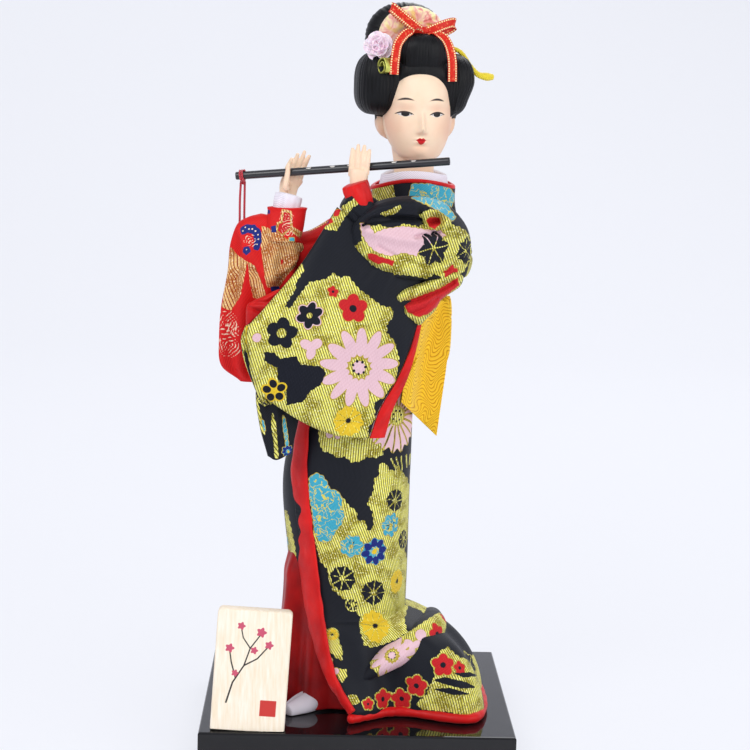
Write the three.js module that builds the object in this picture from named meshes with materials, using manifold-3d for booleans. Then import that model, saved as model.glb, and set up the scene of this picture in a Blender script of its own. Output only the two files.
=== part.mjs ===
// A dressed doll that plays a cross flute, on a black plinth with a wooden plaque.
// Millimetres, +Z up. The origin is the centre of the plinth's underside and the face looks along -Y.

import * as THREE from 'three';
import { mergeVertices } from 'three/addons/utils/BufferGeometryUtils.js';
import Module from 'manifold-3d';

const wasm = await Module();
wasm.setup();

// Fits
const fitGap = 0.3;
const clothThickness = 1.1;

// Plinth
const baseWidth = 125;
const baseDepth = 104;
const baseHeight = 15.5;
const baseEdge = 0.8;

// Plaque
const plaqueWidth = 29.2;
const plaqueHeight = 48;
const plaqueThickness = 7;
const plaqueCornerRadius = 2;
const plaqueSideMargin = 19.1;
const plaqueFrontMargin = 1.8;
const plaqueLean = 0.09;
const plaqueRoll = 0.05;

// Stance: the body faces to the side of the plaque, the head faces forward
const bodyTurn = -0.85;
const headTurn = 0.17;
const hipX = -6;
const waistX = 2;
const chestX = 9.5;
const neckX = 17.4;
const neckY = -1;

// Heights of the body above the plinth's underside
const kneeHeight = 66;
const hipHeight = 112;
const waistHeight = 160;
const chestHeight = 188;
const shoulderHeight = 214;
const collarRise = 14;
const chinRise = 24;
const collarHeight = shoulderHeight + collarRise;
const chinHeight = shoulderHeight + chinRise;

// Half widths and half depths of the clothed body
const hemHalfWidth = 25;
const hemHalfDepth = 24;
const kneeHalfWidth = 24.5;
const kneeHalfDepth = 22.5;
const hipHalfWidth = 26;
const hipHalfDepth = 22;
const waistHalfWidth = 19.5;
const waistHalfDepth = 16.5;
const chestHalfWidth = 19.5;
const chestHalfDepth = 15.5;
const shoulderHalfWidth = 17.5;
const shoulderHalfDepth = 13.5;
const collarHalfWidth = 16;
const collarHalfDepth = 13.4;

// Legs, feet and screws
const legRadius = 3.5;
const legSpacing = 13;
const legTop = 92;
const footLength = 34;
const footWidth = 10.5;
const footHeight = 9;
const ankleHeight = 17;
const sockThickness = 1.6;
const leadingFootStep = 9;
const screwRadius = 1.5;
const screwHeadRadius = 3.5;
const screwHeadHeight = 2.2;
const screwRecess = 1;
const screwDepthInLeg = 14;

// Neck and head
const neckRadius = 8.6;
const neckLength = 13;
const neckPostRadius = 2.5;
const neckPostInHead = 16;
const neckPostInBody = 18;
const faceHalfWidth = 14.2;
const headHeight = 39;
const headHalfDepth = 16;

// Hair
const wigThickness = 3;
const frontRollWidth = 20.5;
const sideBunHeight = 25;
const sideBunReach = 24.3;
const topBunHeight = 29;
const topBunWidth = 32;
const topBunTop = 61.5;

// Obi
const obiHeight = 27;
const obiThickness = 1.8;
const obiKnotWidth = 30;
const obiKnotHeight = 27;
const obiKnotDepth = 8;
const obiKnotRise = 7;
const obiTailReach = 17;
const obiTailLength = 61;
const obiTailThickness = 2.4;

// Skirt, train and their red edges
const trainHeight = 53;
const trainRollRadius = 6;
const frontBandWidth = 11;
const frontBandThickness = 2.4;
const hemRadius = 1.9;

// Collars
const redCollarHeight = 1.5;
const chinClearance = 5;
const whiteCollarNarrowing = 0.8;
const collarSlope = 2.6;

// Sleeves, cuffs and arms
const leftSleeveThickness = 4.5;
const liningWidth = 5.6;
const liningThickness = 1.6;
const hangingSleeveThickness = 3;
const wireRadius = 1;
const wristRadius = 2.9;
const fingerRadius = 1.15;
const whiteCuffRadius = 5.3;
const whiteCuffHeight = 4.2;
const redCuffRadius = 5.2;
const redCuffHeight = 5;

// Flute and its cord
const fluteRadius = 1.55;
const fluteBore = 0.8;
const fluteLeft = new THREE.Vector3(-52.8, -15, 230.2);
const fluteRight = new THREE.Vector3(29.9, -27, 238.7);
const holeRadius = 0.7;
const holeDistances = [29, 38.4, 45, 62.5, 70];
const cordRadius = 0.45;

const layerStep = clothThickness + fitGap;
const floorZ = baseHeight + fitGap;

// Colours, roughness and metalness of the finishes
const finishes = {
  lacquer: { color: 0x111114, roughness: 0.12, metalness: 0 },
  steel: { color: 0x9a9a98, roughness: 0.35, metalness: 1 },
  wood: { color: 0xf3e6cc, roughness: 0.6, metalness: 0 },
  stick: { color: 0xc9a878, roughness: 0.8, metalness: 0 },
  straw: { color: 0xd8c8a0, roughness: 0.9, metalness: 0 },
  skin: { color: 0xfbe6d2, roughness: 0.45, metalness: 0 },
  hair: { color: 0x141417, roughness: 0.4, metalness: 0 },
  pinkBrocade: { color: 0xe8c090, roughness: 0.6, metalness: 0 },
  redRibbon: { color: 0xd8261c, roughness: 0.35, metalness: 0 },
  paleSilk: { color: 0xf6d6ea, roughness: 0.6, metalness: 0 },
  goldFoil: { color: 0xc6c052, roughness: 0.35, metalness: 0.6 },
  yellowFloss: { color: 0xf0d818, roughness: 0.7, metalness: 0 },
  whiteCotton: { color: 0xf2ecf2, roughness: 0.8, metalness: 0 },
  redSatin: { color: 0xd81a1c, roughness: 0.4, metalness: 0 },
  blackBrocade: { color: 0x22242c, roughness: 0.6, metalness: 0.1 },
  copperBrocade: { color: 0xc05030, roughness: 0.5, metalness: 0.3 },
  yellowBrocade: { color: 0xf0b41c, roughness: 0.55, metalness: 0 },
  blackLacquerTube: { color: 0x17171a, roughness: 0.3, metalness: 0 },
  redCord: { color: 0xb81424, roughness: 0.7, metalness: 0 },
};

const vector = (x, y, z) => new THREE.Vector3(x, y, z);

// Solids: closed geometry in, closed geometry out

function solidOf(geometry) {
  const bare = geometry.index ? geometry.toNonIndexed() : geometry.clone();
  bare.deleteAttribute('normal');
  bare.deleteAttribute('uv');
  const merged = mergeVertices(bare, 1e-4);
  return new wasm.Manifold(new wasm.Mesh({
    numProp: 3,
    vertProperties: new Float32Array(merged.attributes.position.array),
    triVerts: new Uint32Array(merged.index.array),
  }));
}

function geometryOf(solid) {
  const result = solid.getMesh();
  const geometry = new THREE.BufferGeometry();
  geometry.setAttribute('position', new THREE.BufferAttribute(result.vertProperties, 3));
  geometry.setIndex(new THREE.BufferAttribute(result.triVerts, 1));
  return geometry;
}

function cut(geometry, ...tools) {
  return geometryOf(tools.reduce((solid, tool) => solid.subtract(solidOf(tool)), solidOf(geometry)));
}

function join(geometry, ...others) {
  return geometryOf(others.reduce((solid, other) => solid.add(solidOf(other)), solidOf(geometry)));
}

// The largest separate body of a cut solid
function largestPiece(geometry) {
  const pieces = solidOf(geometry).decompose();
  return geometryOf(pieces.reduce((best, piece) => (piece.volume() > best.volume() ? piece : best)));
}

function posed(geometry, position, rotation = vector(0, 0, 0)) {
  const turned = new THREE.Euler(rotation.x, rotation.y, rotation.z, 'XYZ');
  const matrix = new THREE.Matrix4().makeRotationFromEuler(turned);
  return geometry.clone().applyMatrix4(matrix.setPosition(position));
}

// A closed skin through rings of equal point counts, with a flat fan at each end
function loft(rings) {
  const count = rings[0].length;
  const positions = [];
  const faces = [];
  rings.flat().forEach((point) => positions.push(point.x, point.y, point.z));
  for (let row = 0; row + 1 < rings.length; row++) {
    for (let i = 0; i < count; i++) {
      const a = row * count + i;
      const b = row * count + ((i + 1) % count);
      faces.push(a, b, a + count, b, b + count, a + count);
    }
  }
  [0, rings.length - 1].forEach((row) => {
    const centre = rings[row].reduce((sum, point) => sum.add(point), vector(0, 0, 0));
    centre.divideScalar(count);
    const hub = positions.length / 3;
    positions.push(centre.x, centre.y, centre.z);
    for (let i = 0; i < count; i++) {
      const a = row * count + i;
      const b = row * count + ((i + 1) % count);
      faces.push(...(row === 0 ? [hub, b, a] : [hub, a, b]));
    }
  });
  return outward(positions, faces);
}

// A geometry whose faces point out, whichever way round its rings were given
function outward(positions, faces) {
  let volume = 0;
  const at = (index) => vector(...positions.slice(index * 3, index * 3 + 3));
  for (let i = 0; i < faces.length; i += 3) {
    volume += at(faces[i]).dot(at(faces[i + 1]).cross(at(faces[i + 2])));
  }
  const geometry = new THREE.BufferGeometry();
  geometry.setAttribute('position', new THREE.Float32BufferAttribute(positions, 3));
  geometry.setIndex(volume < 0 ? faces.toReversed() : faces);
  return geometry;
}

// Stations along a limb or fold: a centre and two half sizes, joined by a smooth spline.
// The section's first half size lies along `side`, the second one across it and the path.
function limb(stations, { side = vector(0, 1, 0), sides = 16, steps = 10, grow = 0, extend = grow } = {}) {
  const path = new THREE.CatmullRomCurve3(stations.map((s) => vector(s.at[0], s.at[1], s.at[2])));
  const halves = new THREE.CatmullRomCurve3(stations.map((s) => vector(s.w, s.d, 0)));
  const rings = [];
  for (let row = 0; row <= steps; row++) {
    const t = row / steps;
    const centre = path.getPoint(t);
    const along = path.getTangent(t);
    if (row === 0) centre.addScaledVector(along, -extend);
    if (row === steps) centre.addScaledVector(along, extend);
    const across = vector(0, 0, 0).crossVectors(along, side).normalize();
    const flat = vector(0, 0, 0).crossVectors(across, along).normalize();
    const half = halves.getPoint(t);
    rings.push(ellipse(centre, flat, half.x + grow, across, half.y + grow, sides));
  }
  return loft(rings);
}

function ellipse(centre, first, firstHalf, second, secondHalf, sides) {
  return Array.from({ length: sides }, (_, i) => {
    const angle = (i / sides) * 2 * Math.PI;
    return centre.clone()
      .addScaledVector(first, firstHalf * Math.cos(angle))
      .addScaledVector(second, secondHalf * Math.sin(angle));
  });
}

// Level ellipses stacked up a smooth spline, for upright pieces
function stack(stations, { sides = 16, steps = 10, grow = 0 } = {}) {
  const path = new THREE.CatmullRomCurve3(stations.map((s) => vector(...s.at)));
  const halves = new THREE.CatmullRomCurve3(stations.map((s) => vector(s.w, s.d, 0)));
  const rings = Array.from({ length: steps + 1 }, (_, row) => {
    const centre = path.getPoint(row / steps);
    if (row === 0) centre.z -= grow;
    if (row === steps) centre.z += grow;
    const half = halves.getPoint(row / steps);
    return ellipse(centre, vector(1, 0, 0), half.x + grow, vector(0, 1, 0), half.y + grow, sides);
  });
  return loft(rings);
}

// A ball with its own half sizes. A power above 2 fills its corners.
function ellipsoid(centre, halves, { grow = 0, sides = 12, rows = 8, power = 2 } = {}) {
  const ball = new THREE.SphereGeometry(1, sides, rows).rotateX(Math.PI / 2);
  const points = ball.attributes.position;
  for (let i = 0; i < points.count; i++) {
    const point = vector(0, 0, 0).fromBufferAttribute(points, i);
    const sum = point.toArray().reduce((total, value) => total + Math.abs(value) ** power, 0);
    points.setXYZ(i, ...point.divideScalar(sum ** (1 / power)));
  }
  return ball.scale(halves.x + grow, halves.y + grow, halves.z + grow)
    .translate(centre.x, centre.y, centre.z);
}

function cylinder(radius, from, to, sides = 12) {
  const path = new THREE.LineCurve3(from, to);
  const rod = new THREE.CylinderGeometry(radius, radius, path.getLength(), sides).rotateX(Math.PI / 2);
  const turn = new THREE.Quaternion().setFromUnitVectors(vector(0, 0, 1), path.getTangent(0));
  const middle = path.getPoint(0.5);
  return rod.applyQuaternion(turn).translate(middle.x, middle.y, middle.z);
}

function capsule(radius, from, to, sides = 6) {
  const path = new THREE.LineCurve3(from, to);
  const rod = new THREE.CapsuleGeometry(radius, path.getLength(), 2, sides, 1).rotateX(Math.PI / 2);
  const turn = new THREE.Quaternion().setFromUnitVectors(vector(0, 0, 1), path.getTangent(0));
  const middle = path.getPoint(0.5);
  return rod.applyQuaternion(turn).translate(middle.x, middle.y, middle.z);
}

// A round tube along a smooth path
function tube(points, radius, { sides = 8, steps = 24 } = {}) {
  const section = new THREE.Shape();
  section.absarc(0, 0, radius, 0, 2 * Math.PI);
  return new THREE.ExtrudeGeometry(section, {
    steps,
    extrudePath: new THREE.CatmullRomCurve3(points),
    curveSegments: sides / 2,
  });
}

// A slab between an upper and a lower skin, from rows of points on its middle surface.
// `out` is the direction of its thickness; rows and columns are joined by splines.
function sheet(rows, thickness, out, { across = 10, down = 12 } = {}) {
  const rowCurves = rows.map((row) => new THREE.CatmullRomCurve3(row.map((p) => vector(...p))));
  const skins = [1, -1].map((sign) => {
    const grid = [];
    for (let j = 0; j <= down; j++) {
      for (let i = 0; i <= across; i++) {
        const column = new THREE.CatmullRomCurve3(rowCurves.map((curve) => curve.getPoint(i / across)));
        grid.push(column.getPoint(j / down).addScaledVector(out, (sign * thickness) / 2));
      }
    }
    return grid;
  });
  const positions = skins.flat().flatMap((p) => [p.x, p.y, p.z]);
  const width = across + 1;
  const back = width * (down + 1);
  const faces = [];
  for (let j = 0; j < down; j++) {
    for (let i = 0; i < across; i++) {
      const a = j * width + i;
      const [b, c, d] = [a + 1, a + width, a + width + 1];
      faces.push(a, c, b, b, c, d, a + back, b + back, c + back, b + back, d + back, c + back);
    }
  }
  const rim = [];
  for (let i = 0; i < across; i++) rim.push(i);
  for (let j = 0; j < down; j++) rim.push(j * width + across);
  for (let i = across; i > 0; i--) rim.push(down * width + i);
  for (let j = down; j > 0; j--) rim.push(j * width);
  rim.forEach((a, index) => {
    const b = rim[(index + 1) % rim.length];
    faces.push(a, b, a + back, b, b + back, a + back);
  });
  return outward(positions, faces);
}

// The clothed body's outline at each height

const bodyStations = [
  { z: baseHeight, x: hipX - 1, y: -4, w: hemHalfWidth, d: hemHalfDepth },
  { z: kneeHeight, x: hipX + 1, y: -2, w: kneeHalfWidth, d: kneeHalfDepth },
  { z: hipHeight, x: hipX, y: 0, w: hipHalfWidth, d: hipHalfDepth },
  { z: waistHeight, x: waistX, y: 0, w: waistHalfWidth, d: waistHalfDepth },
  { z: chestHeight, x: chestX, y: 0, w: chestHalfWidth, d: chestHalfDepth },
  { z: shoulderHeight, x: neckX, y: neckY, w: shoulderHalfWidth, d: shoulderHalfDepth },
  { z: collarHeight, x: neckX + 0.6, y: neckY, w: collarHalfWidth, d: collarHalfDepth },
];

// Cubic through the stations, by height
function bodyAt(z) {
  const last = bodyStations.length - 2;
  const found = bodyStations.findLastIndex((station) => station.z <= z);
  const index = Math.min(Math.max(found, 0), last);
  const station = (i) => bodyStations[Math.min(Math.max(i, 0), last + 1)];
  const span = station(index + 1).z - station(index).z;
  const t = (z - station(index).z) / span;
  const value = (key) => {
    const slope = (i) => (station(i + 1)[key] - station(i - 1)[key]) / (station(i + 1).z - station(i - 1).z);
    const [p, q] = [station(index)[key], station(index + 1)[key]];
    const [m, n] = [slope(index) * span, slope(index + 1) * span];
    return (2 * t ** 3 - 3 * t ** 2 + 1) * p + (t ** 3 - 2 * t ** 2 + t) * m
      + (3 * t ** 2 - 2 * t ** 3) * q + (t ** 3 - t ** 2) * n;
  };
  return { x: value('x'), y: value('y'), w: value('w'), d: value('d') };
}

const bodySides = 20;

// Shallow folds of the skirt that die out toward the hips
function skirtFold(angle, z) {
  const fade = Math.max(0, (hipHeight - z) / (hipHeight - baseHeight));
  return 0.9 * fade * Math.sin(5 * angle + 0.8);
}

function bodyRing(z, inset) {
  const { x, y, w, d } = bodyAt(z);
  return Array.from({ length: bodySides }, (_, i) => {
    const angle = (i / bodySides) * 2 * Math.PI;
    const fold = skirtFold(angle, z) - inset;
    return vector(x + (w + fold) * Math.cos(angle), y + (d + fold) * Math.sin(angle), z);
  });
}

// Every layer has its rings at the same heights, so that the layers' facets stay parallel
const ringPitch = 20;
const ringHeights = [shoulderHeight];
for (let z = ringPitch; z < shoulderHeight - ringPitch / 2; z += ringPitch) ringHeights.push(z);
ringHeights.sort((a, b) => a - b);

function bodyRings(bottom, top, inset) {
  const between = ringHeights.filter((z) => z > bottom + fitGap && z < top - fitGap);
  return [bottom, ...between, top].map((z) => bodyRing(z, inset));
}

const bodyLoft = (bottom, top, inset) => loft(bodyRings(bottom, top, inset));

const lifted = (ring, rise) => ring.map((p) => p.clone().setZ(p.z + rise));

// A sleeve of cloth, open at both ends, between rings at one inset and the same rings further in
function shell(rings, inset, thickness) {
  const inner = rings(inset + thickness);
  const hole = [lifted(inner[0], -1), ...inner, lifted(inner[inner.length - 1], 1)];
  return cut(loft(rings(inset)), loft(hole));
}

const model = new THREE.Group();

function add(name, geometry, finish, parent = model) {
  const mesh = new THREE.Mesh(geometry, new THREE.MeshStandardMaterial(finishes[finish]));
  mesh.name = name;
  parent.add(mesh);
  return mesh;
}

// Facing directions of the body on the ground plane
const facing = vector(Math.sin(bodyTurn), -Math.cos(bodyTurn), 0);
const leftward = vector(Math.cos(bodyTurn), Math.sin(bodyTurn), 0);

function bodyPoint(side, ahead, z) {
  const { x, y } = bodyAt(z);
  return vector(x, y, z).addScaledVector(leftward, side).addScaledVector(facing, ahead);
}

// Plinth, screws, legs and feet

const legPlaces = ['left', 'right'].map((name, index) => {
  const foot = bodyPoint((index === 0 ? 0.5 : -0.5) * legSpacing, index === 0 ? leadingFootStep : 0, baseHeight);
  return { name, foot, top: foot.clone().setZ(legTop) };
});

const screwHeadTop = screwRecess + screwHeadHeight;
const screwTip = baseHeight + screwDepthInLeg;

function screw(grow = 0) {
  const profile = [
    [0, screwRecess - grow],
    [screwHeadRadius + grow, screwRecess - grow],
    [screwHeadRadius + grow, screwHeadTop + grow],
    [screwRadius + grow, screwHeadTop + grow],
    [screwRadius + grow, screwTip - screwRadius + grow],
    [0, screwTip + grow],
  ];
  return new THREE.LatheGeometry(profile.map(([r, z]) => new THREE.Vector2(r, z)), 12).rotateX(Math.PI / 2);
}

function screwAt(place, grow) {
  return screw(grow).translate(place.foot.x, place.foot.y, 0);
}

function baseBoard() {
  const outline = new THREE.Shape();
  const [x, y] = [baseWidth / 2 - baseEdge, baseDepth / 2 - baseEdge];
  outline.moveTo(-x, -y);
  outline.lineTo(x, -y);
  outline.lineTo(x, y);
  outline.lineTo(-x, y);
  const board = new THREE.ExtrudeGeometry(outline, {
    depth: baseHeight - 2 * baseEdge,
    bevelSize: baseEdge,
    bevelThickness: baseEdge,
    bevelSegments: 3,
  }).translate(0, 0, baseEdge);
  const holes = legPlaces.flatMap(({ foot }) => [
    cylinder(screwHeadRadius + fitGap, foot.clone().setZ(-1), foot.clone().setZ(screwHeadTop + fitGap)),
    cylinder(screwRadius + fitGap, foot.clone().setZ(0), foot.clone().setZ(baseHeight + 1)),
  ]);
  return cut(board, ...holes);
}

function screwSlot(place) {
  const slot = new THREE.BoxGeometry(2 * screwHeadRadius + 1, 0.8, 1);
  return slot.translate(place.foot.x, place.foot.y, screwRecess);
}

function leg(place, grow = 0) {
  return cylinder(legRadius + grow, place.foot.clone().setZ(floorZ - grow), place.top.clone().setZ(legTop + grow));
}

// A split-toe sock: a low foot that points ahead, cut flat where it stands
function foot(place, grow = 0) {
  const heel = place.foot.clone().addScaledVector(facing, -0.28 * footLength);
  const toe = place.foot.clone().addScaledVector(facing, 0.72 * footLength);
  const station = (t, w, height) => {
    const spot = heel.clone().lerp(toe, t);
    return { at: [spot.x, spot.y, baseHeight + height * 0.42], w, d: height / 2 + 1 };
  };
  const sole = limb([
    station(0, 0.22 * footWidth, 0.6 * footHeight),
    station(0.12, 0.38 * footWidth, footHeight),
    station(0.4, 0.42 * footWidth, footHeight),
    station(0.75, 0.5 * footWidth, 0.75 * footHeight),
    station(1, 0.3 * footWidth, 0.45 * footHeight),
  ], { side: leftward, sides: 10, steps: 6, grow });
  const ankleTop = place.foot.clone().setZ(baseHeight + ankleHeight + grow);
  const ankle = cylinder(legRadius + sockThickness + grow, place.foot.clone().setZ(floorZ), ankleTop);
  const ground = new THREE.BoxGeometry(baseWidth, baseDepth, baseHeight).translate(0, 0, floorZ - baseHeight / 2);
  return cut(join(sole, ankle), ground, leg(place, fitGap - grow));
}

add('base_board', baseBoard(), 'lacquer');
legPlaces.forEach((place) => {
  add(`base_screw_${place.name}`, cut(screwAt(place), screwSlot(place)), 'steel');
  add(`leg_${place.name}`, cut(leg(place), screwAt(place, fitGap)), 'stick');
  add(`foot_${place.name}`, foot(place), 'whiteCotton');
});

// Arms: wires run inside the sleeves from the body into the wrists

const rightWrist = vector(-32.5, -17.5, 220.5);
const leftWrist = vector(-5.2, -27.4, 225.5);
const rightWirePath = [vector(8, 1, 207), vector(-8, -4, 206), vector(-29, -13, 203), rightWrist];
const leftWirePath = [vector(23.5, -2, 204), vector(31, -9, 200), vector(14, -22, 208), leftWrist];

function wire(path, grow = 0) {
  return tube(path, wireRadius + grow, { sides: 6, steps: 9 });
}

// The room that a wire needs in what it passes through, with a ball round each of its ends
function wireTunnel(path) {
  const radius = wireRadius + 1.5 * fitGap;
  const ball = vector(radius, radius, radius);
  const ends = [path[0], path[path.length - 1]].map((end) => ellipsoid(end, ball, { sides: 6, rows: 4 }));
  return join(wire(path, fitGap), ...ends);
}

// The flute's own line, and points measured from its left end

const fluteAxis = fluteRight.clone().sub(fluteLeft).normalize();
const fluteLength = fluteRight.distanceTo(fluteLeft);
const flutePoint = (distance) => fluteLeft.clone().addScaledVector(fluteAxis, distance);

// Distance that a finger's middle keeps from the flute's axis, and where each hand takes hold
const fingerClear = fluteRadius + fingerRadius + fitGap;
const rightGrip = 20.5;
const leftGrip = 48.5;

const besideFlute = (distance, y, z) => flutePoint(distance).add(vector(0, y, z));

// A hand is a wrist, a palm and fingers, all round-ended rods joined to one solid
function hand(rods, grow) {
  const [first, ...others] = rods.map(([from, to, radius]) => capsule(radius + grow, from, to));
  return join(first, ...others);
}

// The right hand lies behind the flute, and its first finger reaches over the front
function rightHand(grow = 0) {
  const behind = (x, z, gap = 0) => besideFlute(rightGrip + x, fingerClear + gap, z);
  const ahead = (x, z) => besideFlute(rightGrip + x, -fingerClear, z);
  const palm = behind(0.6, -5.5, 1.2);
  const knuckles = [-1.4, 0.8, 3, 5.2];
  const tips = [[1.2, 4.6], [3.6, 6.2], [6.4, 7], [8.6, 5]];
  const rods = [
    [rightWrist, palm, wristRadius],
    [palm, behind(2.2, -2.6, 1.6), wristRadius],
    [palm, ahead(-0.6, -5), fingerRadius + 0.2],
    [ahead(-0.6, -5), ahead(0.4, 3), fingerRadius],
  ];
  knuckles.forEach((x, index) => {
    const [tipX, tipZ] = tips[index];
    rods.push([behind(x, -2.5, 0.6), behind(tipX, tipZ, 0.4 + 0.3 * index), fingerRadius]);
  });
  return hand(rods, grow);
}

// The left hand lies in front of the flute, and its thumb reaches under and behind it
function leftHand(grow = 0) {
  const ahead = (x, z, gap = 0) => besideFlute(leftGrip + x, -fingerClear - gap, z);
  const behind = (x, z) => besideFlute(leftGrip + x, fingerClear, z);
  const palm = ahead(-0.2, -4.6, 1.8);
  const roots = [-3, -1, 1, 3];
  const tips = [[-2.4, 7], [-0.4, 8], [2, 7.8], [3.6, 6]];
  const rods = [
    [leftWrist, palm, wristRadius],
    [palm, ahead(0, -1.4, 1.6), wristRadius - 0.3],
    [palm, behind(2.6, -4.2), fingerRadius + 0.2],
    [behind(2.6, -4.2), behind(2.2, 2.4), fingerRadius],
  ];
  roots.forEach((x, index) => {
    rods.push([ahead(x, -2, 0.3), ahead(...tips[index]), fingerRadius]);
  });
  return hand(rods, grow);
}

add('arm_wire_right', wire(rightWirePath), 'steel');
add('arm_wire_left', wire(leftWirePath), 'steel');
const wireTunnels = [wireTunnel(rightWirePath), wireTunnel(leftWirePath)];

add('hand_right', cut(rightHand(), wireTunnels[0]), 'skin');
add('hand_left', cut(leftHand(), wireTunnels[1]), 'skin');

// Body core and neck peg

const neckSeat = chinHeight - neckLength;
const coreTop = neckSeat - fitGap;
const coreInset = 2 * layerStep + fitGap;

function neckPost(grow = 0) {
  const centre = vector(neckX, neckY, 0);
  return cylinder(
    neckPostRadius + grow,
    centre.clone().setZ(neckSeat - neckPostInBody - grow),
    centre.clone().setZ(neckSeat + neckPostInHead + grow),
  );
}

function bodyCore() {
  const body = bodyRings(kneeHeight + 4, shoulderHeight, coreInset);
  const neck = vector(neckX, neckY, coreTop);
  body.push(ellipse(neck, vector(1, 0, 0), neckRadius, vector(0, 1, 0), neckRadius, bodySides));
  return cut(loft(body), neckPost(fitGap), ...wireTunnels, ...legPlaces.map((place) => leg(place, fitGap)));
}

add('body_core', bodyCore(), 'straw');
add('neck_post', neckPost(), 'stick');

// Red inner robe, black skirt and black bodice. The skirt and the bodice meet under the sash.

const skirtTop = waistHeight;
const robeInset = layerStep;

// The padded red edge of the skirt's opening, from the hips down to the train's front corner
const frontBandPath = [
  { at: [-22.5, -14.8, 134], w: 0.22 * frontBandWidth },
  { at: [-25.6, -14.2, 112], w: 0.38 * frontBandWidth },
  { at: [-24.2, -15.6, 93], w: 0.5 * frontBandWidth },
  { at: [-20.2, -18.4, 76], w: 0.46 * frontBandWidth },
  { at: [-15.2, -23.4, 60], w: 0.38 * frontBandWidth },
  { at: [-10.6, -29.4, 45], w: 0.28 * frontBandWidth },
  { at: [-6.6, -35.2, 31], w: 0.2 * frontBandWidth },
  { at: [-3.2, -40, 20.5], w: 0.15 * frontBandWidth },
];

function frontBand(grow = 0) {
  const stations = frontBandPath.map((station) => ({ ...station, d: frontBandThickness / 2 }));
  return limb(stations, { side: leftward, sides: 8, steps: 12, grow });
}

// The train's outline on the plinth, anticlockwise from the right
const trainCorners = [
  vector(52, -4, 0), vector(43, 20, 0), vector(16, 33, 0), vector(-12, 29, 0), vector(-29, 12, 0),
  vector(-32, -8, 0), vector(-20, -24, 0), vector(-4, -38.6, 0), vector(17, -31, 0), vector(46.5, -37, 0),
];
const trainOutline = new THREE.CatmullRomCurve3(trainCorners, true);

// The train swells out of the skirt like a dome: its outline shrinks to the skirt's at trainHeight
function trainRing(z) {
  const rise = (z - baseHeight) / (trainHeight - baseHeight);
  const spread = Math.sqrt(Math.max(0, 1 - rise ** 2));
  return bodyRing(z, clothThickness / 2).map((point, i) => {
    const outer = trainOutline.getPoint(i / bodySides).setZ(z);
    return point.lerp(outer, spread);
  });
}

// A thick fold that lies across the train, from its front up to its right side
const trainRoll = [
  { at: [1, -31, 31], w: 2.5, d: 2 },
  { at: [12, -29, 39], w: trainRollRadius, d: 0.8 * trainRollRadius },
  { at: [22, -24, 44.5], w: trainRollRadius, d: trainRollRadius },
  { at: [30, -14, 47.5], w: trainRollRadius, d: trainRollRadius },
  { at: [31, 2, 46.5], w: 0.8 * trainRollRadius, d: 0.8 * trainRollRadius },
];

// The padded red hem runs round the train, from the front band to the far side of the opening
function trainHem(grow = 0) {
  const z = floorZ + hemRadius;
  const [far] = trainCorners;
  const order = [vector(-2.2, -40, z), trainCorners[8], trainCorners[9], far, ...trainCorners.slice(1, 6)];
  const path = new THREE.CatmullRomCurve3(order.map((p) => p.clone().setZ(z)));
  const stations = path.getPoints(16).map((p) => ({ at: [p.x, p.y, p.z], w: hemRadius, d: hemRadius }));
  return limb(stations, { side: vector(0, 0, 1), sides: 6, steps: 22, grow });
}

// The opening of the skirt: a wedge beside the front band that widens down to the plinth
function openingWedge() {
  const [low, high] = [0, kneeHeight + 5];
  const hinge = vector(hipX + 4, 2, 0);
  const near = [vector(-5.5, -44, 0), vector(-34, -48, 0), vector(-41, -7, 0)];
  const edge = vector(-30, -28, 0);
  const rings = [low, high].map((z, index) => (
    [hinge, ...near.map((p) => p.clone().lerp(edge, index * 0.86))].map((p) => p.clone().setZ(z))
  ));
  return loft(rings);
}

function outerSkirt() {
  const column = bodyLoft(floorZ + 0.5, skirtTop, 0);
  const trainRows = 5;
  const bottom = floorZ + 1.2 * hemRadius;
  const dome = loft(Array.from({ length: trainRows + 1 }, (_, j) => (
    trainRing(bottom + ((trainHeight - fitGap - bottom) * j) / trainRows)
  )));
  const hole = bodyLoft(floorZ - 2, skirtTop + 1, clothThickness);
  const cloth = join(column, dome, limb(trainRoll, { sides: 10, steps: 7 }));
  const soles = legPlaces.map((place) => foot(place, fitGap));
  const opened = cut(cloth, hole, openingWedge(), frontBand(fitGap), trainHem(fitGap), ...soles);
  return largestPiece(opened);
}

// The inner robe: a long shell, with a fold of its hem spread on the plinth inside the opening
function underRobe() {
  const long = bodyLoft(floorZ + 0.6, shoulderHeight, robeInset);
  const fold = limb([
    { at: [-14, -12, 52], w: 3, d: 2 },
    { at: [-17, -18, 36], w: 7, d: 3 },
    { at: [-16, -25, 19.5], w: 11, d: 4 },
  ], { side: leftward, sides: 12, steps: 6 });
  const hole = bodyLoft(floorZ - 2, shoulderHeight + 1, robeInset + clothThickness);
  const ground = new THREE.BoxGeometry(baseWidth, baseDepth, baseHeight).translate(0, 0, floorZ - baseHeight / 2);
  const soles = legPlaces.map((place) => foot(place, fitGap));
  const edges = [frontBand(fitGap), trainHem(fitGap)];
  return largestPiece(cut(join(long, fold), hole, ground, ...edges, ...soles, ...wireTunnels));
}

add('under_robe', underRobe(), 'redSatin');
add('outer_skirt', outerSkirt(), 'blackBrocade');
add('front_band', frontBand(), 'redSatin');
add('train_hem', trainHem(), 'redSatin');

// Collars and bodice

// The collars stand round the neck, high at the nape and low where the kimono crosses in front
function collarRing(z, inset, slope) {
  return bodyRing(Math.min(z, collarHeight), inset).map((point) => {
    const ahead = point.clone().sub(vector(neckX, neckY, 0)).setZ(0).dot(facing) / collarHalfWidth;
    return point.setZ(z - slope * ahead);
  });
}

const bodiceRings = (inset) => [
  ...bodyRings(skirtTop + fitGap, collarHeight - ringPitch / 2, inset),
  collarRing(collarHeight, inset, collarSlope / 2),
];

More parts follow.
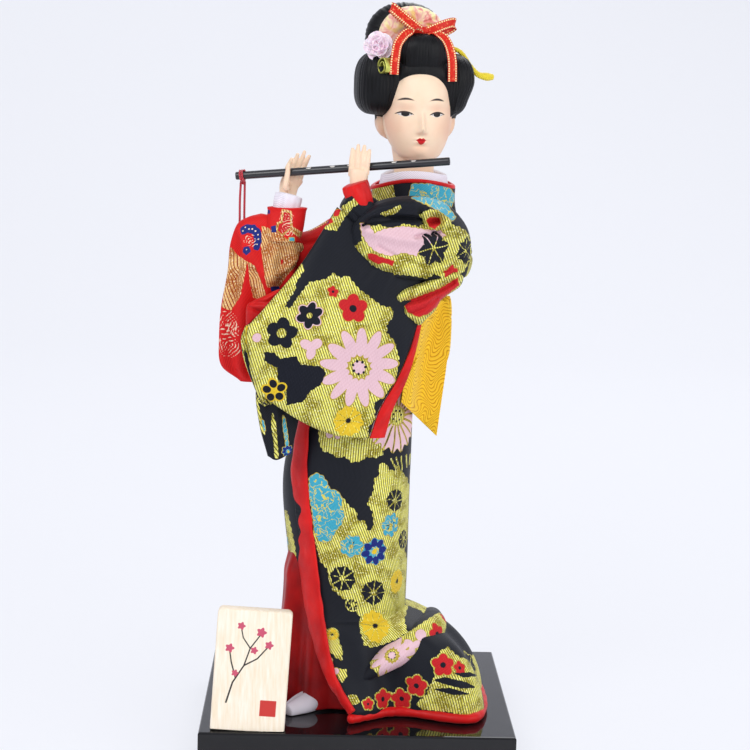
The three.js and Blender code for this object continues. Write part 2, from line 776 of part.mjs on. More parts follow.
const redCollarRings = (inset) => [0, redCollarHeight].map((rise) => (
  collarRing(collarHeight + fitGap + rise, inset, collarSlope / 2)
));

const whiteCollarRings = (inset) => [
  collarRing(shoulderHeight + fitGap, inset, 0),
  collarRing(collarHeight - 2, inset, collarSlope / 2),
  collarRing(chinHeight - chinClearance, inset + whiteCollarNarrowing, collarSlope),
];

const bodice = cut(shell(bodiceRings, 0, clothThickness), ...wireTunnels);
const bodiceClear = loft(bodiceRings(-fitGap));

add('kimono_bodice', bodice, 'blackBrocade');
add('red_collar', shell(redCollarRings, 0.2, clothThickness - 0.2), 'redSatin');
add('white_collar', shell(whiteCollarRings, layerStep + fitGap, clothThickness), 'whiteCotton');

// Obi: a band round the waist, a flat bow on the back and two tails that hang from it

const obiBottom = waistHeight - 0.45 * obiHeight;
const obiTop = obiBottom + obiHeight;
const obiInset = -2 * fitGap - obiThickness;
const obiRings = (inset) => bodyRings(obiBottom, obiTop, inset);
const obiClear = loft(bodyRings(obiBottom - fitGap, obiTop + fitGap, obiInset - fitGap));

// How far the body's outline comes out behind its centre
function reachBack(z) {
  const { w, d } = bodyAt(z);
  return Math.hypot(facing.x * w, facing.y * d);
}

const obiBack = new THREE.Group();
const obiCentre = bodyAt(obiTop);
obiBack.position.set(obiCentre.x, obiCentre.y, 0);
obiBack.rotation.z = bodyTurn;
model.add(obiBack);

// A soft-edged slab across the back: `outline` holds points to the doll's left and up
function backSlab(outline, thickness, distance, softness) {
  const shape = new THREE.Shape(outline.map(([x, z]) => new THREE.Vector2(x, z)));
  const slab = new THREE.ExtrudeGeometry(shape, {
    depth: thickness - 2 * softness,
    bevelSize: softness,
    bevelOffset: -softness,
    bevelThickness: softness,
    bevelSegments: 2,
  });
  return slab.rotateX(Math.PI / 2).translate(0, distance + thickness - softness, 0);
}

// Nearest the body hang the two tails, and the flat bow covers their upper ends
const obiTailDistance = reachBack(obiTop) - obiInset + fitGap;
const obiKnotDistance = obiTailDistance + 2 * (obiTailThickness + fitGap);
const obiKnotTop = obiTop + obiKnotRise;
const obiKnotBottom = obiKnotTop - obiKnotHeight;

function obiKnot() {
  const half = obiKnotWidth / 2;
  const outline = [
    [-half, obiKnotBottom + 2], [-half + 3, obiKnotBottom], [half - 3, obiKnotBottom], [half, obiKnotBottom + 2],
    [half + 0.6, obiKnotTop - 7], [half - 3, obiKnotTop - 1], [half - 7, obiKnotTop],
    [-half + 7, obiKnotTop], [-half + 3, obiKnotTop - 1], [-half - 0.6, obiKnotTop - 7],
  ];
  return backSlab(outline, obiKnotDepth, obiKnotDistance, 1.5);
}

// A tail as wide as the sash, cut on a slant, lower at its outer side
function obiTail(side, distance) {
  const outer = obiTailReach;
  const inner = obiTailReach - obiHeight;
  const tip = obiKnotTop - obiTailLength;
  const outline = [
    [inner, obiKnotTop - 3], [outer - 5, obiKnotTop - 0.5], [outer - 0.5, obiKnotTop - 4.5], [outer, obiKnotTop - 12],
    [outer - 0.5, obiKnotTop - 26], [outer - 5.5, tip + 1], [outer - 7.5, tip], [inner - 3, tip + 15],
  ];
  const mirrored = side > 0 ? outline : outline.map(([x, z]) => [-x, z]).toReversed();
  return backSlab(mirrored.toReversed(), obiTailThickness, distance, 0.5);
}

add('obi_band', shell(obiRings, obiInset, obiThickness), 'yellowBrocade');
add('obi_knot', obiKnot(), 'yellowBrocade', obiBack);
add('obi_tail_left', obiTail(1, obiTailDistance), 'yellowBrocade', obiBack);
add('obi_tail_right', obiTail(-1, obiTailDistance + obiTailThickness + fitGap), 'yellowBrocade', obiBack);

// Cuffs

// A ring of cloth round a wrist
function underCuff(wrist, radius, height, below, grow = 0) {
  const down = below.clone().normalize();
  const bottom = wrist.clone().add(below).addScaledVector(down, grow);
  const top = wrist.clone().addScaledVector(below, 0.3).addScaledVector(down, -height - grow);
  return cylinder(radius + grow, bottom, top);
}

const rightCuffRun = vector(-1, -0.5, -4.5);
const leftCuffRun = vector(1.6, 0.3, -4.5);
const whiteCuff = (grow) => underCuff(rightWrist, whiteCuffRadius, whiteCuffHeight, rightCuffRun, grow);
const redCuff = (grow) => underCuff(leftWrist, redCuffRadius, redCuffHeight, leftCuffRun, grow);
const wristBore = (wrist, run) => cylinder(
  wristRadius + fitGap,
  wrist.clone().addScaledVector(run, 2),
  wrist.clone().addScaledVector(run, -2),
);
const whiteCuffBores = [wristBore(rightWrist, rightCuffRun), rightHand(fitGap)];
const redCuffBores = [wristBore(leftWrist, leftCuffRun), leftHand(fitGap)];

add('under_cuff_right', cut(whiteCuff(0), ...whiteCuffBores, ...wireTunnels), 'whiteCotton');
add('under_cuff_left', cut(redCuff(0), ...redCuffBores, ...wireTunnels), 'redSatin');

// The doll's left sleeve: cloth bunched round the elbow, and a long bag that hangs from the forearm

const upright = vector(0, 0, 1);

const elbowFold = (grow) => limb([
  { at: [-2, -25.5, 208.5], w: 2, d: 2.5 },
  { at: [8, -24, 206], w: 7, d: 5 },
  { at: [20, -19, 202], w: 10.5, d: 8 },
  { at: [29, -10, 199.5], w: 13, d: 12 },
  { at: [31.5, 1, 202], w: 10, d: 9.5 },
], { side: upright, sides: 12, steps: 7, grow });

// Rows of the hanging bag from the forearm down, each from its outer to its inner edge
const leftSleeveRows = [
  [[-13, -27.5, 220], [-3, -27, 213], [8, -26.5, 206], [21, -23, 197]],
  [[-27, -30.5, 197], [-12, -30, 194], [5, -28.5, 189], [24, -22, 182]],
  [[-40, -33.5, 181], [-20, -32.5, 176], [2, -30, 171], [21.5, -23.5, 167]],
  [[-46.5, -35, 172], [-26, -33.5, 163], [-4, -31, 157], [14.5, -25, 153]],
  [[-44.5, -34.5, 158], [-26, -33, 149], [-5, -31, 143.5], [8.5, -26.5, 141]],
  [[-42, -34, 147.5], [-26, -32.5, 137], [-11, -31, 131], [3.5, -27.5, 129.5]],
];

const forearmCloth = [
  { at: [-8, -26.4, 223], w: 5.6, d: 6 },
  { at: [2, -25.5, 215], w: 7, d: 6.5 },
  { at: [14, -24, 208], w: 8, d: 6 },
];

// The inner top corner of the bag curls over
const curl = (grow) => limb([
  { at: [12, -24, 185], w: 3, d: 2.5 },
  { at: [20, -22.5, 182.5], w: 4.5, d: 3.5 },
  { at: [29, -16, 185], w: 3.5, d: 3 },
], { side: upright, sides: 8, steps: 4, grow });

const frontward = vector(0.12, -0.99, 0).normalize();

function leftSleeve() {
  const bag = sheet(leftSleeveRows, leftSleeveThickness, frontward, { across: 6, down: 10 });
  const forearm = limb(forearmCloth, { side: upright, sides: 10, steps: 3 });
  const hole = cylinder(redCuffRadius + fitGap, leftWrist.clone().add(leftCuffRun), leftWrist.clone().sub(leftCuffRun));
  return largestPiece(cut(join(bag, forearm, curl(0)), elbowFold(fitGap), bodiceClear, redCuff(fitGap), hole, ...wireTunnels));
}

// The red strip runs down the bag's inner edge
function sleeveLining() {
  const run = vector(0.94, 0.33, 0);
  const rows = leftSleeveRows.slice(1).map((row) => {
    const edge = vector(...row[row.length - 1]);
    return [2 * fitGap, 2 * fitGap + liningWidth].map((reach) => edge.clone().addScaledVector(run, reach).toArray());
  });
  return cut(sheet(rows, liningThickness, frontward, { across: 2, down: 8 }), curl(fitGap));
}

add('left_sleeve_fold', cut(elbowFold(0), bodiceClear, ...wireTunnels), 'blackBrocade');
add('left_sleeve', leftSleeve(), 'blackBrocade');
add('left_sleeve_lining', sleeveLining(), 'redSatin');

// The black sleeve that the right arm has slipped out of hangs from the sash

const hangingSleeve = sheet([
  [[-31, -22, 176], [-21, -15, 177], [-11, -7.5, 178]],
  [[-39, -25.5, 160], [-29, -22.5, 161], [-17.5, -15.5, 162]],
  [[-43, -26.5, 148], [-34, -26, 148], [-24.5, -22.5, 148]],
  [[-41.5, -27, 134], [-34.5, -26.5, 133.5], [-26.5, -24, 134]],
  [[-38, -26.5, 121], [-34.5, -26.2, 119.5], [-29, -24.8, 122]],
], hangingSleeveThickness, vector(0.25, -0.97, 0).normalize(), { across: 6, down: 10 });

// The red and gold sleeve: a flat bag below the forearm, an upper arm to the shoulder and a cuff

const rightCuff = (grow) => stack([
  { at: [-34.5, -20.5, 205.5], w: 8.6, d: 6.8 },
  { at: [-33.5, -20, 211], w: 8, d: 6.6 },
  { at: [-32, -18.8, 218.8], w: 6.9, d: 6.4 },
], { sides: 12, steps: 2, grow });

const rightBag = [
  { at: [-46, -13, 148.5], w: 4, d: 2 },
  { at: [-45.5, -13.2, 155], w: 11.8, d: 3 },
  { at: [-43.5, -14, 166], w: 14.8, d: 4.2 },
  { at: [-42.5, -15, 179], w: 15.2, d: 5 },
  { at: [-41, -16.5, 193], w: 14, d: 5.6 },
  { at: [-39, -18.6, 206], w: 12.8, d: 5.4 },
  { at: [-38, -19, 214], w: 10.6, d: 5 },
];

const rightUpperArm = [
  { at: [-36, -16.5, 199], w: 8, d: 5.5 },
  { at: [-21, -11.5, 201.5], w: 8.5, d: 6.5 },
  { at: [-7, -5, 208], w: 9.5, d: 8 },
  { at: [4, 0, 211], w: 9, d: 8 },
];

function rightSleeve() {
  const bag = stack(rightBag, { sides: 12, steps: 8 });
  const upperArm = limb(rightUpperArm, { side: upright, sides: 12, steps: 4 });
  return largestPiece(cut(join(bag, upperArm), rightCuff(fitGap), bodiceClear, whiteCuff(fitGap), ...wireTunnels));
}

add('hanging_sleeve', largestPiece(cut(hangingSleeve, obiClear, bodiceClear)), 'blackBrocade');
add('right_sleeve', rightSleeve(), 'copperBrocade');
add('right_cuff', cut(rightCuff(0), whiteCuff(fitGap), ...wireTunnels), 'redSatin');

// Head and hair, from the chin up and about the neck's axis

const headGroup = new THREE.Group();
headGroup.position.set(neckX, neckY, chinHeight);
headGroup.rotation.z = headTurn;
model.add(headGroup);

const skull = [
  { at: [0, -9.5, 0], w: 4.5, d: 4 },
  { at: [0, -7.3, 2.2], w: 8.4, d: 7.8 },
  { at: [0, -4.4, 7.5], w: 11.6, d: 12 },
  { at: [0, -2.3, 13], w: faceHalfWidth - 0.7, d: headHalfDepth - 1.6 },
  { at: [0, -0.8, 20], w: faceHalfWidth, d: headHalfDepth },
  { at: [0, 0, 27], w: faceHalfWidth, d: headHalfDepth + 0.4 },
  { at: [0, 0, 33], w: 0.86 * faceHalfWidth, d: 0.9 * headHalfDepth },
  { at: [0, 0, headHeight - 2], w: 0.5 * faceHalfWidth, d: 0.55 * headHalfDepth },
  { at: [0, 0, headHeight], w: 2, d: 2 },
];

function headShape(grow = 0) {
  const face = stack(skull, { sides: 16, steps: 10, grow });
  const neck = stack([
    { at: [0, 0, -neckLength], w: neckRadius, d: neckRadius },
    { at: [0, 0, -3], w: neckRadius - 0.6, d: neckRadius - 0.6 },
    { at: [0, 0.5, 10], w: neckRadius + 1.6, d: neckRadius + 3 },
  ], { sides: 16, steps: 2, grow });
  const nose = ellipsoid(vector(0, -17, 13.2), vector(1.7, 2, 2.6), { grow, sides: 6, rows: 5 });
  const ears = [-1, 1].map((side) => (
    ellipsoid(vector(side * (faceHalfWidth + 0.2), 1.5, 14.5), vector(1.4, 2.8, 5), { grow, sides: 6, rows: 5 })
  ));
  return join(face, neck, nose, ...ears);
}

const peg = neckPost(fitGap).translate(-neckX, -neckY, -chinHeight);
add('head', cut(headShape(), peg), 'skin', headGroup);

// Each hair piece is an ellipsoid, and each next one gives way to those before it
const round = (x, y, z, w, d, h, detail) => (grow) => ellipsoid(vector(x, y, z), vector(w, d, h), { grow, ...detail });

const full = { power: 2.6 };
const sideBunHalf = sideBunHeight / 2;
const sideBunWidth = 10;
const topBunHalf = topBunHeight / 2;

const faceWindow = ellipsoid(vector(0.4, -18, 14), vector(13.4, 14, 19.5));
const earLine = new THREE.BoxGeometry(60, 30, 24).translate(0, -11, -2);

const hairPieces = [
  ['wig_cap', round(0, 2.5, 24, faceHalfWidth + wigThickness, headHalfDepth + wigThickness, 19.5), 'hair'],
  ['back_hair', round(0, 15, 17, 12.5, 9.5, 12), 'hair'],
  ['side_bun_left', round(sideBunReach - sideBunWidth - 1.5, 1, 29.5, sideBunWidth, 13, sideBunHalf, full), 'hair'],
  ['side_bun_right', round(sideBunWidth - sideBunReach, 1, 29.5, sideBunWidth, 13, sideBunHalf, full), 'hair'],
  ['front_roll', round(1.5, -5.5, 44.5, frontRollWidth / 2, 9, 8.5, full), 'hair'],
  ['bun_cloth', round(-1.9, 1, 47.5, 14, 5, 12.5), 'pinkBrocade'],
  ['top_bun', round(-3.5, 8, topBunTop - topBunHalf, topBunWidth / 2, 9.5, topBunHalf), 'hair'],
];

// Ribbon: a knot between the front roll and the bun, two loops and two tails with flat sections

const ribbonWidth = 4.2;
const ribbonFlat = { w: ribbonWidth / 2, d: 0.4 };
const sideways = vector(1, 0, 0);

function ribbonRun(points, section, side, grow = 0) {
  return limb(points.map((at) => ({ at, ...section })), { side, sides: 6, steps: 5, grow });
}

const ribbonPieces = [
  ['ribbon_knot', round(1, -7.6, 54.6, 2.4, 2.2, 2, { sides: 10, rows: 8 })],
  ['ribbon_loop_right', (grow) => ribbonRun(
    [[-1, -7.8, 55.2], [-5, -7.6, 57.2], [-9, -6.6, 59], [-12.2, -5.6, 59.8]],
    { w: ribbonWidth / 2, d: 1.3 },
    upright,
    grow,
  )],
  ['ribbon_loop_left', (grow) => ribbonRun(
    [[3, -7.8, 54.8], [6.5, -7.6, 55.2], [10.5, -6.8, 55.8], [13.4, -6, 56]],
    { w: ribbonWidth / 2 + 0.3, d: 1.5 },
    upright,
    grow,
  )],
  ['ribbon_tail_right', (grow) => ribbonRun(
    [[-1.4, -9.2, 54.2], [-6.6, -11.6, 50.4], [-9.4, -12.8, 42], [-9.4, -12.4, 33.4]],
    ribbonFlat,
    sideways,
    grow,
  )],
  ['ribbon_tail_left', (grow) => ribbonRun(
    [[3, -9.2, 54.2], [8.6, -11.4, 50.4], [12.4, -12.4, 41], [14, -12, 31.8]],
    ribbonFlat,
    sideways,
    grow,
  )],
].map(([name, shape]) => [name, shape, 'redRibbon']);

// Ornaments: a cloth flower, a curl of gold ribbon and a yellow plume

const petalCount = 5;

function hairFlower(grow) {
  const centre = vector(-15.4, -6.4, 43.8);
  const petals = Array.from({ length: petalCount }, (_, i) => {
    const angle = (i / petalCount) * 2 * Math.PI + 0.3;
    const spot = centre.clone().add(vector(2.6 * Math.cos(angle), 0, 2.6 * Math.sin(angle)));
    return ellipsoid(spot, vector(2.5, 1.5, 2.5), { grow, sides: 6, rows: 4 });
  });
  return join(ellipsoid(centre, vector(2, 2.2, 2), { grow, sides: 6, rows: 4 }), ...petals);
}

function goldCurl(grow) {
  const profile = [
    [1 - grow, -1.8 - grow], [2.8 + grow, -1.8 - grow], [2.8 + grow, 1.8 + grow], [1 - grow, 1.8 + grow],
    [1 - grow, -1.8 - grow],
  ];
  const ring = new THREE.LatheGeometry(profile.map(([r, y]) => new THREE.Vector2(r, y)), 14);
  return ring.scale(1, 1, 1.4).translate(-13.3, -12.2, 34.2);
}

const hairStick = (grow) => limb([
  { at: [11, -2, 44.8], w: 0.9, d: 0.9 },
  { at: [17, -2, 42.6], w: 0.9, d: 0.9 },
  { at: [23, -1.8, 35.2], w: 1, d: 1 },
  { at: [26.5, -1.6, 33.6], w: 1.1, d: 1.1 },
  { at: [30.4, -1.4, 33.2], w: 1.3, d: 1.3 },
], { side: upright, sides: 8, steps: 12, grow });

const ornaments = [
  ['hair_flower', hairFlower, 'paleSilk'],
  ['gold_curl', goldCurl, 'goldFoil'],
];

const hairStack = [['hair_stick', hairStick, 'yellowFloss'], ...hairPieces, ...ribbonPieces, ...ornaments];
hairStack.forEach(([name, shape, finish], index) => {
  const earlier = hairStack.slice(0, index).map(([, other]) => other(fitGap));
  const openings = name === 'wig_cap' ? [faceWindow, earLine] : [];
  add(name, largestPiece(cut(shape(0), headShape(fitGap), ...earlier, ...openings)), finish, headGroup);
});

// Flute, its knot and its hanging cord

const fluteGroup = new THREE.Group();
fluteGroup.position.copy(fluteLeft);
fluteGroup.quaternion.setFromUnitVectors(vector(1, 0, 0), fluteAxis);
model.add(fluteGroup);

function flute() {
  const bore = cylinder(fluteBore, vector(-1, 0, 0), vector(fluteLength + 1, 0, 0), 8);
  const holes = holeDistances.map((x) => cylinder(holeRadius, vector(x, 0, 0), vector(x, -0.6, fluteRadius + 1), 8));
  return cut(cylinder(fluteRadius, vector(0, 0, 0), vector(fluteLength, 0, 0)), bore, ...holes);
}

const knotDistance = 2.6;
const knotRadius = 0.75;

function cordKnot() {
  const ring = new THREE.TorusGeometry(fluteRadius + fitGap + knotRadius, knotRadius, 6, 14);
  return ring.rotateY(Math.PI / 2).translate(knotDistance, 0, 0);
}

// The doubled cord: down from the lower back of the knot and up again
const cordSwing = 0.7;
const cordReach = fluteRadius + 2 * knotRadius + 2 * fitGap + 0.7 * cordRadius;
const cordTop = flutePoint(knotDistance)
  .add(vector(0, cordReach * Math.sin(cordSwing), -cordReach * Math.cos(cordSwing)));
const cordPoints = [
  [-0.8, 0, 0], [-0.8, 0, -1.5], [-1, 0, -6], [-1, 0, -11], [-1, 0, -15.5], [-1.5, 0, -18.5],
  [-1.9, 0, -20.6], [-1.3, 0, -22], [0, 0, -22.5], [1.3, 0, -22], [1.9, 0, -20.6], [1.5, 0, -18.5],
  [0.9, 0, -15.5], [0.8, 0, -11], [0.8, 0, -6], [0.8, 0, -1.5], [0.8, 0, 0],
].map((offset) => cordTop.clone().add(vector(...offset)));

add('flute', flute(), 'blackLacquerTube', fluteGroup);
add('flute_cord_knot', cordKnot(), 'redCord', fluteGroup);
add('flute_cord', tube(cordPoints, cordRadius, { sides: 8, steps: 30 }), 'redCord');

// Plaque: a board that leans back a little on its slanted foot

function plaque() {
  const outline = new THREE.Shape();
  const [half, r] = [plaqueWidth / 2, plaqueCornerRadius];
  outline.moveTo(-half, -10);
  outline.lineTo(half, -10);
  outline.absarc(half - r, plaqueHeight - r, r, 0, Math.PI / 2);
  outline.absarc(r - half, plaqueHeight - r, r, Math.PI / 2, Math.PI);
  const board = new THREE.ExtrudeGeometry(outline, {
    depth: plaqueThickness,
    bevelEnabled: false,
    curveSegments: 6,
  }).rotateX(Math.PI / 2).translate(0, plaqueThickness, 0);
  const place = vector(plaqueSideMargin - baseWidth / 2, plaqueFrontMargin - baseDepth / 2, floorZ);
  const standing = posed(board, place, vector(-plaqueLean, plaqueRoll, 0));
  const ground = new THREE.BoxGeometry(baseWidth, baseDepth, 40).translate(0, 0, floorZ - 20);
  return cut(standing, ground);
}

add('plaque', plaque(), 'wood');

export default model;
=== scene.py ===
"""A dressed doll that plays a cross flute, on a black plinth with a wooden plaque.

Metres throughout. Sizes that are read off the object are given in millimetres and turned by MM.
"""

from math import cos, pi, radians, sin

import bpy
import numpy as np
from mathutils import Matrix, Vector


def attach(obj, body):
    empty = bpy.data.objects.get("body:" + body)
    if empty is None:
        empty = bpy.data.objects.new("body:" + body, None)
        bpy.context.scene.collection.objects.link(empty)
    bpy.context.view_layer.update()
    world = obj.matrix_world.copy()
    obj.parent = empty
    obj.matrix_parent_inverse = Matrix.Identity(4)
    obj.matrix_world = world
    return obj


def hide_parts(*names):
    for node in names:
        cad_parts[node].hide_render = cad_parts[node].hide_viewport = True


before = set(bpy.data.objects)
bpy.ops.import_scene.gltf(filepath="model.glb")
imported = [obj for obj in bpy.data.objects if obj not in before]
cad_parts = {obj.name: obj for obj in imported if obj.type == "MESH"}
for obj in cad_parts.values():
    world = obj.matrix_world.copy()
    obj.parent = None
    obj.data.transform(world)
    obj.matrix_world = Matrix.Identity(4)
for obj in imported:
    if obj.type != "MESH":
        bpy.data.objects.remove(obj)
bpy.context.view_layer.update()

MM = 0.001

# Camera: the photograph's viewpoint, a little above the sash and level with the flute.
# Yaw turns it to the right, pitch turns it down and roll tips it clockwise.

CAMERA_PLACE = Vector((-16.58, -681.9, 265.05)) * MM
CAMERA_YAW, CAMERA_PITCH, CAMERA_ROLL = 0.0306, 0.1670, 0.0291
PICTURE_SIDE = 750
FOCAL_PIXELS = 1692.48
SENSOR = 36.0

ahead = Vector((sin(CAMERA_YAW) * cos(CAMERA_PITCH), cos(CAMERA_YAW) * cos(CAMERA_PITCH),
                -sin(CAMERA_PITCH)))
level = Vector((cos(CAMERA_YAW), -sin(CAMERA_YAW), 0))
rise = level.cross(ahead)
camera_right = level * cos(CAMERA_ROLL) + rise * sin(CAMERA_ROLL)
camera_up = rise * cos(CAMERA_ROLL) - level * sin(CAMERA_ROLL)

camera = bpy.data.objects.new("camera", bpy.data.cameras.new("camera"))
bpy.context.scene.collection.objects.link(camera)
turn = Matrix((camera_right, camera_up, -ahead)).transposed()
camera.matrix_world = Matrix.Translation(CAMERA_PLACE) @ turn.to_4x4()
camera.data.sensor_width = SENSOR
camera.data.lens = FOCAL_PIXELS * SENSOR / PICTURE_SIDE
bpy.context.scene.camera = camera


def pixels(points):
    """Photograph pixels (x, y) of points in metres, by perspective: offset over depth times the focal
    length.
    """
    offset = np.asarray(points) - np.array(CAMERA_PLACE)
    depth = offset @ np.array(ahead)
    across = offset @ np.array(camera_right) / depth
    up = offset @ np.array(camera_up) / depth
    middle = PICTURE_SIDE / 2
    return np.stack([middle + FOCAL_PIXELS * across, middle - FOCAL_PIXELS * up], axis=-1)


# Colours and nodes: every finish below is made with these.


def colour(code):
    """Linear red, green, blue and alpha of an sRGB hex value."""
    srgb = np.array([int(code[i:i + 2], 16) for i in (1, 3, 5)]) / 255
    linear = np.where(srgb <= 0.04045, srgb / 12.92, ((srgb + 0.055) / 1.055) ** 2.4)
    return (*linear.tolist(), 1.0)


def plug(node, **links):
    """Sets a node's inputs, by name or as i0, i1, by number: to values, outputs, or other nodes' first
    outputs.
    """
    for name, value in links.items():
        numbered = name[0] == "i" and name[1:].isdigit()
        socket = node.inputs[int(name[1:]) if numbered else name.replace("_", " ")]
        value = value.outputs[0] if isinstance(value, bpy.types.Node) else value
        if isinstance(value, bpy.types.NodeSocket):
            node.id_data.links.new(value, socket)
        else:
            socket.default_value = value


def add(tree, kind, settings=None, ramp=(), places=(0, 1), **links):
    """Adds a node with its properties, its links, and the colours of its ramp in hex with their places."""
    new = tree.nodes.new("ShaderNode" + kind)
    for name, value in (settings or {}).items():
        setattr(new, name, value)
    for k, (code, place) in enumerate(zip(ramp, places)):
        stop = new.color_ramp.elements[k] if k < 2 else new.color_ramp.elements.new(place)
        stop.position, stop.color = place, colour(code)
    plug(new, **links)
    return new


def finish(name, **surface):
    """A new material with its tree and its Principled shader, whose constant sockets are set from
    `surface`.
    """
    material = bpy.data.materials.new(name)
    material.use_nodes = True
    shader = material.node_tree.nodes["Principled BSDF"]
    plug(shader, **surface)
    return material, material.node_tree, shader


# Stage: a plain pale floor and backdrop in one sweep, and soft studio light from large lamps.

STAGE_COLOUR = "#e9eaf2"


def sweep_mesh(width, depth, height, radius):
    """A floor that bends up into a wall: a straight, a quarter circle and a straight, carried along X."""
    bend = np.linspace(0, pi / 2, 25)
    profile = np.concatenate([
        [(-depth, 0)],
        np.stack([depth - radius + radius * np.sin(bend), radius - radius * np.cos(bend)], axis=-1),
        [(depth, height)],
    ])
    sides = np.array([-width, width])
    points = [(x, y, z) for y, z in profile for x in sides]
    faces = [(2 * i, 2 * i + 1, 2 * i + 3, 2 * i + 2) for i in range(len(profile) - 1)]
    mesh = bpy.data.meshes.new("sweep")
    mesh.from_pydata(points, [], faces)
    mesh.shade_smooth()
    return mesh


floor = bpy.data.objects.new("floor", sweep_mesh(3, 1.6, 2.4, 0.6))
bpy.context.scene.collection.objects.link(floor)
# Matt white paper. Seen directly it is three quarters its own glow, and half in a mirror, so that its white
# is even all over the picture.
paper, tree, shader = finish("backdrop paper", Roughness=0.9)
shader.inputs["Base Color"].default_value = colour(STAGE_COLOUR)
glow = add(tree, "Emission", Color=colour("#f4f6fc"), Strength=1.0)
path = add(tree, "LightPath")
seen = add(tree, "Math", {"operation": "MAXIMUM"}, i0=path.outputs["Is Glossy Ray"],
           i1=path.outputs["Is Transmission Ray"])
mirrored = add(tree, "Math", {"operation": "MULTIPLY"}, i0=seen, i1=0.5)
direct = add(tree, "Math", {"operation": "MULTIPLY"}, i0=path.outputs["Is Camera Ray"], i1=0.75)
share = add(tree, "Math", {"operation": "MAXIMUM"}, i0=mirrored, i1=direct)
mixed = add(tree, "MixShader", i0=share, i1=shader.outputs[0], i2=glow)
plug(tree.nodes["Material Output"], Surface=mixed)
floor.data.materials.append(paper)


def lamp(name, place, aim, size, power):
    """A square area lamp at a place, turned to face a point."""
    light = bpy.data.lights.new(name, "AREA")
    light.size = size
    light.energy = power
    holder = bpy.data.objects.new(name, light)
    holder.location = place
    holder.rotation_euler = (Vector(aim) - Vector(place)).to_track_quat("-Z", "Y").to_euler()
    bpy.context.scene.collection.objects.link(holder)


DOLL_MIDDLE = (0, 0, 0.16)
lamp("key", (-0.7, -1.0, 1.1), DOLL_MIDDLE, 0.9, 10.5)
lamp("fill", (1.0, -0.9, 0.6), DOLL_MIDDLE, 1.0, 7.5)
lamp("back", (0.3, 0.9, 1.1), DOLL_MIDDLE, 0.8, 7)

world = bpy.data.worlds.new("room")
bpy.context.scene.world = world
world.use_nodes = True
world.node_tree.nodes["Background"].inputs["Color"].default_value = colour("#f2f4ff")
world.node_tree.nodes["Background"].inputs["Strength"].default_value = 0.62
bpy.context.scene.view_settings.view_transform = "Standard"


# Flute cord: a thin twisted cord, doubled, that hangs from a knot round the flute's left end.
# It goes down from the lower back of the knot and up to it again.


def along(stations, count):
    """Catmull-Rom spline through rows of numbers: `count` evenly spaced rows, or one at each of the given
    shares.
    """
    stations = np.asarray(stations, dtype=float)
    last = len(stations) - 1
    t = np.linspace(0, last, count) if np.isscalar(count) else np.asarray(count) * last
    low = np.clip(np.floor(t).astype(int), 0, last - 1)
    part = (t - low).reshape(-1, *([1] * (stations.ndim - 1)))
    first = 2 * stations[0] - stations[1]
    final = 2 * stations[-1] - stations[-2]
    knots = np.concatenate([[first], stations, [final]])
    a, b, c, d = (knots[low + i] for i in range(4))
    return 0.5 * (2 * b + (c - a) * part + (2 * a - 5 * b + 4 * c - d) * part ** 2
                  + (3 * b - a - 3 * c + d) * part ** 3)


FLUTE_LEFT = np.array((-52.8, -15.0, 230.2))
FLUTE_RIGHT = np.array((29.9, -27.0, 238.7))
FLUTE_RADIUS = 1.55
CORD_RADIUS = 0.45
KNOT_RADIUS = 0.75
KNOT_DISTANCE = 2.6
FIT_GAP = 0.3
CORD_SWING = 0.7

flute_axis = (FLUTE_RIGHT - FLUTE_LEFT) / np.linalg.norm(FLUTE_RIGHT - FLUTE_LEFT)
cord_reach = FLUTE_RADIUS + 2 * KNOT_RADIUS + 2 * FIT_GAP + 0.7 * CORD_RADIUS
cord_top = (FLUTE_LEFT + flute_axis * KNOT_DISTANCE
            + cord_reach * np.array((0, sin(CORD_SWING), -cos(CORD_SWING))))
cord_route = cord_top + np.array([
    (-0.8, 0, 0), (-0.8, 0, -1.5), (-1, 0, -6), (-1, 0, -11), (-1, 0, -15.5), (-1.5, 0, -18.5),
    (-1.9, 0, -20.6), (-1.3, 0, -22), (0, 0, -22.5), (1.3, 0, -22), (1.9, 0, -20.6), (1.5, 0, -18.5),
    (0.9, 0, -15.5), (0.8, 0, -11), (0.8, 0, -6), (0.8, 0, -1.5), (0.8, 0, 0),
])
cord_line = along(cord_route, 33) * MM

cord_curve = bpy.data.curves.new("flute_cord_strand", "CURVE")
cord_curve.dimensions = "3D"
spline = cord_curve.splines.new("POLY")
spline.points.add(len(cord_line) - 1)
spline.points.foreach_set("co", np.concatenate([cord_line, np.ones((len(cord_line), 1))], axis=1).ravel())
cord_curve.bevel_depth = CORD_RADIUS * MM
cord_curve.bevel_resolution = 5
cord_curve.use_fill_caps = True
flute_cord = bpy.data.objects.new("flute_cord_strand", cord_curve)
bpy.context.scene.collection.objects.link(flute_cord)

# Twisted rayon: glossy plies that run round the cord on a slant. Here and below, a scale written n / MM
# puts about n features in a millimetre.
red_cord, tree, shader = finish("twisted rayon cord", Roughness=0.55, Sheen_Weight=0.3)
place = add(tree, "TexCoord").outputs
plies = add(tree, "TexWave", {"wave_type": "BANDS", "bands_direction": "DIAGONAL"},
            Vector=place["Object"], Scale=0.9 / MM, Distortion=0.6)
red = add(tree, "ValToRGB", ramp=("#8c0d1c", "#d8283a"), Fac=plies)
bump = add(tree, "Bump", Height=plies, Strength=0.6, Distance=0.0002)
plug(shader, Base_Color=red, Normal=bump)
cord_curve.materials.append(red_cord)
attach(flute_cord, "flute")
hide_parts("flute_cord")


# Plinth: a board with black urethane lacquer, polished, that two steel screws hold to the doll's legs from
# below. Lacquer gives a mirror gloss with a faint orange peel.

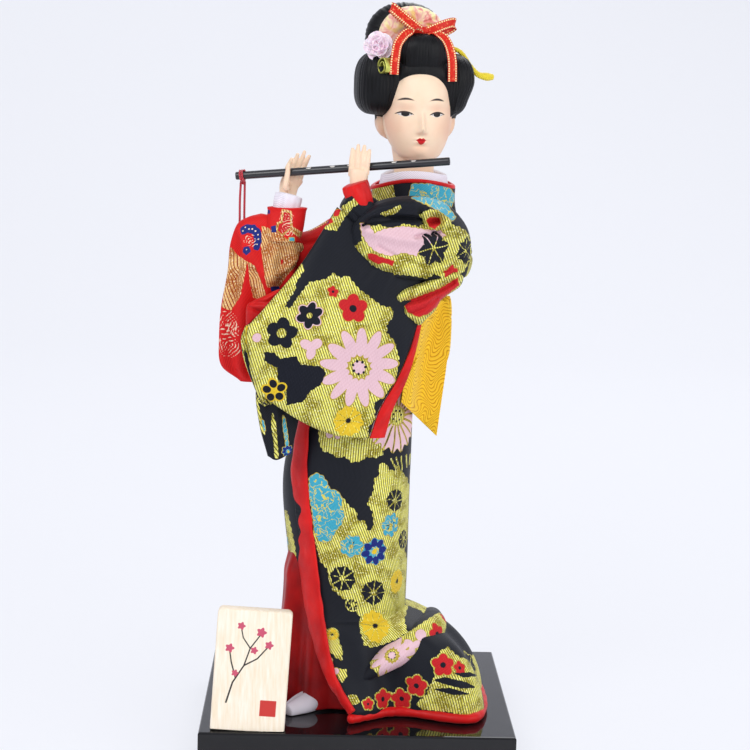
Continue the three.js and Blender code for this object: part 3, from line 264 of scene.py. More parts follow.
lacquer, tree, shader = finish("polished black lacquer", Roughness=0.06, Specular_IOR_Level=0.3,
                               Coat_Weight=0.25, Coat_Roughness=0.03)
place = add(tree, "TexCoord").outputs
film = add(tree, "TexNoise", Vector=place["Object"], Scale=0.18 / MM, Detail=2.0)
dust = add(tree, "TexNoise", Vector=place["Object"], Scale=0.9 / MM, Detail=1.0)
black = add(tree, "ValToRGB", ramp=("#0b0b0d", "#141417"), Fac=film)
speck = add(tree, "MapRange", i0=dust, i1=0.68, i2=0.75, i3=0.05, i4=0.22)
bump = add(tree, "Bump", Height=film, Strength=0.08, Distance=0.0002)
plug(shader, Base_Color=black, Roughness=speck, Normal=bump)


def dress(material, *names):
    """Gives a solid that is kept as it is a better finish."""
    for name in names:
        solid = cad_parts[name]
        solid.data.materials.clear()
        solid.data.materials.append(material)


dress(lacquer, "base_board")

steel, tree, shader = finish("zinc-plated steel", Metallic=1.0, Roughness=0.35)
place = add(tree, "TexCoord").outputs
streak = add(tree, "TexNoise", Vector=place["Object"], Scale=0.7 / MM, Detail=3.0)
grey = add(tree, "ValToRGB", ramp=("#8d8d8a", "#b9b9b4"), Fac=streak)
plug(shader, Base_Color=grey)
dress(steel, "base_screw_left", "base_screw_right", "arm_wire_left", "arm_wire_right")

# Plaque: a loose board of pale paulownia with eased corners that leans back a little on the plinth.
# Its face is planed and unvarnished. It carries an ink sprig of plum and a small red mark.

PLAQUE_SIZE = (29.2, 7.0, 48.0)
PLAQUE_LEAN, PLAQUE_ROLL = 0.09, 0.05
SPRIG = [
    [(-9, -13), (-7, -5), (-3, 2), (-1, 9), (3, 15)],
    [(-3, 2), (2, 5), (6, 10)],
    [(-6, -3), (-8, 3), (-9, 8)],
    [(-1, 9), (-4, 13), (-5, 17)],
]
BLOSSOMS = [(3, 15.5, 2.1), (6.3, 10.6, 1.8), (-9, 8.6, 1.9), (-5, 17.6, 1.7), (0.6, 8.2, 1.6),
            (-6.3, -1.2, 1.5)]
MARK = (7.5, -14.5, 3.2)

PLAQUE_FOOT = (-43.4, -50.2, 15.8)
# The distance, in millimetres, that a point has where no figure is near.
OUTSIDE = -9.0
CORNER, EASED_EDGE = 2.0, 0.7


def quads(rows, columns, wrap=False):
    """Corner numbers of the quads of a grid whose points are stored row by row."""
    i, j = np.meshgrid(np.arange(rows - 1), np.arange(columns if wrap else columns - 1), indexing="ij")
    right = (j + 1) % columns
    corners = [i * columns + j, i * columns + right, (i + 1) * columns + right, (i + 1) * columns + j]
    return np.stack(corners, axis=-1).reshape(-1, 4)


def rim_of(rows, columns):
    """Point numbers once round the border of a grid."""
    top, right = np.arange(columns), np.arange(rows) * columns + columns - 1
    return np.concatenate([top, right[1:], (rows - 1) * columns + top[::-1][1:],
                           (right - columns + 1)[::-1][1:-1]])


def shell(front, back):
    """A closed body between two grids, joined round their rims. The back may have every second or third
    point only.

    Returns points, faces and the material number of each face: 0 on the front and the rim, 1 on the
    back.
    """
    (rows, columns, _), (few_rows, few_columns, _) = front.shape, back.shape
    step = (rows - 1) // (few_rows - 1)
    points = np.concatenate([front.reshape(-1, 3), back.reshape(-1, 3)])
    near, far = rim_of(rows, columns), rim_of(few_rows, few_columns) + rows * columns
    run = (np.arange(len(far))[:, None] * step + np.arange(step, -1, -1)) % len(near)
    groups = [quads(rows, columns), quads(few_rows, few_columns)[:, ::-1] + rows * columns,
              np.concatenate([near[run], far[:, None], np.roll(far, -1)[:, None]], axis=1)]
    volume = 0
    for group in groups:
        for k in range(1, group.shape[1] - 1):
            a, b, c = (points[group[:, i]] for i in (0, k, k + 1))
            volume += np.einsum("ij,ij->", a, np.cross(b, c))
    groups = groups if volume > 0 else [group[:, ::-1] for group in groups]
    parts = np.repeat([0, 1, 0], [len(group) for group in groups])
    if step > 1:
        return points, [tuple(face) for group in groups for face in group.tolist()], parts
    return points, np.concatenate(groups), parts


def as_lists(faces):
    """Faces as lists of whole numbers, whether they are an array or tuples already."""
    return faces.tolist() if isinstance(faces, np.ndarray) else faces


def piece(name, points, faces, body, materials, replaced=(), attributes=None, parts=None, uv=None):
    """Makes a mesh object from points and faces, and ties it to a body and the solids it stands
    for.

    `attributes` are numbers per point, `parts` is the number of each face's material, and `uv` is a
    place on the cloth per point, in metres.
    """
    mesh = bpy.data.meshes.new(name)
    mesh.from_pydata(np.reshape(points, (-1, 3)).tolist(), [], as_lists(faces))
    for key, values in (attributes or {}).items():
        mesh.attributes.new(key, "FLOAT", "POINT").data.foreach_set("value",
            np.asarray(values, np.float32).ravel())
    for material in materials:
        mesh.materials.append(material)
    if parts is not None:
        mesh.polygons.foreach_set("material_index", np.asarray(parts, np.int32))
    if uv is not None:
        corner = np.empty(len(mesh.loops), np.int32)
        mesh.loops.foreach_get("vertex_index", corner)
        mesh.uv_layers.new(name="cloth").data.foreach_set("uv", np.asarray(uv, np.float32)[corner].ravel())
    mesh.shade_smooth()
    mesh.validate()
    new = bpy.data.objects.new(name, mesh)
    bpy.context.scene.collection.objects.link(new)
    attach(new, body)
    if replaced:
        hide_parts(*replaced)
    return new


def distance_to(x, y, route):
    """Distance from points (x, y) to a chain of straight pieces: the least of the distances to each piece."""
    best = np.full(np.shape(x), 1e9)
    for (ax, ay), (bx, by) in zip(route[:-1], route[1:]):
        t = np.clip(((x - ax) * (bx - ax) + (y - ay) * (by - ay)) / ((bx - ax) ** 2 + (by - ay) ** 2), 0, 1)
        best = np.minimum(best, np.hypot(x - ax - t * (bx - ax), y - ay - t * (by - ay)))
    return best


def blossom(x, y, size):
    """Distance inside a five-petalled outline: the radius swells and dips five times round."""
    return size * (0.82 + 0.18 * np.cos(5 * np.arctan2(y, x))) - np.hypot(x, y)


wide, deep, tall = PLAQUE_SIZE
s, t = np.meshgrid(np.linspace(-wide / 2, wide / 2, 100), np.linspace(-tall / 2, tall / 2, 162))
core_s, core_t = np.clip(s, CORNER - wide / 2, wide / 2 - CORNER), np.clip(t, -tall / 2, tall / 2 - CORNER)
reach = np.maximum(np.hypot(s - core_s, t - core_t), 1e-9)
pull = np.minimum(1, CORNER / reach)
s, t = core_s + (s - core_s) * pull, core_t + (t - core_t) * pull
rim = np.where(reach > 1e-6, CORNER - np.hypot(s - core_s, t - core_t),
               np.minimum(wide / 2 - np.abs(s), tall / 2 - t))
eased = EASED_EDGE * (1 - np.sqrt(1 - np.clip(1 - rim / EASED_EDGE, 0, 1) ** 2))
lean = np.array(Matrix.Rotation(-PLAQUE_LEAN, 3, "X") @ Matrix.Rotation(PLAQUE_ROLL, 3, "Y"))
sides = []
for y in (eased, deep - eased):
    board = np.stack([s, y, t + tall / 2], axis=-1) @ lean.T + np.array(PLAQUE_FOOT)
    board[..., 2] = np.maximum(board[..., 2], PLAQUE_FOOT[2])
    sides.append(board * MM)
points, faces, parts = shell(*sides)
ink = np.full(s.shape, OUTSIDE)
for route in SPRIG:
    ink = np.maximum(ink, 0.42 - distance_to(s, t, route) * (1 + 0.02 * (t + 20)))
flowers = np.full(s.shape, OUTSIDE)
for x, y, size in BLOSSOMS:
    flowers = np.maximum(flowers, blossom(s - x, t - y, size))
mark = MARK[2] - np.maximum(np.abs(s - MARK[0]), np.abs(t - MARK[1]))
away = np.full(s.size, OUTSIDE)

# Planed paulownia: fine straight grain, dry and matt, a touch darker along the grain lines.
paulownia, tree, shader = finish("planed paulownia", Roughness=0.62)
place = add(tree, "TexCoord").outputs
stretched = add(tree, "Mapping", Vector=place["Object"], Scale=(1.0, 1.0, 0.06))
grain = add(tree, "TexNoise", Vector=stretched, Scale=0.9 / MM, Detail=4.0, Roughness=0.6)
bands = add(tree, "TexNoise", Vector=stretched, Scale=0.16 / MM, Detail=2.0)
wood = add(tree, "ValToRGB", ramp=("#f1e2c6", "#fdf5e6"), places=(0.3, 0.7), Fac=grain)
shade = add(tree, "Mix", {"data_type": "RGBA", "blend_type": "MULTIPLY"}, i0=0.5, i6=wood)
tone = add(tree, "ValToRGB", ramp=("#f8eedc", "#ffffff"), Fac=bands)
plug(shade, i7=tone)
latest = shade.outputs[2]
for key, code in (("ink", "#2a2622"), ("petals", "#c8506a"), ("seal", "#c8322a")):
    inside = add(tree, "Attribute", {"attribute_name": key})
    edge = add(tree, "MapRange", i0=inside.outputs["Fac"], i1=-0.06, i2=0.08)
    painted = add(tree, "Mix", {"data_type": "RGBA"}, i0=edge, i6=latest, i7=colour(code))
    latest = painted.outputs[2]
plug(shader, Base_Color=latest)
bump = add(tree, "Bump", Height=grain, Strength=0.25, Distance=0.0002)
plug(shader, Normal=bump)
piece("plaque_board", points, faces, "plaque", [paulownia], ["plaque"], attributes={
    "ink": np.concatenate([ink.ravel(), away]), "petals": np.concatenate([flowers.ravel(), away]),
    "seal": np.concatenate([mark.ravel(), away])})

# Inside the doll: beech sticks for the legs and the neck, and a torso of cotton wadding over straw.

sticks, tree, shader = finish("raw beech dowel", Roughness=0.7)
place = add(tree, "TexCoord").outputs
stretched = add(tree, "Mapping", Vector=place["Object"], Scale=(1.0, 1.0, 0.08))
grain = add(tree, "TexNoise", Vector=stretched, Scale=1.2 / MM, Detail=3.0)
wood = add(tree, "ValToRGB", ramp=("#b98d5c", "#d9b98a"), Fac=grain)
plug(shader, Base_Color=wood)
dress(sticks, "leg_left", "leg_right", "neck_post")

wadding, tree, shader = finish("cotton wadding over straw", Roughness=0.95)
place = add(tree, "TexCoord").outputs
tufts = add(tree, "TexNoise", Vector=place["Object"], Scale=0.26 / MM, Detail=5.0)
cotton = add(tree, "ValToRGB", ramp=("#c9b88c", "#efe6cf"), Fac=tufts)
bump = add(tree, "Bump", Height=tufts, Strength=0.6, Distance=0.001)
plug(shader, Base_Color=cotton, Normal=bump)
dress(wadding, "body_core")


# Feet: split-toe socks of white cotton, sewn along the sole and between the toes, stuffed firm.

# The clothed body's outline: height, middle x and y, half width and half depth.
BODY = np.array([
    (15.5, -7, -4, 25, 24), (66, -5, -2, 24.5, 22.5), (112, -6, 0, 26, 22), (160, 2, 0, 19.5, 16.5),
    (188, 9.5, 0, 19.5, 15.5), (214, 17.4, -1, 17.5, 13.5), (228, 18, -1, 16, 13.4),
])
BODY_TURN = -0.85
FLOOR = 15.8
facing = np.array((sin(BODY_TURN), -cos(BODY_TURN), 0))
leftward = np.array((cos(BODY_TURN), sin(BODY_TURN), 0))


def body_at(z):
    """Middle x and y, half width and half depth at heights z: Hermite cubics through BODY."""
    z = np.asarray(z, dtype=float)
    heights, values = BODY[:, 0], BODY[:, 1:]
    low = np.concatenate([[0], np.arange(len(BODY) - 1)])
    high = np.concatenate([np.arange(1, len(BODY)), [len(BODY) - 1]])
    slopes = (values[high] - values[low]) / (heights[high] - heights[low])[:, None]
    k = np.clip(np.searchsorted(heights, z, side="right") - 1, 0, len(BODY) - 2)
    span = heights[k + 1] - heights[k]
    t = ((z - heights[k]) / span)[..., None]
    span = span[..., None]
    found = ((2 * t ** 3 - 3 * t ** 2 + 1) * values[k] + (t ** 3 - 2 * t ** 2 + t) * slopes[k] * span
             + (3 * t ** 2 - 2 * t ** 3) * values[k + 1] + (t ** 3 - t ** 2) * slopes[k + 1] * span)
    return np.moveaxis(found, -1, 0)


def smooth(low, high, value):
    """0 at `low` and before it, 1 at `high` and past it, and a cubic ease between them."""
    t = np.clip((value - low) / (high - low), 0, 1)
    return t * t * (3 - 2 * t)


def circle(count):
    """Angles once round, evenly spaced."""
    return np.linspace(0, 2 * pi, count, endpoint=False)


def sweep(stations, side, rows=60, columns=40, cap=0.5, power=2.0):
    """Rings of a limb: stations (x, y, z, half width, half depth) joined by a spline, in millimetres.

    Each ring is a superellipse |a|^p + |b|^p = 1 whose width lies along `side`. The ends close over
    `cap` half widths as quarter ellipses. The result is in metres.
    """
    body = np.linspace(0, 1, rows)
    line = along(stations, body)
    centre, width, depth = line[:, :3], line[:, 3], line[:, 4]
    tangent = np.gradient(centre, axis=0)
    tangent /= np.linalg.norm(tangent, axis=1, keepdims=True)
    bend = np.linspace(0, pi / 2, 7)[:-1]
    grow = np.concatenate([np.sin(bend + 0.02), np.ones(rows), np.sin(bend + 0.02)[::-1]])
    reach = np.concatenate([-np.cos(bend), np.zeros(rows), np.cos(bend)[::-1]])
    pick = np.concatenate([np.zeros(6, int), np.arange(rows), np.full(6, rows - 1)])
    centre, tangent, width, depth = centre[pick], tangent[pick], width[pick], depth[pick]
    centre = centre + tangent * (reach * cap * np.minimum(width, depth))[:, None]
    across = np.cross(tangent, side)
    across /= np.linalg.norm(across, axis=1, keepdims=True)
    flat = np.cross(across, tangent)
    angle = circle(columns)
    a = np.sign(np.cos(angle)) * np.abs(np.cos(angle)) ** (2 / power)
    b = np.sign(np.sin(angle)) * np.abs(np.sin(angle)) ** (2 / power)
    return MM * (centre[:, None]
                 + flat[:, None] * (width * grow)[:, None, None] * a[None, :, None]
                 + across[:, None] * (depth * grow)[:, None, None] * b[None, :, None])


def tube_faces(rows, columns):
    """Faces of a closed tube: a first pole, rows of ring points, and a last pole."""
    ring = quads(rows, columns, wrap=True) + 1
    here = np.arange(columns)
    following = (here + 1) % columns
    last = rows * columns + 1
    start = (rows - 1) * columns + 1
    first_fan = [(0, int(b) + 1, int(a) + 1) for a, b in zip(here, following)]
    last_fan = [(last, start + int(a), start + int(b)) for a, b in zip(here, following)]
    return first_fan + [tuple(q) for q in ring.tolist()] + last_fan


def outward(points, faces):
    """The same mesh with its faces turned so that its signed volume, the sum of corner products, is
    positive.
    """
    triangles = np.array([(f[0], f[k], f[k + 1]) for f in faces for k in range(1, len(f) - 1)])
    a, b, c = (points[triangles[:, k]] for k in range(3))
    if np.einsum("ij,ij->i", a, np.cross(b, c)).sum() < 0:
        faces = [tuple(reversed(f)) for f in faces]
    return points, faces


def closed_tube(grid):
    """Points and faces of a tube from its rings, with a pole in the middle of each end, turned to face
    outward.
    """
    rows, columns, _ = grid.shape
    points = np.concatenate([grid[:1].mean(axis=1), grid.reshape(-1, 3), grid[-1:].mean(axis=1)])
    return outward(points, tube_faces(rows, columns))


def together(*shells):
    """Several meshes (points, faces, ...) as one: their points end to end, and their faces renumbered."""
    starts = np.cumsum([0] + [len(shell[0]) for shell in shells]).tolist()
    faces = [tuple(i + start for i in face)
             for shell, start in zip(shells, starts) for face in as_lists(shell[1])]
    return np.concatenate([shell[0] for shell in shells]), faces


cotton, tree, shader = finish("white cotton twill", Roughness=0.85, Sheen_Weight=0.25)
place = add(tree, "TexCoord").outputs
weave = add(tree, "TexWave", {"bands_direction": "DIAGONAL"}, Vector=place["Object"], Scale=0.7 / MM,
            Distortion=1.0)
white = add(tree, "ValToRGB", ramp=("#dcd6e0", "#f4f0f6"), Fac=weave)
bump = add(tree, "Bump", Height=weave, Strength=0.3, Distance=0.0002)
plug(shader, Base_Color=white, Normal=bump)

FOOT_LENGTH, FOOT_WIDTH, FOOT_HEIGHT = 34.0, 10.5, 9.0
for name, side, ahead_by in (("left", 6.5, 9.0), ("right", -6.5, 0.0)):
    x, y, _, _ = body_at(15.5)
    ankle = np.array((x, y, 0)) + leftward * side + facing * ahead_by
    stations = []
    for t, w, h in ((0, 0.22, 0.6), (0.12, 0.38, 1), (0.4, 0.42, 1), (0.75, 0.5, 0.75), (1, 0.3, 0.45)):
        spot = ankle + facing * FOOT_LENGTH * (t - 0.28)
        stations.append((spot[0], spot[1], 15.5 + 0.42 * FOOT_HEIGHT * h, w * FOOT_WIDTH,
                         FOOT_HEIGHT * h / 2 + 1))
    grid = sweep(stations, leftward, rows=56, columns=48, cap=0.35)
    forward = (grid / MM - ankle) @ facing / FOOT_LENGTH + 0.28
    aside = (grid / MM - ankle) @ leftward
    cleft = smooth(0.62, 0.8, forward) * np.exp(-((aside - (-0.9 if side > 0 else 0.9)) / 0.5) ** 2)
    grid[..., 2] -= MM * 2.2 * cleft
    grid[..., 2] = np.maximum(grid[..., 2], FLOOR * MM)
    points, faces = closed_tube(grid)
    turn = circle(40)
    height = np.linspace(FLOOR + 1, 32.5, 24)
    radius = 5.1 + 0.25 * np.sin(height * 1.4)
    leg = np.stack([ankle[0] + radius[:, None] * np.cos(turn), ankle[1] + radius[:, None] * np.sin(turn),
                    np.repeat(height[:, None], 40, axis=1)], axis=-1) * MM
    points, faces = together((points, faces), closed_tube(leg))
    piece(f"sock_{name}", points, faces, "doll", [cotton], [f"foot_{name}"])

# Under robe: red rayon satin from the shoulders to the plinth, worn under the black kimono.
# Its hem spreads in soft upright folds inside the skirt's opening.

satin, tree, shader = finish("red rayon satin", Roughness=0.38, Specular_IOR_Level=0.2, Sheen_Weight=0.06)
place = add(tree, "TexCoord").outputs
thread = add(tree, "TexWave", {"bands_direction": "DIAGONAL"}, Vector=place["Object"], Scale=0.9 / MM,
             Distortion=1.5)
cloudy = add(tree, "TexNoise", Vector=place["Object"], Scale=0.09 / MM, Detail=3.0)
red = add(tree, "ValToRGB", ramp=("#b80c10", "#dc1814"), places=(0.3, 0.7), Fac=cloudy)
crease = add(tree, "TexNoise", Vector=place["Object"], Scale=0.26 / MM, Detail=2.0)
fine = add(tree, "Bump", Height=thread, Strength=0.2, Distance=0.0001)
bump = add(tree, "Bump", Height=crease, Strength=0.35, Distance=0.0006, Normal=fine)
plug(shader, Base_Color=red, Normal=bump)

ROBE_THICKNESS = 1.1
columns = circle(230)
heights = np.concatenate([np.linspace(212, 84, 50), np.linspace(83, FLOOR + 0.6, 120)])
angle, z = np.meshgrid(columns, heights)
x, y, w, d = body_at(z)
front = np.exp(-((np.angle(np.exp(1j * (angle - radians(-132))))) / 0.62) ** 2)
low_down = smooth(76, 22, z)
spread = front * low_down * (2.6 + 2.4 * np.sin(9 * angle + 0.5 + z * 0.02) * smooth(74, 40, z))
flare = np.exp(-((np.angle(np.exp(1j * (angle - radians(-158))))) / 0.3) ** 2) * smooth(84, 68, z)
spread = spread + flare * (5.2 + 1.2 * np.sin(14 * angle))
inset = 1.75 - spread
grid = np.stack([x + (w - inset) * np.cos(angle), y + (d - inset) * np.sin(angle), z], axis=-1)
inner = np.stack([x + (w - inset - ROBE_THICKNESS) * np.cos(angle),
                  y + (d - inset - ROBE_THICKNESS) * np.sin(angle), z], axis=-1)


def ring_shell(outer, inner):
    """A closed band: outer rings down and inner rings back up, joined at both rims. Material 1 is the
    inner side.
    """
    rings = np.concatenate([outer, inner[::-1]])
    rows, count, _ = rings.shape
    i, j = np.meshgrid(np.arange(rows), np.arange(count), indexing="ij")
    below, beside = (i + 1) % rows, (j + 1) % count
    faces = np.stack([i * count + j, i * count + beside, below * count + beside, below * count + j],
                     axis=-1).reshape(-1, 4)
    parts = np.repeat((np.arange(rows) >= len(outer)).astype(int), count)
    points = rings.reshape(-1, 3)
    a, b, c, e = (points[faces[:, k]] for k in range(4))
    volume = np.einsum("ij,ij->i", a, np.cross(b, c) + np.cross(c, e)).sum()
    return points, (faces if volume > 0 else faces[:, ::-1]), parts


points, faces, parts = ring_shell(grid * MM, inner[::4] * MM)
# The robe's satin is the same cloth, painted a deeper red as painted shade, since it hangs in the shade of
# the brocade.
shaded_satin = satin.copy()
shaded_satin.name = "red rayon satin with painted shade"
painted_shade_ramp = next(node for node in shaded_satin.node_tree.nodes if node.type == "VALTORGB").color_ramp
painted_shade_ramp.elements[0].color, painted_shade_ramp.elements[1].color = colour("#840408"), colour("#b00c0c")
robe = piece("red_under_robe", points, faces, "doll", [shaded_satin], ["under_robe"])


# Skirt: black brocade, lined, wrapped round the hips under the sash, with a train that swells over the
# plinth. Woven gold clouds and flowers in coloured silk float on the black satin ground.


def ring_of_petals(x, y, count, reach, half, inner=0.15, pointed=False):
    """Distance inside a ring of petals. The angle is folded into one petal's wedge, and a petal is an
    ellipse there, or a leaf between two parabolas.
    """
    step = 2 * pi / count
    radius = np.hypot(x, y)
    angle = (np.arctan2(y, x) + step / 2) % step - step / 2
    along_it, beside = radius * np.cos(angle), np.abs(radius * np.sin(angle))
    middle, long = reach * (1 + inner) / 2, reach * (1 - inner) / 2
    if pointed:
        return 0.85 * (half * (1 - ((along_it - middle) / long) ** 2) - beside)
    return (1 - np.hypot((along_it - middle) / long, beside / half)) * min(long, half)


def parted_petals(x, y, count, r, line):
    """Distance inside a lobed disc of radius r that thin lines, 2 * line wide, part into petals round an
    open eye.
    """
    radius, turned = np.hypot(x, y), np.arctan2(y, x)
    step = 2 * pi / count
    ray = np.abs(radius * np.sin(turned % step - step / 2)) - line
    return np.min([r * (0.93 + 0.07 * np.cos(count * turned + pi)) - radius, ray, radius - 0.14 * r],
                  axis=0)


def cloud_shape(x, y, r):
    """Distance inside a drifting cloud: three overlapping discs whose edge is scalloped."""
    lobes = [(-0.45, 0.0, 0.5), (0.12, 0.22, 0.58), (0.55, -0.1, 0.42), (0.05, -0.3, 0.45)]
    inside = np.max([s * r - np.hypot(x - a * r, y - b * r) for a, b, s in lobes], axis=0)
    return inside + 0.5 * np.abs(np.sin(2.2 * np.arctan2(y, x) * r / 2.4))


def motif(kind, x, y, r):
    """Distances inside the parts of one woven figure of radius r, by layer, in millimetres."""
    radius = np.hypot(x, y)
    step = 2 * pi / 6
    fold = (np.arctan2(y, x) + step / 2) % step - step / 2
    vein = np.abs(radius * np.sin(fold)) - 0.2
    if kind == "chrysanthemum":
        petals = ring_of_petals(x, y, 13, r, 0.145 * r, 0.25)
        eye = ring_of_petals(x, y, 7, 0.2 * r, 0.035 * r, 0.6)
        return {"gold": 0.96 * r - radius, "pink": np.maximum(petals, 0.17 * r - radius), "dark": eye}
    if kind == "aster":
        petals = np.minimum(parted_petals(x, y, 19, r, 0.32), radius - 0.24 * r)
        return {"gold": 0.3 * r - radius, "pink": petals,
                "dark": ring_of_petals(x, y, 7, 0.18 * r, 0.035 * r, 0.6)}
    if kind == "wheel":
        return {"dark": parted_petals(x, y, 8, r, 0.24), "gold": 1.08 * r - radius}
    if kind == "teal":
        petals = ring_of_petals(x, y, 7, r, 0.34 * r, 0.1)
        return {"sky": petals, "gold": petals + 0.4,
                "dark": ring_of_petals(x, y, 7, 0.5 * r, 0.05 * r, 0.3)}
    if kind == "spray":
        return {"pink": ring_of_petals(x, y, 3, r, 0.4 * r, -0.1), "gold": 0.75 * r - radius}
    if kind == "petal":
        return {"pink": 0.62 * r - np.hypot(x, y * 1.6)}
    if kind == "red":
        petals = ring_of_petals(x, y, 5, r, 0.42 * r, 0.05)
        return {"red": petals, "gold": petals + 0.35, "dark": 0.24 * r - radius}
    if kind == "leaf":
        petals = ring_of_petals(x, y, 6, r, 0.33 * r, 0.05, pointed=True) + 0.12 * np.sin(5 * radius)
        return {"dark": np.minimum(petals, vein), "gold": petals + 0.45}
    if kind == "outlined":
        petals = ring_of_petals(x, y, 6, r, 0.34 * r, 0.05)
        return {"dark": np.minimum(petals - 0.3, radius - 0.2 * r),
                "pink": np.minimum(petals + 0.15, radius - 0.2 * r),
                "gold": 0.2 * r - radius}
    if kind == "night":
        petals = ring_of_petals(x, y, 5, r, 0.4 * r, 0.08)
        return {"dark": np.minimum(petals, radius - 0.3 * r), "gold": petals + 0.3}
    if kind == "yellow":
        return {"yellow": parted_petals(x, y, 10, r, 0.15), "gold": 1.06 * r - radius,
                "dark": 0.2 * r - radius}
    if kind == "gilded":
        petals = ring_of_petals(x, y, 5, r, 0.38 * r, 0.15)
        return {"dark": petals, "yellow": np.maximum(np.minimum(petals + 0.1, 0.5 - petals),
                                                     0.24 * r - radius)}
    if kind == "scroll":
        coil = 0.17 - np.abs((radius * 1.1 + 0.55 * np.sin(3 * np.arctan2(y, x))) % 1.25 - 0.62)
        return {"yellow": np.minimum(coil, r - radius)}
    if kind == "blue":
        petals = ring_of_petals(x, y, 8, 0.92 * r, 0.22 * r, 0.34)
        return {"blue": petals, "sky": 0.9 * r + 0.08 * r * np.cos(8 * np.arctan2(y, x)) - radius,
                "yellow": 0.2 * r - radius}
    if kind == "sky":
        return {"sky": 0.8 * r - radius, "gold": r - radius}
    if kind == "disc":
        return {"pink": r - radius}
    if kind == "cloud":
        return {"gold": cloud_shape(x, y, r)}
    if kind == "square":
        return {"red": 0.7 * r - np.maximum(np.abs(x), np.abs(y)),
                "gold": r - np.maximum(np.abs(x), np.abs(y))}
    raise ValueError(kind)


LAYERS = ("gold", "pink", "red", "sky", "blue", "dark", "yellow")
PIXEL = 0.408


def polygon(x, y, corners):
    """Signed distance inside a polygon, and how far round its outline the nearest point lies."""
    corners = np.asarray(corners, dtype=float)
    best, arc, inside = np.full(x.shape, 1e9), np.zeros(x.shape), np.zeros(x.shape, bool)
    travelled = 0.0
    for (ax, ay), (bx, by) in zip(corners, np.roll(corners, -1, axis=0)):
        length = np.hypot(bx - ax, by - ay)
        t = np.clip(((x - ax) * (bx - ax) + (y - ay) * (by - ay)) / length ** 2, 0, 1)
        gap = np.hypot(x - ax - t * (bx - ax), y - ay - t * (by - ay))
        nearer = gap < best
        best, arc = np.where(nearer, gap, best), np.where(nearer, travelled + t * length, arc)
        crosses = (ay > y) != (by > y)
        if ay != by:
            inside ^= crosses & (x < (bx - ax) * (y - ay) / (by - ay) + ax)
        travelled += length
    return np.where(inside, best, -best), arc


def figured(grid, faces_out, figures=(), patches=(), scatter=()):
    """Pattern layers of a cloth, as distances inside each colour in millimetres, positive inside.

    A figure (kind, x, y, radius, turn) is centred on the cloth point seen at picture pixel (x, y), and
    drawn flat in the cloth's tangent plane there. A patch (layer, scallop, corners) is an outline in
    picture pixels. Scattered figures (kind, point, radius, turn) are centred at the cloth point nearest
    to a point in millimetres.
    """
    points = grid.reshape(-1, 3)
    n = faces_out.reshape(-1, 3)
    layers = {name: np.full(len(points), OUTSIDE) for name in LAYERS}
    spots = pixels(points)
    view = np.array(CAMERA_PLACE) - points
    seen = np.einsum("ij,ij->i", n, view) > 0.12 * np.linalg.norm(view, axis=1)
    for layer, scallop, corners in patches:
        corner_list = np.array(corners, dtype=float) * PIXEL
        close = np.flatnonzero(seen & (spots[:, 0] * PIXEL > corner_list[:, 0].min() - 3)
                               & (spots[:, 0] * PIXEL < corner_list[:, 0].max() + 3)
                               & (spots[:, 1] * PIXEL > corner_list[:, 1].min() - 3)
                               & (spots[:, 1] * PIXEL < corner_list[:, 1].max() + 3))
        inside, arc = polygon(spots[close, 0] * PIXEL, spots[close, 1] * PIXEL, corner_list)
        inside = inside + scallop * np.abs(np.sin(arc * pi / 2.6))
        layers[layer][close] = np.maximum(layers[layer][close], inside)
    placed = []
    for kind, px, py, radius, turned in figures:
        gap = np.where(seen, np.hypot(spots[:, 0] - px, spots[:, 1] - py), 1e9)
        placed.append((kind, int(np.argmin(gap)), radius, turned))
    for kind, near, radius, turned in scatter:
        placed.append((kind, int(np.argmin(((points - np.array(near) * MM) ** 2).sum(axis=1))), radius,
                       turned))
    for kind, centre, radius, turned in placed:
        normal = n[centre]
        over = np.cross((0, 0, 1), normal)
        over /= max(np.linalg.norm(over), 1e-9)
        above = np.cross(normal, over)
        offset = (points - points[centre]) / MM
        near = np.flatnonzero((np.abs(offset @ normal) < 0.9 * radius)
                              & ((offset ** 2).sum(axis=1) < (1.7 * radius) ** 2)
                              & (n @ normal > -0.1))
        a, b = offset[near] @ over, offset[near] @ above
        a, b = a + 0.2 * np.sin(0.5 * b + centre), b + 0.2 * np.sin(0.45 * a + 2 * centre)
        x, y = a * cos(turned) + b * sin(turned), b * cos(turned) - a * sin(turned)
        for layer, inside in motif(kind, x, y, radius).items():
            layers[layer][near] = np.maximum(layers[layer][near], inside)
    return layers


def both_sides(layers, total):
    """Layer values for a whole shell: the pattern on the points of its front, and none on the rest."""
    return {key: np.concatenate([values, np.full(total - len(values), OUTSIDE)])
            for key, values in layers.items()}


def place_in_picture(points, lean=radians(72)):
    """Cloth coordinates in metres for a sheet that faces the camera: its threads are seen at the angle
    `lean`.
    """
    across, under = (pixels(points) * PIXEL * MM).T
    return np.stack([across * sin(lean) - under * cos(lean), across * cos(lean) + under * sin(lean)],
                    axis=-1)


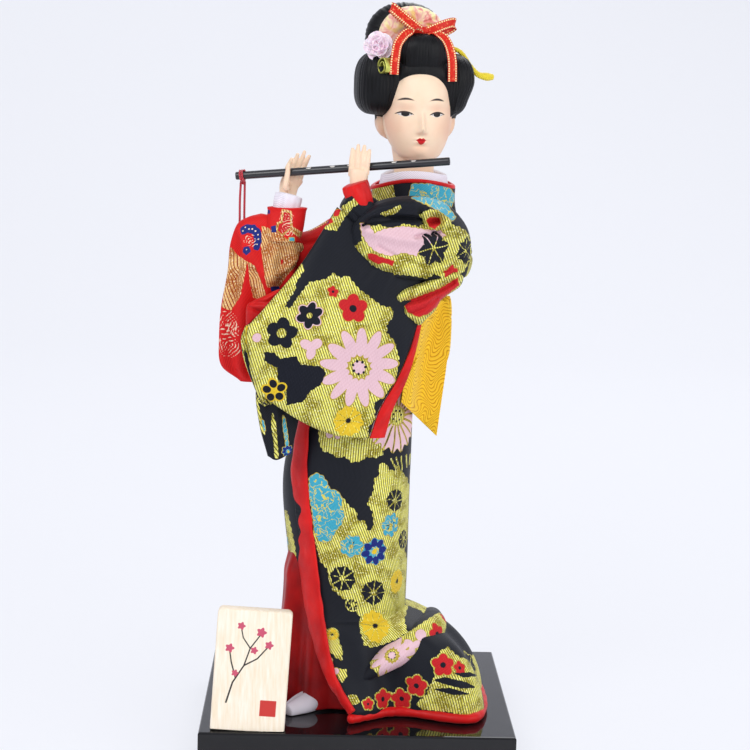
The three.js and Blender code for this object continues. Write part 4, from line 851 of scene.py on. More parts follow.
def place_on_cloth(grid, lean=radians(72)):
    """Cloth coordinates in metres: arc lengths along the rows, from the column nearest the camera, and
    down.

    They are turned so that lines that keep the first one constant are seen there at the angle `lean` in
    the picture.
    """
    over = np.linalg.norm(np.diff(grid, axis=1), axis=2)
    u = np.concatenate([np.zeros((len(grid), 1)), np.cumsum(over, axis=1)], axis=1)
    down = np.linalg.norm(np.diff(grid, axis=0), axis=2)
    v = np.concatenate([np.zeros((1, grid.shape[1])), np.cumsum(down, axis=0)])
    row = len(grid) // 2
    nearest = np.argmin(np.linalg.norm(grid[row] - np.array(CAMERA_PLACE), axis=1))
    column = int(np.clip(nearest, 1, grid.shape[1] - 2))
    spots = pixels(grid[row - 1:row + 2, column - 1:column + 2])
    across = (spots[1, 2] - spots[1, 0]) / (u[row, column + 1] - u[row, column - 1])
    under = (spots[2, 1] - spots[0, 1]) / (v[row + 1, column] - v[row - 1, column])
    step = np.linalg.solve(np.stack([across, under], axis=1), (cos(lean), sin(lean)))
    step /= np.linalg.norm(step)
    u = u - u[:, column:column + 1]
    return np.stack([u * step[1] - v * step[0], u * step[0] + v * step[1]], axis=-1).reshape(-1, 2)


# Brocade: satin ground, gold lamé laid in on the bias, and figures in floss silk whose thread runs side by
# side. Real threads are 0.2 mm apart. They are drawn at 0.5 mm for silk and 1 mm for gold, so that they
# show.
SILK_SPACING, GOLD_SPACING = 0.0005, 0.001
# A wave node whose scale is WAVE_TURN / spacing, or BIAS_TURN / spacing for diagonal bands, repeats at that
# spacing.
WAVE_TURN, BIAS_TURN = 0.314, 0.444
FIGURE_COLOURS = {
    "pink": ("#d8a8b0", "#f0d4da"), "red": ("#b0161c", "#d82c30"), "sky": ("#2a8ca8", "#50bcd2"),
    "blue": ("#141c58", "#24368c"), "dark": ("#11131b", "#1c1f2a"), "yellow": ("#d0a418", "#f2d63a"),
}


def brocade_finish(name, ground, gold, metal=0.2, floss=FIGURE_COLOURS):
    """A brocade. Its ground has a dark and a light colour, and its gold one between the foils, a bright
    and a dim, and a pale one for its painted glints.
    """
    material, tree, shader = finish(name, Roughness=0.5, Specular_IOR_Level=0.16, Sheen_Weight=0.03)
    place = add(tree, "TexCoord").outputs
    silk = add(tree, "TexWave", {"bands_direction": "X"}, Vector=place["UV"],
               Scale=WAVE_TURN / SILK_SPACING,
               Distortion=0.8, Detail=1.0)
    foil = add(tree, "TexWave", {"bands_direction": "X"}, Vector=place["UV"],
               Scale=WAVE_TURN / GOLD_SPACING, Distortion=0.7, Detail=1.0, Detail_Scale=0.4)
    strips = add(tree, "MapRange", i0=foil.outputs["Fac"], i1=0.1, i2=0.34)
    drift = add(tree, "TexNoise", Vector=place["UV"], Scale=0.14 / MM, Detail=3.0)
    dull = add(tree, "MapRange", i0=drift, i1=0.46, i2=0.6)
    # Painted glints: pale specks of the gold's fourth colour, sprinkled over the lamé as painted highlights.
    painted_glint_noise = add(tree, "TexNoise", Vector=place["UV"], Scale=1.4 / MM, Detail=2.0)
    painted_glint = add(tree, "MapRange", i0=painted_glint_noise, i1=0.52, i2=0.66)
    rough = add(tree, "TexNoise", Vector=place["UV"], Scale=0.24 / MM, Detail=3.0)
    base = add(tree, "ValToRGB", ramp=(ground[0], ground[1]), Fac=silk)
    latest = base
    masks = {}
    for layer in LAYERS:
        inside = add(tree, "Attribute", {"attribute_name": layer})
        uneven = add(tree, "Math", {"operation": "MULTIPLY_ADD"}, i0=rough, i1=0.3, i2=-0.15)
        edge = add(tree, "Math", {"operation": "ADD"}, i0=inside.outputs["Fac"], i1=uneven)
        mask = add(tree, "MapRange", i0=edge, i1=-0.06, i2=0.08)
        masks[layer] = mask
        if layer == "gold":
            bright = add(tree, "Mix", {"data_type": "RGBA"}, i0=dull, i6=colour(gold[1]),
                         i7=colour(gold[2]))
            gold_with_painted_glint = add(tree, "Mix", {"data_type": "RGBA"}, i0=painted_glint, i6=bright.outputs[2],
                        i7=colour(gold[3]))
            laid = add(tree, "Mix", {"data_type": "RGBA"}, i0=strips, i6=colour(gold[0]),
                       i7=gold_with_painted_glint.outputs[2])
            tone = laid.outputs[2]
        else:
            pair = add(tree, "ValToRGB", ramp=floss[layer], Fac=silk)
            tone = pair
        if layer == "sky":
            vein = add(tree, "TexNoise", Vector=place["UV"], Scale=0.33 / MM, Detail=2.0, Distortion=0.8)
            thin = add(tree, "Math", {"operation": "COMPARE"}, i0=vein, i1=0.5, i2=0.022)
            veined = add(tree, "Mix", {"data_type": "RGBA"}, i0=thin, i6=tone, i7=colour("#d8cc5c"))
            tone = veined.outputs[2]
        mixed = add(tree, "Mix", {"data_type": "RGBA"}, i0=mask, i6=latest, i7=tone)
        latest = mixed.outputs[2]
        if layer in ("pink", "red", "sky"):
            rim = add(tree, "Math", {"operation": "COMPARE"}, i0=edge, i1=0.02, i2=0.13)
            lined = add(tree, "Mix", {"data_type": "RGBA"}, i0=rim, i6=latest, i7=colour("#b8a040"))
            latest = lined.outputs[2]
    plug(shader, Base_Color=latest)
    shine = add(tree, "Math", {"operation": "MULTIPLY"}, i0=masks["gold"], i1=metal)
    plug(shader, Metallic=shine)
    fine = add(tree, "Bump", Height=silk, Strength=0.25, Distance=0.0001)
    thick = add(tree, "Math", {"operation": "MULTIPLY"}, i0=strips, i1=masks["gold"])
    bump = add(tree, "Bump", Height=thick, Strength=0.45, Distance=0.0003, Normal=fine)
    plug(shader, Normal=bump)
    return material


# The gold's fourth colour is the lamé's painted glint.
black_brocade = brocade_finish("black silk brocade", ("#0e1016", "#1d2028"),
                               ("#47400e", "#ece66c", "#aca02e", "#fbf8b4"))

TRAIN_TOP = 53.0
TRAIN_OUTLINE = [(52, -4), (43, 20), (16, 33), (-12, 29), (-29, 12), (-32, -8), (-20, -24), (-4, -38.6),
                 (17, -31), (46.5, -37)]
SKIRT_TOP = 160.0
# Where the cloth starts, at the front band, and where it ends, at the far side of the opening: height,
# degrees.
BAND_EDGE = [(17, -108), (31, -109), (45, -112), (60, -120), (76, -131.7), (93, -141.6), (112, -145.5),
             (134, -141), (160, -141)]
FAR_EDGE = [(17, 184), (40, 192), (60, 204), (70, 214), (80, 236), (160, 236)]
# The padded red band along the cloth's front edge: x, y, z and half width.
BAND = np.array([
    (-24, -14.8, 134, 3.2), (-25.6, -14.2, 112, 4.8), (-23.8, -15.6, 93, 5.7), (-21.4, -18.4, 76, 5.6),
    (-18.6, -23.4, 60, 5.3), (-15.2, -29.4, 45, 4.3), (-9.8, -35.2, 31, 3.0), (-2.4, -40, 20.5, 2.4),
])


def train_outline(angle):
    """The train's outline on the plinth, by angle: a closed Catmull-Rom curve that starts at its right
    corner.
    """
    corners = np.array(TRAIN_OUTLINE, dtype=float)
    t = (angle / (2 * pi)) % 1 * len(corners)
    k = np.floor(t).astype(int)
    f = (t - k)[..., None]
    a, b, c, d = (corners[(k + i) % len(corners)] for i in (-1, 0, 1, 2))
    return 0.5 * (2 * b + (c - a) * f + (2 * a - 5 * b + 4 * c - d) * f ** 2
                  + (3 * b - a - 3 * c + d) * f ** 3)


def skirt_surface(height, share):
    """Points of the skirt at heights and shares of the way round from the front band.

    Above the train it is the body's ellipse with shallow folds. Below, it swells towards the train's
    outline by sqrt(1 - rise^2), and folds of its own fan out over the swell.
    """
    start = np.radians(np.interp(height, *np.array(BAND_EDGE, dtype=float).T))
    end = np.radians(np.interp(height, *np.array(FAR_EDGE, dtype=float).T))
    angle = start + (end - start) * share
    x, y, w, d = body_at(height)
    fade = np.clip((112 - height) / 96.5, 0, 1)
    fold = 0.9 * fade * np.sin(5 * angle + 0.8)
    under = -1.2 * smooth(0.97, 1, share) * smooth(70, 84, height)
    column = np.stack([x + (w + fold + under) * np.cos(angle), y + (d + fold + under) * np.sin(angle)],
                      axis=-1)
    swell = np.clip(1 - np.clip((height - 15.5) / (TRAIN_TOP - 15.5), 0, 1) ** 2, 0, 1) ** 0.56
    flat = column + (train_outline(angle) - column) * swell[..., None]
    out = np.stack([np.cos(angle), np.sin(angle)], axis=-1)
    pleat = smooth(0.1, 0.75, swell) * (0.9 * np.sin(11 * angle + 0.6) + 0.6 * np.sin(17 * angle + 2.1))
    flat = flat + out * (pleat * smooth(0.02, 0.1, share) * (1 - smooth(0.92, 1, share)))[..., None]
    spot = np.stack([np.interp(height, BAND[::-1, 2], BAND[::-1, k]) for k in (0, 1)], axis=-1)
    home = flat[:, :1] - spot[:, :1]
    flat = flat - home * ((1 - smooth(0, 0.14, share)) * smooth(84, 66, height))[..., None]
    return np.concatenate([flat, height[..., None]], axis=-1) * MM


def normals(grid):
    """Unit normals of a grid: the cross product of its two directions of change."""
    down = np.gradient(grid, axis=0)
    over = np.gradient(grid, axis=1)
    n = np.cross(over, down)
    return n / np.maximum(np.linalg.norm(n, axis=2, keepdims=True), 1e-12)


def ring_normals(rings):
    """Unit normals of a grid whose rows are closed rings."""
    return normals(np.concatenate([rings[:, -1:], rings, rings[:, :1]], axis=1))[:, 1:-1]


def turned_to(n, direction):
    """Normals, turned round if they point against a direction on average."""
    return n if np.einsum("...k,...k->...", n, direction).mean() > 0 else -n


heights = np.concatenate([np.linspace(SKIRT_TOP, TRAIN_TOP + 0.6, 161),
                          15.5 + (TRAIN_TOP - 15.5) * np.cos(np.linspace(0.03, 1.498, 95))])
share, height = np.meshgrid(np.linspace(0, 1, 310), heights)
skirt = skirt_surface(height, share)
out = turned_to(normals(skirt), skirt - skirt.reshape(-1, 3).mean(axis=0) * (1, 1, 0))


# Enlarged views that figures are measured on: left, top and zoom.
LOW, WIDE, CLOSE = (270, 430, 4.9), (200, 180, 4.9), (215, 190, 5.915)


def crop(points, view):
    """Picture pixels of points measured on an enlarged view."""
    left, top, zoom = view
    return [(left + x / zoom, top + y / zoom) for x, y in points]


def figures_on(view, rows):
    """Figures (kind, x, y, radius, turn) whose middles are measured on an enlarged view."""
    return [(kind, *crop([(x, y)], view)[0], radius, turned) for kind, x, y, radius, turned in rows]


def patches_on(view, rows):
    """Patches (layer, scallop, corners) whose corners are measured on an enlarged view."""
    return [(layer, scallop, crop(corners, view)) for layer, scallop, corners in rows]


SKIRT_FIGURES = figures_on(LOW, [
    ("aster", 622, -69, 15.5, 0.1), ("wheel", 615, 345, 5.0, 0.2), ("teal", 590, 462, 5.2, 0.3),
    ("wheel", 655, 540, 4.4, 0.1), ("teal", 400, 572, 5.0, 0.1), ("blue", 515, 597, 6.0, 0.1),
    ("wheel", 355, 725, 5.4, 0.2), ("wheel", 512, 795, 5.4, 0.3), ("wheel", 405, 852, 2.6, 0.5),
    ("yellow", 622, 745, 5.2, 0.4), ("yellow", 517, 957, 6.2, 0.2), ("square", 225, 350, 1.3, 0.3),
    ("square", 236, 410, 1.3, 0.3), ("square", 262, 305, 1.0, 0.3), ("disc", 292, 18, 1.7, 0),
    ("disc", 330, 34, 1.2, 0), ("yellow", 305, 1005, 2.6, 0.3), ("disc", 322, 1180, 1.4, 0),
    ("disc", 292, 1130, 1.2, 0), ("red", 480, 1338, 2.6, 0.1), ("red", 548, 1315, 4.2, 0.1),
    ("red", 640, 1322, 4.4, 0.5), ("red", 716, 1255, 4.6, 0.2), ("red", 852, 1148, 4.8, 0.3),
    ("red", 930, 1168, 3.2, 0.1), ("teal", 75, 540, 2.4, 0.2),
])
SKIRT_PATCHES = patches_on(LOW, [
    ("gold", 0.6, [(240, -30), (245, 62), (262, 100), (300, 110), (335, 134), (365, 122), (400, 154),
                   (440, 150), (475, 128), (520, 132), (548, 118), (560, 60), (560, -30)]),
    ("gold", 0.6, [(300, 300), (350, 330), (385, 375), (420, 400), (425, 445), (465, 450), (475, 500),
                   (530, 480), (600, 520), (650, 560), (665, 620), (700, 700), (705, 800), (672, 860),
                   (655, 930), (668, 990), (630, 1015), (560, 1045), (500, 1062), (465, 1050), (448, 990),
                   (452, 920), (425, 890), (415, 840), (360, 822), (310, 780), (292, 720), (285, 680),
                   (248, 640), (232, 570), (215, 520), (230, 400)]),
    ("gold", 0.6, [(535, 172), (562, 165), (585, 200), (640, 205), (668, 235), (690, 330), (705, 420),
                   (705, 520), (640, 540), (560, 520), (508, 480), (512, 450), (505, 395), (482, 362),
                   (492, 335), (512, 300), (515, 240), (540, 225)]),
    ("sky", 0.4, [(192, 235), (225, 212), (256, 226), (276, 252), (292, 290), (330, 300), (352, 335),
                  (350, 372), (364, 420), (350, 462), (330, 482), (312, 512), (296, 542), (264, 552),
                  (238, 540), (220, 500), (208, 400), (194, 320)]),
    ("gold", 0.5, [(255, 965), (300, 985), (330, 1020), (352, 1080), (350, 1125), (322, 1112), (300, 1085),
                   (262, 1040)]),
    ("gold", 0.3, [(325, 1170), (372, 1175), (376, 1205), (352, 1238), (330, 1205)]),
    ("gold", 0.3, [(385, 1300), (420, 1298), (440, 1328), (424, 1345), (388, 1340)]),
    ("gold", 0.6, [(818, 1120), (840, 1085), (872, 1068), (905, 1100), (930, 1120), (1000, 1130),
                   (1060, 1180), (1060, 1420), (880, 1378), (740, 1364), (722, 1340), (770, 1300),
                   (790, 1250), (818, 1190)]),
    ("dark", 0.2, [(800, 1225), (860, 1212), (960, 1236), (1010, 1262), (940, 1266), (860, 1246)]),
    ("dark", 0.2, [(800, 1270), (880, 1264), (980, 1294), (900, 1298)]),
    ("dark", 0.2, [(900, 1192), (980, 1188), (1020, 1204), (950, 1212)]),
    ("gold", 0.5, [(60, 395), (82, 400), (100, 480), (118, 560), (128, 650), (120, 690), (92, 600),
                   (70, 500)]),
    *(("gold", 0.0, [(x, y), (x + 8, y - 4), (x + dx + 5, y + dy), (x + dx, y + dy + 6)])
      for x, y, dx, dy in (
        (588, 140, 26, 50), (612, 132, 22, 60), (638, 128, 8, 66), (664, 120, 4, 62), (684, 116, -4, 52),
        (600, 168, 40, 34))),
])
SKIRT_SCATTER = [
    ("cloud", (30, 20, 140), 13, 0.2), ("chrysanthemum", (26, 14, 108), 12, 0.2),
    ("leaf", (22, 24, 124), 6, 0.4), ("cloud", (26, 20, 84), 13, 0.5), ("red", (24, 22, 92), 5, 0.1),
    ("night", (30, 8, 82), 5, 0.1), ("blue", (20, 30, 76), 5, 0.3), ("cloud", (46, 20, 36), 13, 0.1),
    ("chrysanthemum", (38, 26, 38), 10, 0.4), ("red", (52, 6, 26), 5, 0.2),
    ("leaf", (50, -14, 34), 6, 0.3), ("yellow", (44, 6, 44), 5, 0.1), ("red", (30, 32, 26), 5, 0.2),
    ("cloud", (0, 34, 110), 14, 0.1), ("chrysanthemum", (-6, 26, 128), 10, 0.4),
    ("leaf", (6, 26, 100), 6, 0.1), ("blue", (-14, 24, 108), 5, 0.1), ("cloud", (-2, 32, 62), 14, 0.3),
    ("night", (-10, 30, 72), 5.5, 0.1), ("yellow", (8, 30, 56), 5.5, 0.1), ("red", (0, 34, 44), 5.5, 0.2),
    ("chrysanthemum", (-2, 38, 30), 9, 0.2), ("sky", (12, 34, 38), 4, 0.2),
    ("cloud", (-34, 10, 120), 12, 0.4), ("outlined", (-32, 6, 104), 5.5, 0.2),
    ("leaf", (-28, 16, 126), 6, 0.5), ("cloud", (-32, 12, 70), 13, 0.2), ("red", (-30, 4, 80), 5, 0.2),
    ("blue", (-26, 18, 60), 5, 0.4), ("yellow", (-34, 4, 52), 5, 0.1),
    ("chrysanthemum", (-34, 16, 34), 9, 0.3), ("cloud", (-24, 28, 30), 11, 0.3),
    ("night", (-38, -2, 34), 5, 0.2), ("leaf", (18, 28, 30), 5, 0.3), ("cloud", (20, 24, 152), 13, 0.9),
    ("cloud", (8, 28, 90), 15, 1.1), ("cloud", (34, 4, 60), 12, 0.2), ("cloud", (24, 28, 46), 14, 0.8),
    ("cloud", (-20, 24, 92), 13, 1.4), ("cloud", (-28, 14, 148), 12, 0.7),
    ("cloud", (12, 38, 28), 12, 0.1), ("cloud", (52, -8, 26), 10, 0.6), ("cloud", (-32, 22, 48), 11, 0.3),
    ("yellow", (12, 26, 142), 5, 0.1), ("red", (-14, 28, 84), 4.6, 0.4),
    ("blue", (34, 10, 112), 4.6, 0.2), ("night", (14, 30, 88), 4.8, 0.2),
    ("petal", (-24, 20, 140), 4, 0.2),
]
SKIRT_THICKNESS = 1.2


def bodies_of(*shells):
    """Several closed bodies as one mesh: points, faces, face parts, pattern layers and cloth places, end
    to end.
    """
    layers = {key: np.concatenate([shell[3][key] for shell in shells]) for key in LAYERS}
    parts, uv = (np.concatenate([shell[k] for shell in shells]) for k in (2, 4))
    return *together(*shells), parts, layers, uv


def with_poles(values):
    """Values of a closed tube's points from those of its rings: each pole has the nearest ring point's."""
    return np.concatenate([values[:1], values, values[-1:]])


def woven(name, node, made, materials):
    """A piece of figured cloth on the doll, from its points, faces, face parts, pattern layers and cloth
    places.
    """
    points, faces, parts, layers, uv = made
    return piece(name, points, faces, "doll", materials, [node], attributes=layers, parts=parts,
                 uv=uv)


def figured_sheet(front, back, out, figures=(), patches=(), scatter=()):
    """One closed sheet with its pattern on the front: points, faces, parts, layers and cloth places."""
    points, faces, parts = shell(front, back)
    layers = both_sides(figured(front, out, figures, patches, scatter), len(points))
    return points, faces, parts, layers, np.concatenate([place_on_cloth(front), place_on_cloth(back)])


def figured_roll(grid, figures=(), patches=(), scatter=()):
    """One closed roll of cloth from its rings, with its pattern all over."""
    points, faces = closed_tube(grid)
    n = turned_to(ring_normals(grid), grid - grid.mean(axis=1, keepdims=True))
    layers = figured(grid, n, figures, patches, scatter)
    layers = {key: with_poles(values) for key, values in layers.items()}
    uv = place_on_cloth(grid)
    return points, faces, np.zeros(len(faces)), layers, with_poles(uv)


ROLL = [(1, -31, 31, 2.5, 2), (12, -29, 39, 6, 4.8), (22, -24, 44.5, 6, 6), (30, -14, 47.5, 6, 6),
        (31, 2, 46.5, 4.8, 4.8)]
roll = sweep(ROLL, (0, 1, 0), rows=110, columns=72, cap=0.9)
roll_figures = [
    ("chrysanthemum", 392, 656, 9.5, 0.3), ("red", 437, 634, 4.6, 0.3), ("disc", 422, 635, 2.6, 0),
    ("red", 444, 617, 2.8, 0.3), ("spray", 412, 646, 4.0, 0.2),
]
roll_patches = patches_on(LOW, [("gold", 0.4, [
    (470, 1090), (500, 1060), (560, 1040), (650, 1005), (700, 980), (780, 925), (850, 885), (880, 905),
    (872, 960), (848, 1020), (805, 1060), (768, 1085), (762, 1130), (735, 1155), (712, 1112), (688, 1105),
    (660, 1155), (612, 1182), (570, 1172), (525, 1150), (480, 1125)])])
lining = (skirt - out * SKIRT_THICKNESS * MM)[::3, ::3]
main = figured_sheet(skirt, lining, out, SKIRT_FIGURES, SKIRT_PATCHES, SKIRT_SCATTER)
made = bodies_of(main, figured_roll(roll, roll_figures, roll_patches))
drape = woven("brocade_skirt", "outer_skirt", made, [black_brocade, satin])

# Front band: the skirt's front edge, bound with padded red satin, from the sash to the corner of the train.

stations = [(x, y, z, w, 1.25) for x, y, z, w in BAND]
grid = sweep(stations, leftward, rows=220, columns=44, cap=0.4, power=2.3)
t = np.linspace(0, 1, len(grid))[:, None]
over = circle(grid.shape[1])[None]
pucker = 0.22 * np.sin(46 * t + 2 * np.cos(over)) * np.sin(19 * t + 1) + 0.12 * np.sin(90 * t)
centre = grid.mean(axis=1, keepdims=True)
away = grid - centre
grid = grid + away / np.maximum(np.linalg.norm(away, axis=2, keepdims=True), 1e-9) * (pucker * MM)[...,
    None]
points, faces = closed_tube(grid)
band = piece("padded_front_band", points, faces, "doll", [satin], ["front_band"])

# Train hem: red satin padded with cotton cord, sewn round the train's edge, where it holds the cloth in its
# curve.

HEM_RADIUS = 1.9
hem_z = FLOOR + HEM_RADIUS
hem_route = [(-2.2, -40), (17, -31), (46.5, -37), (52, -4), (43, 20), (16, 33), (-12, 29), (-29, 12),
             (-32, -8)]
hem_stations = [(x, y, hem_z, HEM_RADIUS * 1.02, HEM_RADIUS) for x, y in hem_route]
grid = sweep(hem_stations, (0, 0, 1), rows=460, columns=26, cap=1.0)
t = np.linspace(0, 1, len(grid))[:, None, None]
centre = grid.mean(axis=1, keepdims=True)
grid = centre + (grid - centre) * (1 + 0.05 * np.sin(260 * t) * np.sin(41 * t) + 0.04 * np.sin(97 * t + 1))
grid[..., 2] = np.maximum(grid[..., 2], (FLOOR - 0.1) * MM)
points, faces = closed_tube(grid)
hem = piece("padded_train_hem", points, faces, "doll", [satin], ["train_hem"])


# Bodice: the black kimono's upper part, closed round the chest and tucked under the sash.
# Its brocade is the skirt's. The neckline is turned over and edged with a narrow red collar.

NECK = np.array((17.4, -1.0))
COLLAR_HEIGHT, COLLAR_HALF_WIDTH, COLLAR_SLOPE, CHIN = 228.0, 16.0, 2.6, 238.0
COLLAR_ARCH = 4.0


def body_rings(heights, inset, count, slope=0.0, crease=0.0):
    """Rings of the clothed body at an inset. A collar's top tilts forward by `slope` and arches over the
    shoulders.
    """
    angle, z = np.meshgrid(circle(count), np.asarray(heights, dtype=float))
    x, y, w, d = body_at(np.minimum(z, COLLAR_HEIGHT))
    inset = inset - crease * np.sin(7 * angle + 0.13 * z) * np.sin(0.21 * z + 2 * angle)
    px, py = x + (w - inset) * np.cos(angle), y + (d - inset) * np.sin(angle)
    ahead = ((px - NECK[0]) * facing[0] + (py - NECK[1]) * facing[1]) / COLLAR_HALF_WIDTH
    beside = (px - NECK[0] + 2) / COLLAR_HALF_WIDTH
    lift = smooth(206, 228, z) if slope else 0 * z
    drop = slope * ahead + COLLAR_ARCH * beside ** 2 * np.where(beside < 0, 1.3, 0.8)
    px = px - 2.4 * lift * np.clip(-beside, 0, 1) ** 2
    return np.stack([px, py, z - drop * lift], axis=-1)


def wrapped(outer, inner, figures=(), patches=(), scatter=()):
    """A closed band of figured cloth between outer and inner rings."""
    points, faces, parts = ring_shell(outer, inner)
    n = turned_to(ring_normals(outer), outer - outer.mean(axis=1, keepdims=True))
    layers = figured(outer, n, figures, patches, scatter)
    uv = place_on_cloth(outer)
    hidden = len(points) - len(uv)
    return points, faces, parts, both_sides(layers,
                                            len(points)), np.concatenate([uv, np.zeros((hidden, 2))])


heights = np.linspace(160.3, 230.4, 150)
outer = body_rings(heights, 0.05, 280, COLLAR_SLOPE / 2, crease=0.35) * MM
inner = body_rings(heights[::10], 1.15, 280, COLLAR_SLOPE / 2) * MM
bodice_figures = [
    ("leaf", 435, 248.6, 6.6, 0.2), ("leaf", 466, 250, 5.4, 0.3), ("red", 380, 259, 5.4, 0.2),
    ("petal", 366, 229, 3.6, 0.6), ("red", 432, 223, 2.8, 0.1), ("leaf", 390, 210, 3.4, 0.5),
    ("outlined", 452, 236, 3.2, 0.2),
]
bodice_patches = [
    ("gold", 0.4, [(368, 181), (392, 181), (396, 206), (380, 214), (364, 206)]),
    ("sky", 0.3, [(412, 184), (446, 184), (456, 196), (448, 214), (420, 214), (408, 200)]),
    ("gold", 0.4, [(421, 212), (451, 211), (460, 236), (444, 268), (396, 276), (366, 262), (372, 240),
                   (410, 232)]),
    ("pink", 0.3, [(367, 228), (400, 220), (440, 226), (445, 250), (410, 258), (374, 252)]),
]
bodice_scatter = [
    ("cloud", (30, 14, 200), 12, 0.2), ("chrysanthemum", (28, 12, 186), 9, 0.2),
    ("cloud", (0, 18, 205), 12, 0.3), ("chrysanthemum", (6, 14, 214), 9, 0.1),
    ("red", (16, 14, 206), 5, 0.3), ("leaf", (-4, 14, 188), 6, 0.3), ("blue", (20, 15, 192), 5, 0.2),
    ("yellow", (-8, 6, 182), 5, 0.2), ("sky", (32, 4, 216), 6, 0.1),
    ("outlined", (-8, -4, 196), 4.6, 0.1), ("cloud", (-6, -6, 182), 9, 0.1),
    ("red", (34, -2, 190), 4, 0.3),
]
made = wrapped(outer, inner, bodice_figures, bodice_patches, bodice_scatter)
bodice = woven("brocade_bodice", "kimono_bodice", made, [black_brocade, satin])

# Collars: a folded band of white cotton stands round the neck inside a narrow one of red satin.
# Both are stitched to the robes under them, high at the nape and low in front.

heights = np.linspace(214.3, CHIN - 3.6, 60)
narrow = np.interp(heights, [214, 226, CHIN - 3.6], [0, 0, 1.4])[:, None]
rings = [body_rings(heights[::step], inset + narrow[::step], 200, 1.2) * MM
         for inset, step in ((1.9, 1), (3.2, 4))]
points, faces, parts = ring_shell(rings[0], rings[1])
white = piece("white_under_collar", points, faces, "doll", [cotton], ["white_collar"])

heights = np.linspace(230.2, 231.6, 12)
swell = 0.25 * np.sin(np.linspace(0, pi, 12))[:, None]
rings = [body_rings(heights, inset, 200, COLLAR_SLOPE / 2) * MM for inset in (0.0 - swell, 1.25 + swell)]
points, faces, parts = ring_shell(rings[0], rings[1])
red_edge = piece("red_satin_collar", points, faces, "doll", [satin], ["red_collar"])

# Sash: a stiff yellow obi with a woven wave of orange lines, wound round the waist and tied behind in a
# flat bow. Two tails hang from it, cut on a slant. The bow is stuffed and stitched to the band.

# Arches 7 mm wide ripple the 1.5 mm lines, and the floss in both lies 0.6 mm a thread.
ARCH_SPACING, LINE_SPACING, FLOSS_SPACING = 0.007, 0.0015, 0.0006
obi_cloth, tree, shader = finish("yellow figured obi silk", Roughness=0.5, Specular_IOR_Level=0.25,
                                 Sheen_Weight=0.08)
place = add(tree, "TexCoord").outputs
arches = add(tree, "TexWave", {"bands_direction": "X"}, Vector=place["UV"], Scale=WAVE_TURN / ARCH_SPACING,
             Distortion=4.5, Detail=1.0, Detail_Scale=2.0)
lifted = add(tree, "VectorMath", {"operation": "MULTIPLY_ADD"}, i0=arches, i1=(0.0, 0.0048, 0.0),
             i2=place["UV"])
waves = add(tree, "TexWave", {"bands_direction": "Y"}, Vector=lifted, Scale=WAVE_TURN / LINE_SPACING,
            Distortion=1.2, Detail=1.0, Detail_Scale=0.6)
threads = add(tree, "TexWave", {"bands_direction": "Y"}, Vector=place["UV"], Scale=WAVE_TURN / FLOSS_SPACING)
yellow = add(tree, "ValToRGB", ramp=("#b87c0c", "#fbc208", "#ffd22c"), places=(0.0, 0.12, 0.85), Fac=waves)
rib = add(tree, "Mix", {"data_type": "RGBA", "blend_type": "MULTIPLY"}, i0=0.06, i6=yellow,
          i7=threads)
fine = add(tree, "Bump", Height=threads, Strength=0.35, Distance=0.0001)
bump = add(tree, "Bump", Height=waves, Strength=0.3, Distance=0.0003, Normal=fine)
plug(shader, Base_Color=rib.outputs[2], Normal=bump)

OBI_BOTTOM, OBI_TOP, OBI_THICKNESS = 147.85, 174.85, 1.8
heights = np.linspace(OBI_BOTTOM, OBI_TOP, 60)
bulge = 0.3 * np.sin(np.linspace(0, 6 * pi, 60))[:, None] * smooth(OBI_BOTTOM, OBI_BOTTOM + 3, heights)[:,
    None]
outer = body_rings(heights, -2.4 - bulge, 240) * MM
inner = body_rings(heights[::6], -0.6, 240) * MM
points, faces, parts = ring_shell(outer, inner)
uv = np.concatenate([place_on_cloth(outer, pi / 2),
                     np.zeros((len(points) - outer.shape[0] * outer.shape[1], 2))])
sash = piece("obi_wrap", points, faces, "doll", [obi_cloth], ["obi_band"], uv=uv)

x, y, w, d = body_at(OBI_TOP)
bow_middle = np.array((x, y, 0.0))
reach_back = float(np.hypot(facing[0] * w, facing[1] * d))
tail_distance = reach_back + 0.6 + OBI_THICKNESS + 0.3


def behind(side, distance, z):
    """Points behind the sash: to the doll's left, back from its middle, and at a height."""
    return bow_middle + side[..., None] * leftward - distance[..., None] * facing + z[...,
        None] * np.array((0, 0, 1))


def seen_at(x, y, depth):
    """Points in millimetres that picture pixels (x, y) show where Y is `depth`: the inverse of `pixels`."""
    across, up = (x - PICTURE_SIDE / 2) / FOCAL_PIXELS, (PICTURE_SIDE / 2 - y) / FOCAL_PIXELS
    ray = np.array(ahead) + across[..., None] * np.array(camera_right) + up[..., None] * np.array(camera_up)
    start = np.array(CAMERA_PLACE) / MM
    return start + ray * ((depth - start[1]) / ray[..., 1])[..., None]


# The left tail's two edges, from the top down, in picture pixels.
TAIL_LEFT_EDGE = [(418, 298), (412, 335), (406, 370), (401, 402)]
TAIL_RIGHT_EDGE = [(448, 301), (450.5, 330), (446.5, 366), (441.5, 401), (436.5, 436)]


def slab_of(corners_top, corners_bottom, top, bottom, count):
    """Sides and heights of a slanted strip: left and right edges joined by straight lines, with `count`
    points.
    """
    s, t = np.meshgrid(np.linspace(0, 1, count[0]), np.linspace(0, 1, count[1]))
    left = corners_top[0] + (corners_bottom[0] - corners_top[0]) * t
    right = corners_top[1] + (corners_bottom[1] - corners_top[1]) * t
    low = bottom[0] + (bottom[1] - bottom[0]) * s
    return left + (right - left) * s, top + (low - top) * t, s, t


